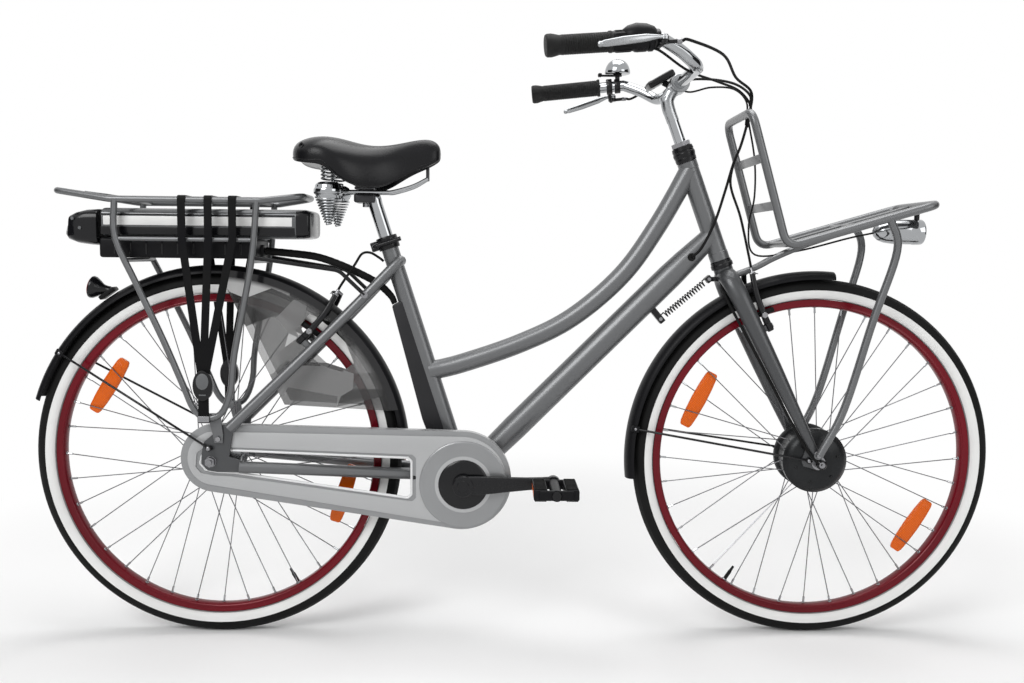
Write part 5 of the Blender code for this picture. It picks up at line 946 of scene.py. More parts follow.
def mudguard(name, axle, arc, stayAngle, eye, faceY, reach):
    piece = Piece(name)
    ring = []
    for wall, leans in ((guardLook["wall"], range(-8, 9)), (0.0, range(8, -9, -1))):
        half = guardLook["half"] - guardLook["wall"] + wall
        for lean in leans:
            angle = math.radians(90 * lean / 8)
            reachOut = guardLook["edge"] + (guardLook["drop"] + wall) * math.cos(angle)
            ring.append(onWheel(axle, reachOut, arc[0], half * math.sin(angle)))
    verts = [piece.bm.verts.new(point) for point in ring]
    edges = [piece.bm.edges.new((verts[i - 1], verts[i])) for i in range(len(verts))]
    made = bmesh.ops.spin(
        piece.bm, geom=verts + edges, cent=axle, axis=(0, -1, 0), dvec=(0, 0, 0),
        angle=math.radians(arc[1] - arc[0]), steps=64
    )["geom_last"]
    bmesh.ops.edgeloop_fill(piece.bm, edges=edges)
    bmesh.ops.edgeloop_fill(piece.bm, edges=[g for g in made if isinstance(g, bmesh.types.BMEdge)])
    piece.settle("blackSatin")
    for side in (-1, 1):
        foot = eye + side * (faceY + reach) * yAxis
        root = onWheel(
            axle, guardLook["edge"] + 0.0035, stayAngle, side * (guardLook["half"] + 0.0005)
        )
        way = (root - foot).normalized()
        piece.rod(foot, root + 0.003 * way, guardLook["wire"], "blackMetal", 12)
        piece.across(foot, -reach, reach, 0.0055, "blackMetal", 20)
        piece.rod(
            foot + side * reach * yAxis, foot + side * (reach + 0.0022) * yAxis, 0.0042, "steel", 6
        )
        piece.block(root, (0.016, 0.0052, 0.012), "blackSatin", way, 0.0018)
        piece.across(root, side * 0.002, side * 0.0036, 0.0026, "steel", 12)
    return piece


rearGuard = mudguard(
    "rearMudguardDetail", rearAxle, (8.0, 162.6), 146.2, at(-0.0015, 0.3774), 0.0738, 0.0052
)
rearGuard.done("frame", "black_plastic", "rear_mudguard", sharp=50)
frontGuard = mudguard(
    "frontMudguardDetail", frontAxle, (85.0, 186.5), 170.5, steer(0.012, 0.0245), 0.0563, 0.003
)
crownWay = steer(0.3825) - frontAxle
bracketTo = crownWay.length - 0.0007
crownWay.normalize()
frontGuard.block(
    frontAxle + (0.3662 + bracketTo) / 2 * crownWay, (bracketTo - 0.3662, 0.014, 0.01),
    "blackMetal", crownWay, 0.001
)
frontGuard.done("fork", "black_plastic", "front_mudguard", sharp=50)


# rear rack, battery and straps

rackLook = {"tube": 0.006, "rail": 0.004, "half": 0.076, "top": 0.837, "low": 0.765}
batteryLook = {"bottom": 0.7675, "height": 0.0555, "half": 0.06}
cradleLook = {"depth": 0.037, "half": 0.055, "ribs": 9, "ribStep": 0.029}
rack = Piece("rearRackDetail")
half, top = rackLook["half"], rackLook["top"]
platform = run(
    1, (-0.176, top, -half), (-0.283, top + 0.016, -0.054), (-0.283, top + 0.016, 0.054),
    (-0.176, top, half), (0.102, top, half), (0.171, top + 0.01, 0.05), (0.171, top + 0.01, -0.05),
    (0.102, top, -half)
)
rack.tube(rounded(platform, 0.024, 7, True), rackLook["tube"], "framePaint", 18, closed=True)
legPoints = (
    (-0.166, 0.837, 0.076), (-0.166, 0.767, 0.076), (-0.1266, 0.6785, 0.0785),
    (-0.0808, 0.58, 0.0815), (-0.0449, 0.4956, 0.084), (-0.0268, 0.4536, 0.085),
    (-0.0053, 0.4362, 0.085), (0.0236, 0.4436, 0.085), (0.042, 0.4863, 0.0845),
    (0.0496, 0.5567, 0.082), (0.081, 0.7214, 0.078), (0.092, 0.837, 0.076)
)
for side in (-1, 1):
    rack.bent([at(x, z, side * y) for x, z, y in legPoints], 4, rackLook["tube"], "framePaint", 18)
    rack.rod(
        at(-0.162, rackLook["low"], side * 0.0745), at(0.0835, rackLook["low"], side * 0.0745),
        rackLook["rail"], "framePaint", 16
    )
    rack.plate(
        [
            (0.0085, 0.387), (0.024, 0.387), (0.025, 0.402), (0.02, 0.444), (-0.004, 0.44),
            (0.006, 0.402)
        ],
        side * 0.0738, side * 0.0778, "framePaint"
    )
    rack.block(at(0.008, 0.44, side * 0.08), (0.02, 0.01, 0.007), "framePaint", edge=0.0015)
    foot = at(0.0161, 0.3948)
    rack.across(foot, side * 0.0748, side * 0.0823, 0.0055, "steel", 6)
    stayEnd = at(0.285, 0.665)
    rack.tube(
        rounded(
            [
                at(0.0835, 0.733, side * 0.0775), at(0.2374, 0.7101, side * 0.048),
                stayEnd + side * 0.047 * yAxis
            ],
            0.03, 8
        ),
        0.0038, "blackMetal", 14
    )
    rack.across(stayEnd, side * 0.043, side * 0.0502, 0.0068, "steel", 20)
crossZ = batteryLook["bottom"] - gap - cradleLook["depth"] - gap - rackLook["rail"]
for x, z in ((-0.1477, crossZ), (0.0819, crossZ), (-0.15, top), (-0.03, top), (0.088, top)):
    rack.rod(at(x, z, -0.0765), at(x, z, 0.0765), rackLook["rail"], "framePaint", 16)
railFrom, railTo = at(-0.15, top), at(-0.283, top + 0.016)
railWay = (railFrom - railTo).normalized()
for side in (-1, 1):
    rack.rod(
        railFrom + side * 0.026 * yAxis, railTo + side * 0.026 * yAxis, rackLook["rail"],
        "framePaint", 16
    )
rack.block(
    (railFrom + railTo) / 2 + Vector((0, 0, 0.0045)), (0.04, 0.066, 0.003), "framePaint", railWay,
    0.0006
)
rack.done("frame", "frame_paint", "rear_rack")

cradle = Piece("batteryCradleDetail")
cradleZ = batteryLook["bottom"] - gap - cradleLook["depth"] / 2
cradle.block(
    at(-0.0595, cradleZ), (0.289, 2 * cradleLook["half"], cradleLook["depth"]), "blackSatin",
    edge=0.005, segments=3
)
cradle.block(at(0.07, cradleZ - 0.004), (0.04, 0.03, 0.0238), "blackSatin", edge=0.003)
for i in range(cradleLook["ribs"]):
    for side in (-1, 1):
        cradle.block(
            at(-0.175 + cradleLook["ribStep"] * i, cradleZ + 0.001, side * cradleLook["half"]),
            (0.0035, 0.0022, 0.026), "blackGloss", edge=0.0006
        )
cradle.done("frame", "black_plastic", "battery_cradle")


def batteryStops(stops):
    # each stop holds x, the share of the full height, and how far it sits above the middle
    middle = batteryLook["bottom"] + batteryLook["height"] / 2
    points = [at(x, middle + lift) for x, grow, lift in stops]
    radii = [
        (batteryLook["half"] * min(1.0, grow + 0.04), batteryLook["height"] / 2 * grow)
        for x, grow, lift in stops
    ]
    return points, radii


pack = Piece("batteryDetail")
rearCap = (
    (-0.268, 0.46, -0.008), (-0.266, 0.66, -0.009), (-0.26, 0.86, -0.01), (-0.246, 1.06, -0.01),
    (-0.228, 1.18, -0.009), (-0.209, 1.22, -0.009), (-0.2065, 1.18, -0.009)
)
shell = ((-0.1965, 0.985, 0.0), (-0.1955, 0.992, 0.0), (0.16, 0.992, 0.0), (0.161, 0.985, 0.0))
frontCap = (
    (0.16, 1.0, 0.0), (0.172, 0.99, 0.0), (0.181, 0.94, 0.0), (0.1845, 0.89, 0.0),
    (0.186, 0.82, 0.0)
)
for stops, look in ((rearCap, "blackGloss"), (shell, "batterySilver"), (frontCap, "blackGloss")):
    points, radii = batteryStops(stops)
    pack.tube(points, radii, look, 48, 5.0, side=(0, 1, 0))
middleZ = batteryLook["bottom"] + batteryLook["height"] / 2
for side in (-1, 1):
    pack.block(
        at(-0.02, middleZ + 0.0035, side * 0.0598), (0.346, 0.0022, 0.0165), "paleStripe",
        edge=0.0006
    )
    pack.block(
        at(-0.02, middleZ - 0.015, side * 0.0597), (0.356, 0.0016, 0.015), "blackGloss", edge=0.0004
    )
    pack.block(
        at(-0.02, middleZ + 0.0145, side * 0.0596), (0.356, 0.0012, 0.003), "blackGloss",
        edge=0.0003
    )
for x, lift in ((-0.249, 0.006), (-0.236, -0.011)):
    lockAt = at(x, middleZ + lift, -0.06)
    pack.rod(lockAt, lockAt - 0.0022 * yAxis, 0.003, "strapGrey", 20)
pack.done("battery", "aluminium", "battery_pack")

power = Piece("powerCableDetail")
powerPath = flowing(
    run(
        1, (0.0907, 0.745, 0.0), (0.15, 0.74, 0.0), (0.19, 0.7345, 0.0), (0.23, 0.7215, 0.0),
        (0.27, 0.704, 0.0), (0.305, 0.685, 0.0), (0.3292, 0.6625, 0.0), (0.3374, 0.647, 0.0)
    ),
    10
)
powerRadii = [
    0.0073 + 0.0002 * math.cos(2.4 * i) - (0.0016 * max(0.0, i / (len(powerPath) - 1) - 0.75) * 4)
    for i in range(len(powerPath))
]
power.tube(powerPath, powerRadii, "rubber", 18)
power.done("frame", "rubber", "power_cable")

strapLook = {
    "width": 0.0145, "thick": 0.002, "buckle": (-0.006, 0.493), "y": 0.0833, "hookY": 0.0923
}
hookY, strapY = strapLook["hookY"], strapLook["y"]
straps = Piece("luggageStraps")
for topX, lowX in ((-0.043, -0.011), (0.005, -0.006), (0.049, -0.001)):
    corners = []
    for side in (-1, 1):
        ends = [
            at(lowX, 0.493, side * (hookY - 0.003)), at(lowX, 0.523, side * (hookY - 0.003)),
            at(topX, 0.765, side * strapY), at(topX, 0.8443, side * strapY)
        ]
        corners += ends if side < 0 else ends[::-1]
    path = rounded(corners, 0.006, 4)
    straps.tube(
        path, [(strapLook["width"] / 2, strapLook["thick"] / 2)] * len(path), "strapRubber", 20,
        6.0, side=(1, 0, 0)
    )
for side in (-1, 1):
    buckleX, buckleZ = strapLook["buckle"]
    turns = [math.tau * i / 32 for i in range(32)]
    outer = [(buckleX + 0.018 * math.sin(t), buckleZ + 0.004 - 0.028 * math.cos(t)) for t in turns]
    inner = [(buckleX + 0.0115 * math.sin(t), buckleZ + 0.012 - 0.015 * math.cos(t)) for t in turns]
    straps.plate(outer, side * (hookY - 0.005), side * (hookY + 0.006), "blackGloss", edge=0.0022)
    straps.plate(inner, side * (hookY + 0.005), side * (hookY + 0.007), "strapGrey", edge=0.0008)
    straps.block(
        at(buckleX, buckleZ - 0.013, side * (hookY + 0.006)), (0.013, 0.0016, 0.0024), "strapGrey",
        edge=0.0004
    )
    straps.block(at(buckleX, 0.465, side * hookY), (0.02, 0.002, 0.075), "strapRubber", edge=0.0007)
    straps.block(
        at(buckleX, 0.4282, side * (hookY - 0.005)), (0.019, 0.011, 0.003), "steel", edge=0.0008
    )
    straps.block(
        at(buckleX, 0.4345, side * (hookY + 0.001)), (0.0205, 0.0016, 0.011), "steel", edge=0.0005
    )
straps.done("frame", "strap_rubber", "rack_straps")

tail = Piece("tailLampDetail")
tailWay = spokeWay(36.0)
tailFoot, tailAxis = onWheel(rearAxle, 0.3745, 124.0), Vector((-0.96, 0, 0.2))
tail.block(tailFoot, (0.034, 0.026, 0.008), "blackSatin", tailWay, 0.002)
tailFoot += Vector((-0.003, 0, 0.006))
tail.turned(
    [
        (0.0, 0.0315), (0.015, 0.0312), (0.0205, 0.03), (0.0215, 0.0275), (0.0205, 0.0225),
        (0.015, 0.014), (0.0098, 0.007), (0.0085, 0.0), (0.0085, -0.006), (0.0, -0.006)
    ],
    tailFoot, tailAxis, "blackGloss", 40
)
tail.turned(
    [(0.0, 0.0338), (0.012, 0.0334), (0.0175, 0.032), (0.0184, 0.0302), (0.0, 0.0302)], tailFoot,
    tailAxis, "redLens", 40
)
tail.done("frame", "black_plastic", "tail_lamp")
print("scene: rack and battery ready")


# chain case, chain and cranks

caseLook = {
    "wall": 0.0022, "windowX": 0.178, "windowZ": 0.3345, "windowSlope": 0.11,
    "rear": (0.006, 0.3555), "front": (0.47, 0.315), "rearRadius": 0.0645, "frontRadius": 0.094
}


def caseOutline(rearInset=0.0, frontInset=0.0):
    rearRadius = caseLook["rearRadius"] - rearInset
    frontRadius = caseLook["frontRadius"] - frontInset
    return beltOutline(caseLook["rear"], rearRadius, caseLook["front"], frontRadius)


def roundedWindow(radius, growX=0.0, growZ=0.0):
    # the window's corners rounded, and each point moved away from its slanting middle line
    flat = []
    for p in rounded([Vector((x, 0, z)) for x, z in window], radius, 4, True):
        offX = p.x - caseLook["windowX"]
        offZ = p.z - caseLook["windowZ"] + caseLook["windowSlope"] * offX
        flat.append((p.x + math.copysign(growX, offX), p.z + math.copysign(growZ, offZ)))
    return flat


window = [
    (-0.022, 0.346), (-0.012, 0.334), (0.012, 0.3295), (0.043, 0.3283), (0.368, 0.2815),
    (0.375, 0.288), (0.375, 0.352), (0.368, 0.3587), (0.0225, 0.3715), (-0.006, 0.37),
    (-0.019, 0.36)
]
windowFlat = roundedWindow(0.004)
case = Piece("chainCaseDetail")
case.plate(caseOutline(), -0.0642, -0.062, "ringSilver", [windowFlat], 0.001)
case.plate(
    caseOutline(), -0.0638, -0.0445, "caseSilver",
    [caseOutline(caseLook["wall"], caseLook["wall"])], 0.0006
)
case.tube([at(x, z, -0.0645) for x, z in windowFlat], 0.0024, "caseLip", 12, closed=True)
windowWide = roundedWindow(0.005, 0.0085, 0.0065)
case.plate(caseOutline(0.0135, 0.0095), -0.063, -0.067, "caseSilver", [windowWide], 0.0019)
case.turned(
    [
        (0.0186, -0.055), (0.0186, -0.0672), (0.05, -0.0668), (0.062, -0.0674), (0.073, -0.069),
        (0.079, -0.0702), (0.0815, -0.07), (0.0828, -0.069), (0.0832, -0.0672), (0.0832, -0.055)
    ],
    bottomBracket, yAxis, "ringSilver", 96, True
)
case.turned(
    [
        (0.0186, -0.056), (0.0186, -0.0714), (0.03, -0.0713), (0.04, -0.0707), (0.045, -0.0697),
        (0.0472, -0.068), (0.0472, -0.056)
    ],
    bottomBracket, yAxis, "blackGloss", 72, True
)
case.rod(at(0.0161, 0.3948, -0.057), at(0.0161, 0.3948, -0.0672), 0.0055, "steel", 20)
case.turned(
    [(0.01, -0.06), (0.01, -0.0622), (0.034, -0.0622), (0.0365, -0.0612), (0.0365, -0.06)],
    rearAxle, yAxis, "blackSatin", 48, True
)
post = at(0.38, 0.3205)
case.across(post, -0.0645, -0.0421, 0.004, "blackMetal", 14)
case.done("frame", "case_silver", "chain_case")

chainLook = {"pitch": 0.0127, "y": -0.052, "sprocket": 0.03657, "ring": 0.0769}
chain = Piece("chainLinks")
line = beltOutline(
    (0.0, 0.351), chainLook["sprocket"], setOut["bottomBracket"], chainLook["ring"], (60, 90)
)
lengths = [math.dist(line[i - 1], line[i]) for i in range(len(line))]
linkCount = round(sum(lengths) / chainLook["pitch"])
linkSpan = sum(lengths) / linkCount
spots, walked, goal = [], 0.0, 0.0
for i, stretch in enumerate(lengths):
    while goal <= walked + stretch and len(spots) < linkCount:
        t = (goal - walked) / stretch
        a, b = line[i - 1], line[i]
        spots.append((a[0] + (b[0] - a[0]) * t, a[1] + (b[1] - a[1]) * t))
        goal += linkSpan
    walked += stretch
for i, (x, z) in enumerate(spots):
    last = spots[i - 1]
    middle, way = at((x + last[0]) / 2, (z + last[1]) / 2), at(x, z) - at(*last)
    wide = 0.0034 if i % 2 else 0.0025
    for side in (-1, 1):
        chain.block(
            middle + (chainLook["y"] + side * wide) * yAxis, (way.length + 0.0066, 0.0009, 0.0078),
            "darkSteel", way, 0.0026, 1
        )
    chain.rod(
        at(x, z, chainLook["y"] - 0.0042), at(x, z, chainLook["y"] + 0.0042), 0.0018, "steel", 8,
        edge=0
    )
    chain.rod(
        at(x, z, chainLook["y"] - 0.002), at(x, z, chainLook["y"] + 0.002), 0.0039, "steel", 8,
        edge=0
    )
chain.done("frame", "steel", "drive_chain")


# share of a tooth's step, and how far out from the pitch circle
toothStops = (
    (0.0, -0.0034), (0.22, -0.0026), (0.4, 0.0004), (0.5, 0.0008), (0.6, 0.0004), (0.78, -0.0026)
)


def toothedWheel(piece, x, z, pitchRadius, teeth, finish, hole):
    ring = []
    for i in range(teeth):
        for part, radius in toothStops:
            angle, reach = math.tau * (i + part) / teeth, pitchRadius + radius
            ring.append((x + reach * math.cos(angle), z + reach * math.sin(angle)))
    piece.plate(
        ring, chainLook["y"] - 0.0011, chainLook["y"] + 0.0011, finish,
        [circlePoints(x, z, hole, 40)], 0
    )


sprocket = Piece("sprocketDetail")
toothedWheel(sprocket, 0.0, 0.351, 0.0358, 18, "darkSteel", 0.0158)
sprocket.turned(
    [(0.0062, -0.045), (0.0165, -0.045), (0.0165, -0.0575), (0.015, -0.0583), (0.0062, -0.0583)],
    rearAxle, yAxis, "steel", 36, True
)
sprocket.done("sprocket", "steel", "rear_sprocket")

crankLook = {"length": 0.17, "angle": 2.5, "y": 0.0795}
crankWay = spokeWay(crankLook["angle"])
crankSet = Piece("crankSetDetail")
for side in (-1, 1):
    way = -side * crankWay
    up = Vector((-way.z, 0, way.x))
    centre = bottomBracket + side * crankLook["y"] * yAxis
    tip = centre + crankLook["length"] * way
    stops = (
        (0.004, 0.019), (0.03, 0.0182), (0.075, 0.015), (0.12, 0.0122), (0.15, 0.0116),
        (0.166, 0.012)
    )
    crankSet.tube(
        [centre + reach * way for reach, wide in stops], [(wide, 0.0063) for reach, wide in stops],
        "blackMetal", 24, 3.2, side=up
    )
    crankSet.across(centre, -0.0072, 0.0072, 0.0205, "blackMetal", 40, edge=0.0018)
    crankSet.across(centre, side * 0.0065, side * 0.008, 0.0112, "blackGloss", 32, edge=0.0005)
    crankSet.across(tip, -0.0072, 0.0072, 0.0135, "blackMetal", 32, edge=0.0015)
    crankSet.rod(tip, tip + side * 0.101 * yAxis, 0.006, "steel", 20)
    crankSet.across(tip, -side * 0.0065, -side * 0.0078, 0.007, "steel", 20)
crankSet.across(bottomBracket, -crankLook["y"], crankLook["y"], 0.012, "darkSteel", 28)
toothedWheel(crankSet, *setOut["bottomBracket"], 0.0769, 38, "darkSteel", 0.015)
crankSet.across(bottomBracket, -0.058, -0.046, 0.0165, "darkSteel", 32)
crankSet.done("crank", "aluminium", "crank_right", "crank_left")

pedalLook = {"middleY": 0.0875, "half": 0.048, "bars": 0.0285, "studs": 9, "studStep": 0.0095}
for side, word in ((-1, "right"), (1, "left")):
    tip = bottomBracket - side * crankLook["length"] * crankWay
    middle = tip + side * (pedalLook["middleY"] + pedalLook["half"]) * yAxis
    pedal = Piece(word + "PedalDetail")
    pedal.across(
        middle, -pedalLook["half"], pedalLook["half"], 0.0105, "blackSatin", 28, edge=0.001
    )
    for end in (-1, 1):
        tread = middle + Vector((end * pedalLook["bars"], 0, 0))
        pedal.block(tread, (0.025, 0.09, 0.0205), "blackSatin", edge=0.003)
        pedal.block(middle + end * 0.043 * yAxis, (0.062, 0.01, 0.018), "blackSatin", edge=0.0025)
        pedal.block(
            tread + Vector((end * 0.012, 0, 0)), (0.0016, 0.06, 0.0125), "reflector", edge=0.0005
        )
        for i in range(pedalLook["studs"]):
            for over in (-1, 1):
                y = pedalLook["studStep"] * (i - pedalLook["studs"] // 2)
                spot = tread + Vector((0, y, over * 0.0107))
                pedal.block(spot, (0.021, 0.0042, 0.0024), "rubber", edge=0.0006, segments=1)
    pedal.across(middle, side * 0.0478, side * 0.0488, 0.0085, "blackGloss", 24)
    pedal.done("pedal_" + word, "black_plastic", "pedal_" + word)
print("scene: chain and cranks ready")


# axles and nuts

axles = Piece("rearAxleDetail")
axles.across(rearAxle, -0.088, 0.088, 0.005, "steel", 24)
for side, hubEnd in ((-1, 0.059), (1, 0.0606)):
    axles.across(rearAxle, side * 0.0738, side * 0.0752, 0.0105, "steel", 28)
    axles.across(rearAxle, side * 0.075, side * 0.0828, 0.0102, "steel", 6, edge=0.0007)
    axles.across(rearAxle, side * hubEnd, side * 0.0672, 0.009, "steel", 24)
axles.done("frame", "steel", "rear_axle")
axles = Piece("frontAxleDetail")
axles.across(frontAxle, -0.078, 0.078, 0.006, "steel", 24)
for side in (-1, 1):
    axles.across(frontAxle, side * 0.0563, side * 0.0578, 0.0135, "steel", 32)
    axles.across(frontAxle, side * 0.0576, side * 0.066, 0.0103, "steel", 6, edge=0.0008)
    axles.across(frontAxle, side * 0.0655, side * 0.0775, 0.0095, "blackGloss", 28, edge=0.002)
axles.done("fork", "steel", "front_axle")


# fork

forkLook = {"steerer": 0.0143, "crown": 0.0185}
bladeStops = (
    (0.397, 0.0, 0.004, 0.0145), (0.395, 0.0, 0.017, 0.0145), (0.384, 0.0005, 0.031, 0.0145),
    (0.36, 0.003, 0.0405, 0.0145), (0.33, 0.006, 0.0455, 0.014), (0.2, 0.0195, 0.055, 0.0125),
    (0.1, 0.03, 0.0605, 0.0105), (0.02, 0.0395, 0.0605, 0.009)
)
forkDropout = [
    steer(*s)
    for s in (
        (-0.014, 0.036), (-0.014, 0.047), (-0.006, 0.054), (0.008, 0.054), (0.03, 0.046),
        (0.04, 0.036), (0.034, 0.028), (0.016, 0.012), (0.004, 0.012), (-0.006, 0.026)
    )
]
forkDropout = [(p.x - rearX, p.z) for p in forkDropout]
# the fork is coloured with the darker copy of the frame paint, a painted shade
fork = Piece("forkDetail")
for side in (-1, 1):
    path = flowing([steer(s, f, side * y) for s, f, y, r in bladeStops], 6)
    radii = []
    for i in range(len(path)):
        spot = i / 6
        low = min(int(spot), len(bladeStops) - 2)
        radii.append(
            bladeStops[low][3] + (bladeStops[low + 1][3] - bladeStops[low][3]) * (spot - low)
        )
    ovals = [(r * (1 + 0.28 * (r - 0.009) / 0.0055), r) for r in radii]
    fork.tube(path, ovals, "shadedFramePaint", 32, side=headForward)
    fork.plate(forkDropout, side * 0.05, side * 0.056, "shadedFramePaint", edge=0.0008)
addBosses(fork, brakes["front"], "shadedFramePaint")
lockFrom = headTop + 0.0305
fork.rod(steer(0.396), steer(lockFrom + 0.009), forkLook["steerer"], "steel", 36)
fork.rod(steer(0.399), steer(0.4126), forkLook["crown"], "shadedFramePaint", 40)
fork.rod(steer(lockFrom), steer(lockFrom + 0.009), 0.0183, "steel", 8, edge=0.0008)
fork.block(damperHigh, (0.012, 0.018, 0.012), "blackMetal", damperWay)
fork.across(damperHigh, -0.0095, 0.0095, 0.0036, "steel", 12)
fork.block(
    (damperHigh + steer(0.39, -0.004)) / 2, (0.03, 0.012, 0.009), "blackMetal",
    steer(0.39, -0.004) - damperHigh
)
fork.done("fork", "frame_paint", "fork")


# rim brakes

padLook = {"rimHalf": 0.0125, "room": 0.0018, "half": 0.0045}
padY = sum(padLook.values())
for word, brake in brakes.items():
    base = brakeSpot(brake, 0, 0.027)
    track = atRadius(base, base + 0.08 * brake["up"], brake["axle"], 0.3045)
    padUp = (track - base).length
    padAlong = (track - brake["axle"]).cross(yAxis).normalized()
    for side, hand in ((-1, "right"), (1, "left")):
        arm = Piece(word + hand.capitalize() + "BrakeArm")
        y = side * 0.042
        path = flowing(
            [
                brakeSpot(brake, 0.0, 0.027, y), brakeSpot(brake, 0.0247, 0.027, side * 0.0445),
                brakeSpot(brake, 0.0597, 0.03, side * 0.043),
                brakeSpot(brake, 0.0845, 0.036, side * 0.038),
                brakeSpot(brake, 0.103, 0.042, side * 0.032)
            ],
            5
        )
        arm.tube(
            path, [(0.0066 - 0.0016 * i / (len(path) - 1), 0.0052) for i in range(len(path))],
            "blackMetal", 18, 3.0, side=brake["out"]
        )
        arm.rod(
            brakeSpot(brake, 0, 0.0216, y), brakeSpot(brake, 0, 0.0324, y), 0.01, "blackMetal", 28,
            edge=0.001
        )
        arm.rod(brakeSpot(brake, 0, 0.0322, y), brakeSpot(brake, 0, 0.0346, y), 0.0056, "steel", 6)
        centre = brakeSpot(brake, padUp, 0.027)
        arm.block(centre + side * padY * yAxis, (0.055, 0.009, 0.01), "rubber", padAlong, 0.002)
        arm.block(
            centre + side * (padY + 0.0035) * yAxis, (0.04, 0.004, 0.0085), "blackSatin", padAlong,
            0.001
        )
        arm.across(centre, side * padY, side * 0.05, 0.0034, "steel", 16)
        arm.across(centre, side * 0.0485, side * 0.0525, 0.0062, "steel", 6)
        end = path[-1]
        arm.rod(end - 0.0045 * brake["out"], end + 0.005 * brake["out"], 0.0046, "steel", 6)
        if side > 0:
            arm.bent(
                [
                    brakeSpot(brake, 0.097, 0.0415, 0.033), brakeSpot(brake, 0.1, 0.048, 0.028),
                    brakeSpot(brake, 0.1, 0.0506, 0.021), brakeSpot(brake, 0.1, 0.0506, 0.0),
                    brakeSpot(brake, 0.1, 0.0506, -0.036)
                ],
                4, 0.0012, "steel", 10
            )
            arm.tube(
                [brakeSpot(brake, 0.1, 0.0506, y) for y in (-0.012, -0.004, 0.004, 0.012)],
                [0.003, 0.0036, 0.0036, 0.003], "rubber", 14
            )
        arm.done(brake["body"] + hand, "black_metal", f"{word}_brake_arm_{hand}")
print("scene: fork and brakes ready")


# seatpost and saddle

post = Piece("seatpostDetail")
postPath = [bottomBracket + s * seatAxis for s in (0.314, 0.499, 0.535)] + flowing(
    [bottomBracket + 0.553 * seatAxis, at(0.2965, 0.848), at(0.284, 0.8475)], 6
)
post.tube(postPath, 0.0136, "chrome", 32)
clamp = at(0.282, 0.8465)
post.block(clamp, (0.04, 0.05, 0.0166), "darkSteel", edge=0.004, segments=3)
post.rod(clamp, clamp + 0.024 * zAxis, 0.004, "steel", 16)
post.block(clamp + 0.0187 * zAxis, (0.036, 0.056, 0.005), "darkSteel", edge=0.0015)
post.rod(clamp + 0.0205 * zAxis, clamp + 0.0245 * zAxis, 0.007, "steel", 6)
post.rod(clamp - 0.016 * zAxis, clamp, 0.0065, "steel", 6)
post.done("seatpost", "chrome", "seatpost")

saddleLook = {
    "rear": 0.151, "length": 0.274, "half": 0.106, "base": 0.907, "springX": 0.2196,
    "springY": 0.055, "seatZ": 0.8735, "coilRadius": 0.0125, "wire": 0.0018
}
rails = Piece("saddleRailsDetail")
noseLow, nose = at(0.4, 0.885), at(0.4, 0.9065)
rails.block((noseLow + nose) / 2 - 0.002 * zAxis, (0.006, 0.018, 0.0255), "darkSteel", edge=0.0012)
cupProfile = [
    (0.0, 0.0), (0.015, 0.0), (0.0185, -0.0012), (0.0228, -0.0042), (0.024, -0.0062),
    (0.0246, -0.01), (0.0262, -0.0125), (0.027, -0.0145), (0.027, -0.0195), (0.0262, -0.0215),
    (0.0236, -0.0235), (0.0226, -0.026), (0.022, -0.03), (0.0, -0.03)
]
for side in (-1, 1):
    cup = at(saddleLook["springX"], saddleLook["seatZ"], side * saddleLook["springY"])
    rails.turned(cupProfile, cup, zAxis, "chrome", 48)
    hiveTop = cup - 0.028 * zAxis
    rails.tube(
        [
            hiveTop + Vector((0.0235, 0, 0.004)),
            *coil(hiveTop, hiveTop - 0.05 * zAxis, 10, 0.0235, 0.0045, 24)
        ],
        saddleLook["wire"], "chrome", 12
    )
    rails.bent(
        [
            noseLow + side * 0.007 * yAxis, at(0.372, 0.87, side * 0.016),
            at(0.335, 0.859, side * 0.0205), at(0.318, 0.8585, side * 0.021),
            at(0.262, 0.8585, side * 0.021), at(0.242, 0.8575, side * 0.033),
            at(0.2196, 0.8575, side * 0.055)
        ],
        8, 0.0035, "chrome", 16
    )
rails.done("seatpost", "chrome", "saddle_rails")
# each spring rides with the saddle, and the cup under it with the seatpost
for side, word in ((-1, "right"), (1, "left")):
    spring = Piece(word + "SaddleSpring")
    low = at(saddleLook["springX"], 0.8773, side * saddleLook["springY"])
    high = at(saddleLook["springX"], 0.9032, side * saddleLook["springY"])
    spring.tube(
        coil(low, high, 4, saddleLook["coilRadius"], saddleLook["coilRadius"], 26, 0.0035),
        saddleLook["wire"], "chrome", 12
    )
    made = spring.done("saddle", "chrome", "saddle_spring_" + word)
    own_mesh(made)

saddleStops = (
    (0.0, 0.42, 0.937, 0.918), (0.02, 0.66, 0.949, 0.911), (0.076, 0.85, 0.957, 0.907),
    (0.15, 0.96, 0.962, 0.905), (0.235, 1.0, 0.9635, 0.903), (0.335, 0.98, 0.96, 0.876),
    (0.453, 0.81, 0.951, 0.862), (0.544, 0.62, 0.948, 0.86), (0.635, 0.46, 0.9495, 0.866),
    (0.726, 0.35, 0.954, 0.882), (0.818, 0.28, 0.9595, 0.896), (0.909, 0.25, 0.962, 0.906),
    (0.967, 0.21, 0.956, 0.915), (1.0, 0.12, 0.944, 0.921)
)


def saddleRing(along, wide, top, skirt):
    x = saddleLook["rear"] + along * saddleLook["length"]
    width = wide * saddleLook["half"]
    base = max(saddleLook["base"], skirt + 0.003)
    ring = []
    for i in range(13):
        angle = math.pi * i / 12
        bulge = math.sin(angle) ** 0.72
        tuck = 1.0 - 0.1 * (1 - math.sin(angle)) ** 2
        groove = 0.0035 * math.exp(-((i - 6) / 0.9) ** 2)
        groove *= min(1.0, 4 * along) * min(1.0, 5 * (1 - along))
        ring.append(at(x, skirt + (top - skirt) * bulge - groove, width * math.cos(angle) * tuck))
    under = [(-0.8, skirt), (-0.72, base), (-0.25, base), (0.25, base), (0.72, base), (0.8, skirt)]
    return ring + [at(x, z, part * width) for part, z in under]


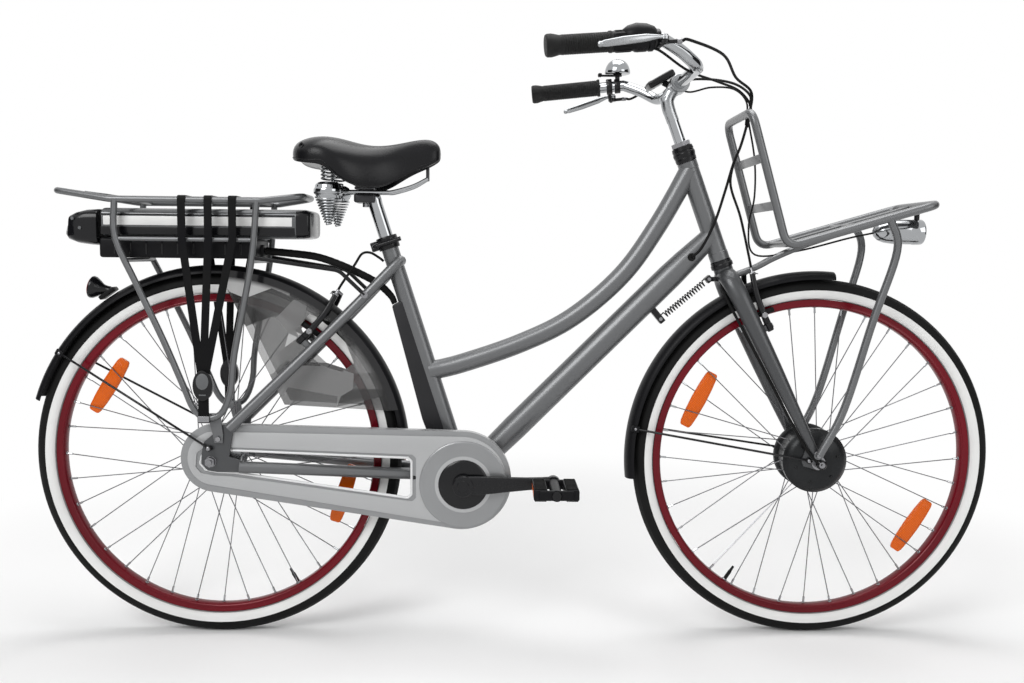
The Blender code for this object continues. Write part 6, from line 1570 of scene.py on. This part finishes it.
cover = Piece("saddleCover")
rows = [saddleRing(*stop) for stop in saddleStops]
verts = [cover.bm.verts.new(point) for point in rows[0]]
edges = [cover.bm.edges.new((verts[i - 1], verts[i])) for i in range(len(verts))]
bmesh.ops.edgeloop_fill(cover.bm, edges=edges)
for row in rows[1:]:
    made = bmesh.ops.extrude_edge_only(cover.bm, edges=edges)["geom"]
    fresh = [g for g in made if isinstance(g, bmesh.types.BMVert)]
    edges = [g for g in made if isinstance(g, bmesh.types.BMEdge)]
    verts = [
        next(v for v in (e.other_vert(old) for e in old.link_edges) if v in fresh) for old in verts
    ]
    for vert, point in zip(verts, row):
        vert.co = point
bmesh.ops.edgeloop_fill(cover.bm, edges=edges)
cover.settle("vinyl")
saddle = cover.done("saddle", "saddle_vinyl", "saddle_top", sharp=180)
smooth = saddle.modifiers.new("round", "SUBSURF")
smooth.levels = smooth.render_levels = 2

trim = Piece("saddleTrim")
for side in (-1, 1):
    hems = [row[0 if side > 0 else 12] for row in rows[1:-1]]
    seam = [Vector((hem.x, hem.y * 0.985, hem.z + 0.0055)) for hem in hems]
    trim.bent(seam, 4, 0.0011, "vinyl", 10)
for side in (-1, 1):
    for spot, outward in (
        (at(0.1562, 0.933, side * 0.03), (-0.95, side * 0.28, 0.12)),
        (at(0.1735, 0.937, side * 0.074), (-0.62, side * 0.72, 0.3))
    ):
        trim.turned(
            [
                (0.0042, 0.0002), (0.0056, 0.0014), (0.007, 0.001), (0.0074, -0.006),
                (0.0042, -0.006)
            ],
            spot, outward, "blackGloss", 28, True
        )
        trim.turned(
            [(0.0, -0.001), (0.003, -0.0016), (0.0044, -0.003), (0.0, -0.003)], spot, outward,
            "chrome", 20
        )
trim.done("saddle", "saddle_vinyl")
print("scene: saddle ready")


# handlebar, stem, grips and controls

barLook = {
    "radius": 0.011, "centre": (0.8763, 1.0695), "half": 0.168, "near": (0.79, 1.1032, 0.2316),
    "tip": (0.611, 1.086, 0.25)
}
barNear, barTip = at(*barLook["near"]), at(*barLook["tip"])
barWay = (barTip - barNear).normalized()
barCentre = at(*barLook["centre"])
halfBar = flowing(
    [
        barCentre + barLook["half"] * yAxis, at(0.865, 1.072, 0.196), at(0.837, 1.089, 0.2135),
        barNear - 0.012 * barWay
    ],
    9
)
leftHalf = [barCentre + 0.1 * yAxis, *halfBar, barTip]
bar = Piece("handlebarDetail")
bar.tube(
    [Vector((p.x, -p.y, p.z)) for p in leftHalf[::-1]] + leftHalf, barLook["radius"], "chrome", 28
)
bar.done("fork", "chrome", "handlebar")

stemLook = {"rise": 0.131, "quillFrom": 0.1335, "quill": 0.0111, "neck": 0.0119, "head": 0.0125}
stem = Piece("stemDetail")
quillTop = headTop + stemLook["rise"]
quillFoot = steer(headLow + stemLook["quillFrom"])
stem.rod(quillFoot, steer(quillTop), stemLook["quill"], "chrome", 32)
stem.turned(
    [
        (0.0111, -0.02), (0.0165, -0.02), (0.0178, -0.0185), (0.018, -0.016), (0.0172, 0.0),
        (0.018, 0.016), (0.0178, 0.0185), (0.0165, 0.02), (0.0111, 0.02)
    ],
    barCentre, yAxis, "aluminium", 48, True
)
stem.bent(
    [
        steer(quillTop - 0.05), steer(quillTop - 0.02), steer(quillTop - 0.004, 0.006),
        barCentre - 0.006 * headForward
    ],
    6, [stemLook["neck"]] * 4 + [stemLook["head"]] * 15, "aluminium", 28
)
stem.block(
    barCentre + Vector((-0.0165, 0, -0.0095)), (0.01, 0.026, 0.01), "aluminium", (0.7, 0, 0.7),
    0.002
)
stem.rod(steer(quillTop - 0.002), steer(quillTop + 0.0014), 0.0066, "steel", 24)
stem.done("fork", "aluminium", "stem")


def onBar(side, distance):
    point = barTip - distance * barWay
    return Vector((point.x, side * point.y, point.z))


def barDirection(side):
    return Vector((barWay.x, side * barWay.y, barWay.z))


for side, word, length in ((-1, "right", 0.108), (1, "left", 0.142)):
    start = onBar(side, length)
    profile = [
        (0.0112, length + 0.0003), (0.0112, 0.0), (0.0176, 0.0), (0.018, 0.0012), (0.018, 0.0042),
        (0.0172, 0.0056)
    ]
    ribs = round((length - 0.03) / 0.0042)
    for i in range(ribs):
        z = 0.008 + (length - 0.032) * i / ribs
        profile += [(0.0157, z), (0.0165, z + 0.0012), (0.0165, z + 0.003)]
    profile += [
        (0.0158, length - 0.02), (0.0178, length - 0.012), (0.019, length - 0.006),
        (0.0188, length + 0.001), (0.017, length + 0.0035), (0.0, length + 0.004)
    ]
    grip = Piece(word + "GripDetail")
    grip.turned(
        [(0.0, length + 0.0003)] + profile, start, barDirection(side), "gripRubber", 48, chart=True
    )
    grip.done("fork", "rubber", "grip_" + word, sharp=60)

shifterLook = {"distance": 0.1685, "ribs": 14, "ribsAt": 0.0171}
shifterFrom = onBar(-1, shifterLook["distance"])
shifter = Piece("shifterDetail")
shifter.turned(
    [
        (0.0116, 0.0), (0.0172, 0.0), (0.0184, 0.001), (0.0195, 0.004), (0.0195, 0.0195),
        (0.0188, 0.0225), (0.0172, 0.0245), (0.0172, 0.0585), (0.0166, 0.06), (0.0116, 0.06)
    ],
    shifterFrom, barDirection(-1), "blackSatin", 48, True
)
for i in range(shifterLook["ribs"]):
    swing = Matrix.Rotation(math.tau * i / shifterLook["ribs"], 4, "Z")
    turn = toward(shifterFrom, barDirection(-1)) @ swing
    shifter.tube(
        [turn @ Vector((shifterLook["ribsAt"], 0, z)) for z in (0.028, 0.031, 0.053, 0.056)],
        [0.0006, 0.0013, 0.0013, 0.0006], "rubber", 8
    )
shifter.done("shifter", "black_plastic", "twist_shifter")

housing = Piece("gearHousing")
housing.turned(
    clampProfile(0.0113, 0.0185, 0.0196, 0.004, 0.003), onBar(-1, 0.1732), barDirection(-1),
    "blackSatin", 40, True
)
lidStops = (
    (0.1772, 0.001, 0.0165), (0.1745, 0.0025, 0.0195), (0.164, 0.005, 0.0215),
    (0.15, 0.0062, 0.022), (0.139, 0.005, 0.02), (0.132, 0.003, 0.0165), (0.13, 0.002, 0.013)
)
housing.tube(
    [onBar(-1, d) + up * zAxis for d, up, wide in lidStops],
    [(wide, wide) for d, up, wide in lidStops], "blackSatin", 36, side=zAxis
)
housing.done("fork", "black_plastic")

leverLook = {
    "right": {"distance": 0.1835, "lower": -0.004, "reach": -0.108, "drop": 0.0175},
    "left": {"distance": 0.162, "lower": -0.018, "reach": -0.098, "drop": 0.029}
}
# share of the length, bow to the outside, half height and half thickness
leverStops = (
    (0.0, 0.0, 0.003, 0.0055), (0.12, 0.003, 0.003, 0.0048), (0.3, 0.007, 0.0052, 0.0034),
    (0.65, 0.007, 0.0056, 0.0032), (0.93, 0.001, 0.0046, 0.0032), (1.0, 0.0, 0.0032, 0.0026)
)
cableFrom = {}
for side, word in ((-1, "right"), (1, "left")):
    look = leverLook[word]
    ringAt, ringWay = onBar(side, look["distance"]), barDirection(side)
    pin = ringAt - 0.01 * ringWay + side * 0.026 * yAxis + look["lower"] * zAxis
    elbow = Vector(((ringAt.x + pin.x) / 2, (ringAt.y + pin.y) / 2, pin.z - 0.0095))
    mount = Piece(word + "BrakeMount")
    mount.turned(
        clampProfile(0.0112, 0.0157, 0.0165, 0.006, 0.0048), ringAt, ringWay, "blackMetal", 36, True
    )
    mount.rod(pin - 0.0095 * zAxis, pin - 0.0035 * zAxis, 0.0085, "blackMetal", 28, edge=0.001)
    mount.bent([ringAt - 0.012 * zAxis, elbow, pin - 0.0068 * zAxis], 5, 0.004, "blackMetal", 18)
    mount.rod(pin - 0.006 * zAxis, pin + 0.0047 * zAxis, 0.003, "steel", 18)
    mount.rod(pin + 0.0035 * zAxis, pin + 0.0057 * zAxis, 0.006, "steel", 24)
    cableFrom[word] = pin - 0.0064 * zAxis - 0.03 * ringWay
    mount.rod(pin - 0.0064 * zAxis, cableFrom[word], 0.0034, "blackMetal", 18)
    mount.rod(cableFrom[word] + 0.009 * ringWay, cableFrom[word], 0.0046, "steel", 6)
    mount.done("fork", "black_metal", "brake_mount_" + word)
    tip = Vector((pin.x + look["reach"], side * 0.2845, pin.z - look["drop"]))
    path, radii = [], []
    for t, bow, high, thick in leverStops:
        here = pin.lerp(tip, t) + side * bow * yAxis
        here.z = pin.z - look["drop"] * max(0.0, t - 0.12) / 0.88
        path.append(here)
        radii.append((thick, high * 1.2))
    lever = Piece(word + "BrakeLever")
    lever.tube(path, radii, "aluminium", 20, 2.4, side=yAxis)
    lever.rod(pin - 0.0032 * zAxis, pin + 0.0032 * zAxis, 0.008, "aluminium", 32, edge=0.0006)
    lever.turned(
        [
            (0.0, -0.0048), (0.003, -0.0042), (0.0045, -0.0018), (0.0045, 0.0018), (0.003, 0.0042),
            (0.0, 0.0048)
        ],
        tip, (1, 0, 0), "aluminium", 24
    )
    lever.done("lever_" + word, "black_metal", "brake_lever_" + word)

bellLook = {"distance": 0.179, "rise": 0.0215, "post": 0.005}
bellFoot = onBar(1, bellLook["distance"])
bellBase = bellFoot + bellLook["rise"] * zAxis
bell = Piece("bellDetail")
bell.turned(
    [
        (0.0, 0.034), (0.0055, 0.0336), (0.011, 0.0322), (0.016, 0.0296), (0.0205, 0.0252),
        (0.024, 0.0192), (0.026, 0.013), (0.0268, 0.009), (0.027, 0.006), (0.0265, 0.0044),
        (0.0235, 0.0036), (0.0, 0.0036)
    ],
    bellBase, zAxis, "chrome", 56
)
bell.rod(bellFoot + 0.012 * zAxis, bellBase + 0.005 * zAxis, bellLook["post"], "blackMetal", 20)
bell.turned(
    clampProfile(0.0112, 0.0142, 0.015, 0.006, 0.0048), bellFoot, barWay, "blackMetal", 36, True
)
bell.rod(bellBase + 0.0335 * zAxis, bellBase + 0.0352 * zAxis, 0.0032, "chrome", 20, edge=0.0006)
bell.done("fork", "chrome", "bell_dome")
thumb = Piece("bellThumb")
thumb.turned(
    [(0.0058, -0.001), (0.0095, -0.001), (0.0095, 0.0026), (0.0058, 0.0026)], bellBase, zAxis,
    "blackSatin", 32, True
)
thumb.block(
    bellBase + Vector((-0.021, 0.004, 0.0008)), (0.036, 0.009, 0.0036), "blackSatin", edge=0.001
)
thumb.block(
    bellBase + Vector((-0.037, 0.004, 0.0018)), (0.008, 0.013, 0.0075), "blackSatin", edge=0.0022,
    segments=3
)
thumb.done("bell_lever", "black_plastic", "bell_lever")

displayLook = {"tilt": 30, "spot": (0.8475, 1.0835), "y": 0.045, "stalk": 0.006}
display = Piece("displayDetail")
displayTilt = math.radians(displayLook["tilt"])
displayWay = Vector((math.cos(displayTilt), 0, math.sin(displayTilt)))
displayUp = Vector((-displayWay.z, 0, displayWay.x))
displayAt = at(*displayLook["spot"], displayLook["y"])
displayClamp = barCentre + displayLook["y"] * yAxis
display.block(displayAt, (0.056, 0.052, 0.014), "blackGloss", displayWay, 0.004, 3)
display.block(
    displayAt + 0.0068 * displayUp + 0.004 * displayWay, (0.036, 0.042, 0.001), "screenGlass",
    displayWay, 0.0003
)
for i in (-1, 0, 1):
    display.block(
        displayAt + 0.007 * displayUp - 0.0215 * displayWay + 0.013 * i * yAxis,
        (0.006, 0.008, 0.0014), "rubber", displayWay, 0.0005
    )
display.turned(
    clampProfile(0.0112, 0.0145, 0.0152, 0.008, 0.007), displayClamp, yAxis, "blackSatin", 36, True
)
stalkEnd = displayClamp + 0.75 * (displayAt - displayClamp)
display.rod(displayClamp, stalkEnd, displayLook["stalk"], "blackSatin", 20)
display.done("fork", "black_plastic", "display")

# radii of the cables
cableLook = {
    "left": 0.0025, "brake": 0.0024, "bundle": 0.0026, "gear": 0.0022, "display": 0.0018,
    "lamp": 0.0018, "motor": 0.0028
}
cables = Piece("brakeCablesDetail")


def cordAlong(piece, route, word):
    piece.bent(route, 8, cableLook[word], "rubber", 12)


def armEnd(brake, beyond):
    low, high = brakeSpot(brake, 0.0845, 0.036, -0.038), brakeSpot(brake, 0.103, 0.042, -0.032)
    return high + beyond * (high - low).normalized()


bundle = [
    cableFrom["right"], cableFrom["right"] - 0.014 * barDirection(-1), at(0.925, 1.096, -0.15),
    at(0.973, 1.075, -0.05), at(1.014, 1.056, -0.006), at(1.013, 1.015, 0.0), at(1.0, 0.96, 0.0),
    at(0.985, 0.92, 0.0), at(0.97, 0.87, -0.006), at(0.948, 0.81, -0.023), at(0.923, 0.762, -0.033),
    port + Vector((0.003, -0.031, 0.003)), port + Vector((0, -0.024, 0))
]
leftRun = [
    cableFrom["left"], cableFrom["left"] - 0.014 * barDirection(1), at(0.87, 1.103, 0.208),
    at(0.935, 1.1, 0.115), at(0.985, 1.08, 0.035), at(1.012, 1.053, 0.0), at(1.014, 1.03, 0.0)
]
brakeRun = [
    at(0.986, 0.925, 0.0), at(0.98, 0.88, -0.006), at(0.996, 0.82, -0.024),
    armEnd(brakes["front"], 0.045), armEnd(brakes["front"], 0.02), armEnd(brakes["front"], 0.0003)
]
cordAlong(cables, leftRun, "left")
cordAlong(cables, brakeRun, "brake")
cables.rod(armEnd(brakes["front"], 0.001), armEnd(brakes["front"], 0.012), 0.0033, "steel", 16)
cables.done("fork", "rubber", "brake_cables")
# the bundle runs from the bar up to the port in the frame, baked in place on no body
rearBrakeRun = Piece("rearBrakeRun")
cordAlong(rearBrakeRun, bundle, "bundle")
made = rearBrakeRun.done(None, "rubber")
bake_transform(made)
gearRun = [
    onBar(-1, 0.17) - 0.015 * zAxis, onBar(-1, 0.19) - 0.019 * zAxis, at(0.86, 1.064, -0.17),
    at(0.93, 1.06, -0.09), at(0.985, 1.054, -0.03), at(1.014, 1.028, -0.006),
    at(1.009, 0.99, -0.0045)
]
displayRun = run(
    1, (0.868, 1.08, 0.045), (0.905, 1.064, 0.052), (0.945, 1.07, 0.032), (0.985, 1.064, 0.012),
    (1.009, 1.038, 0.006), (1.008, 0.995, 0.0045)
)
lampRun = run(
    1, (1.0125, 1.005, 0.003), (1.029, 0.93, 0.01), (1.032, 0.86, 0.014), (1.022, 0.8, 0.012),
    (1.033, 0.748, 0.0), (1.115, 0.756, 0.0), (1.215, 0.782, 0.0), (1.265, 0.793, 0.0)
)
motorRun = [
    steer(0.39, -0.014, -0.01), steer(0.36, -0.02, -0.036), steer(0.3, -0.013, -0.046),
    steer(0.2, 0.001, -0.0555), steer(0.1, 0.015, -0.061), steer(0.04, 0.0245, -0.0655),
    steer(0.012, 0.034, -0.0715), frontAxle - 0.0765 * yAxis
]
for word, route in (
    ("gear", gearRun), ("display", displayRun), ("lamp", lampRun), ("motor", motorRun)
):
    cord = Piece(word + "Cable")
    cordAlong(cord, route, word)
    cord.done("fork", "rubber")
rearCable = Piece("rearBrakeCableDetail")
rearRun = [
    at(0.3158, 0.728), at(0.306, 0.7355), at(0.29, 0.744), at(0.2742, 0.7415),
    at(0.262, 0.7205, -0.014), armEnd(brakes["rear"], 0.024), armEnd(brakes["rear"], 0.0003)
]
cordAlong(rearCable, rearRun, "brake")
rearCable.rod(armEnd(brakes["rear"], 0.001), armEnd(brakes["rear"], 0.012), 0.0033, "steel", 16)
rearCable.done("frame", "rubber", "rear_brake_cable")
print("scene: controls ready")


# front carrier and headlamp

carrierLook = {"tube": 0.0078, "half": 0.095, "length": 0.292, "height": 0.256, "tilt": 16.4}
tilt = math.radians(carrierLook["tilt"])
carrierForward = Vector((math.cos(tilt), 0, math.sin(tilt)))
carrierUp = Vector((-math.sin(tilt), 0, math.cos(tilt)))
carrierCorner = steer(0.4158, 0.103)


def carrierSpot(forward, up, y=0.0):
    return carrierCorner + forward * carrierForward + up * carrierUp + y * yAxis


carrier = Piece("frontCarrierDetail")
wide, deep, tall = carrierLook["half"], carrierLook["length"], carrierLook["height"]
loop = [
    carrierSpot(0, tall, -wide), carrierSpot(0, 0, -wide), carrierSpot(deep, 0, -wide),
    carrierSpot(deep, 0, wide), carrierSpot(0, 0, wide), carrierSpot(0, tall, wide)
]
carrier.tube(rounded(loop, 0.028, 9, True), carrierLook["tube"], "framePaint", 24, closed=True)
for up in (0.17, 0.08):
    carrier.block(
        carrierSpot(0, up), (0.005, 2 * wide, 0.017), "framePaint", carrierForward, 0.0018
    )
for forward, radius in ((0.024, 0.0058), (0.15, 0.005)):
    carrier.rod(
        carrierSpot(forward, 0, -wide), carrierSpot(forward, 0, wide), radius, "framePaint", 20
    )
for y in (-0.034, 0.034):
    carrier.block(
        carrierSpot((deep + 0.024) / 2, 0.0015, y), (deep - 0.024, 0.026, 0.004), "framePaint",
        carrierForward, 0.001
    )
carrier.block(steer(0.3905, 0.026), (0.022, 0.026, 0.008), "framePaint", headForward, 0.0016)
for y in (-0.009, 0.009):
    carrier.bent(
        [
            steer(0.3905, 0.022, y), steer(0.391, 0.06, y), steer(0.396, 0.1, y),
            carrierSpot(0.06, -0.0125, y), carrierSpot(0.15, -0.0085, y)
        ],
        6, 0.0052, "framePaint", 16
    )
legFoot = steer(0.019, 0.0415)
for side in (-1, 1):
    carrier.across(legFoot, side * 0.0701, side * 0.0741, 0.0085, "framePaint", 28, edge=0.0008)
    carrier.across(legFoot, side * 0.0741, side * 0.0785, 0.0052, "steel", 6)
    carrier.bent(
        [
            legFoot + side * 0.0769 * yAxis, at(1.1905, 0.4584, side * 0.078),
            at(1.2368, 0.625, side * 0.081), at(1.274, 0.7579, side * 0.088),
            carrierSpot(0.198, 0.0, side * wide)
        ],
        8, 0.0074, "framePaint", 20
    )
carrier.done("fork", "frame_paint", "front_carrier")

lampLook = {"spot": (1.3085, 0.795), "stay": 0.005}
lampAt = at(*lampLook["spot"])
lamp = Piece("headlampDetail")
lampShell = [
    (0.02, 0.044), (0.0212, 0.0472), (0.0232, 0.0475), (0.0245, 0.045), (0.0245, 0.03),
    (0.0238, 0.028), (0.024, 0.018), (0.0232, -0.01), (0.0208, -0.026), (0.0165, -0.037),
    (0.01, -0.044), (0.004, -0.047), (0.0, -0.0475)
]
lamp.turned(
    lampShell + [(0.0, -0.04), (0.012, -0.025), (0.02, 0.02)], lampAt, (1, 0, 0), "chrome", 56, True
)
lamp.turned(
    [(0.0, 0.0445), (0.01, 0.0438), (0.0205, 0.041), (0.0205, 0.0385), (0.0, 0.0405)], lampAt,
    (1, 0, 0), "lampPrism", 48
)
frontBar = carrierSpot(deep, 0.0)
lamp.rod(
    Vector((frontBar.x, 0, lampAt.z + 0.012)), Vector((frontBar.x, 0, frontBar.z - 0.0081)),
    lampLook["stay"], "blackMetal", 18
)
lamp.done("fork", "chrome", "headlamp")


# coat guards stay as their CAD panels, in the smoky finish

for word in ("right", "left"):
    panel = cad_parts["coat_guard_" + word]
    panel.data.materials.clear()
    panel.data.materials.append(finishes["smoke"])
print("scene: carrier and panels ready")


# floor, light and camera

scene = bpy.context.scene
scene.view_settings.view_transform = "Standard"
stageLook = {
    "floor": 9.0, "ambient": 0.28, "key": 106.0, "fill": 24.0, "top": 74.0, "fadeFrom": 0.95,
    "fadeTo": 1.8
}


def stagePiece(name, shape, finish):
    data = bpy.data.meshes.new(name)
    shape.to_mesh(data)
    shape.free()
    data.materials.append(finish)
    made = bpy.data.objects.new(name, data)
    scene.collection.objects.link(made)
    return made


# the floor fades to plain white away from the bike
paper, nodes, links, shader = newMaterial(
    "paper", {"Base Color": (0.93, 0.93, 0.93, 1), "Roughness": 0.7}
)
place = addNode(nodes, "TexCoord")
reach = addNode(nodes, "VectorMath", operation="LENGTH")
links.new(place.outputs["Object"], reach.inputs[0])
fadeLimits = {"From Min": stageLook["fadeFrom"], "From Max": stageLook["fadeTo"]}
fade = addNode(nodes, "MapRange", fadeLimits, interpolation_type="SMOOTHSTEP")
links.new(reach.outputs["Value"], fade.inputs["Value"])
glow = addNode(nodes, "Emission", {"Color": (1, 1, 1, 1)})
blendNode = addNode(nodes, "MixShader")
links.new(fade.outputs["Result"], blendNode.inputs["Fac"])
links.new(shader.outputs["BSDF"], blendNode.inputs[1])
links.new(glow.outputs["Emission"], blendNode.inputs[2])
links.new(blendNode.outputs["Shader"], nodes["Material Output"].inputs["Surface"])
floorMesh = bmesh.new()
bmesh.ops.create_grid(floorMesh, x_segments=4, y_segments=4, size=stageLook["floor"])
floor = stagePiece("studioFloor", floorMesh, paper)

world = bpy.data.worlds.new("studioWorld")
scene.world = world
world.use_nodes = True
nodes, links = world.node_tree.nodes, world.node_tree.links
seen = addNode(nodes, "LightPath").outputs
direct = mathOf(nodes, links, "MAXIMUM", seen["Is Camera Ray"], seen["Is Glossy Ray"])
direct = mathOf(nodes, links, "MAXIMUM", direct, seen["Is Transmission Ray"])
level = addNode(nodes, "MapRange", {"To Min": stageLook["ambient"], "To Max": 1.0})
links.new(direct, level.inputs["Value"])
nodes["Background"].inputs["Color"].default_value = (1, 1, 1, 1)
links.new(level.outputs["Result"], nodes["Background"].inputs["Strength"])


def areaLight(name, spot, aim, size, power):
    data = bpy.data.lights.new(name, "AREA")
    data.size = size
    data.energy = power
    made = bpy.data.objects.new(name, data)
    made.location = spot
    made.rotation_euler = (Vector(aim) - Vector(spot)).to_track_quat("-Z", "Y").to_euler()
    scene.collection.objects.link(made)


areaLight("keyLight", (-2.2, -3.0, 3.2), (0, 0, 0.6), 2.2, stageLook["key"])
areaLight("fillLight", (2.8, -2.4, 1.8), (0.2, 0, 0.5), 2.0, stageLook["fill"])
areaLight("topLight", (0.2, 0.4, 3.4), (0, 0, 0.5), 2.4, stageLook["top"])

# grey cards at both ends, seen only in reflections, give bare metal its darker bands
cardSettings = {"Base Color": (0.03, 0.03, 0.03, 1), "Specular IOR Level": 0.0}
cardFinish = newMaterial("greyCard", cardSettings)[0]
cardSpan = ((-2.3, 0.05), (1.3, 0.05), (1.3, 2.6), (-2.3, 2.6))
for name, x in (("cardRear", -3.6), ("cardFront", 3.6)):
    cardMesh = bmesh.new()
    cardMesh.faces.new([cardMesh.verts.new((x, y, z)) for y, z in cardSpan])
    card = stagePiece(name, cardMesh, cardFinish)
    card.visible_camera = card.visible_diffuse = False
    card.visible_shadow = card.visible_transmission = False

cameraLook = {
    "spot": (-0.05874, -1.89567, 0.74681), "yaw": 0.024173, "pitch": -0.090238, "roll": 0.010882,
    "focal": 980.67, "pixels": 1024, "sensor": 36.0
}
yaw, pitch, roll = cameraLook["yaw"], cameraLook["pitch"], cameraLook["roll"]
ahead = Vector((math.sin(yaw) * math.cos(pitch), math.cos(yaw) * math.cos(pitch), math.sin(pitch)))
right = Vector((math.cos(yaw), -math.sin(yaw), 0))
over = right.cross(ahead)
camX = right * math.cos(roll) + over * math.sin(roll)
camY = over * math.cos(roll) - right * math.sin(roll)
camera = bpy.data.objects.new("photoCamera", bpy.data.cameras.new("photoCamera"))
scene.collection.objects.link(camera)
turned = Matrix((camX, camY, -ahead)).transposed().to_4x4()
camera.matrix_world = Matrix.Translation(cameraLook["spot"]) @ turned
camera.data.sensor_width = cameraLook["sensor"]
camera.data.lens = cameraLook["focal"] / cameraLook["pixels"] * cameraLook["sensor"]
scene.camera = camera
print("scene: stage ready")
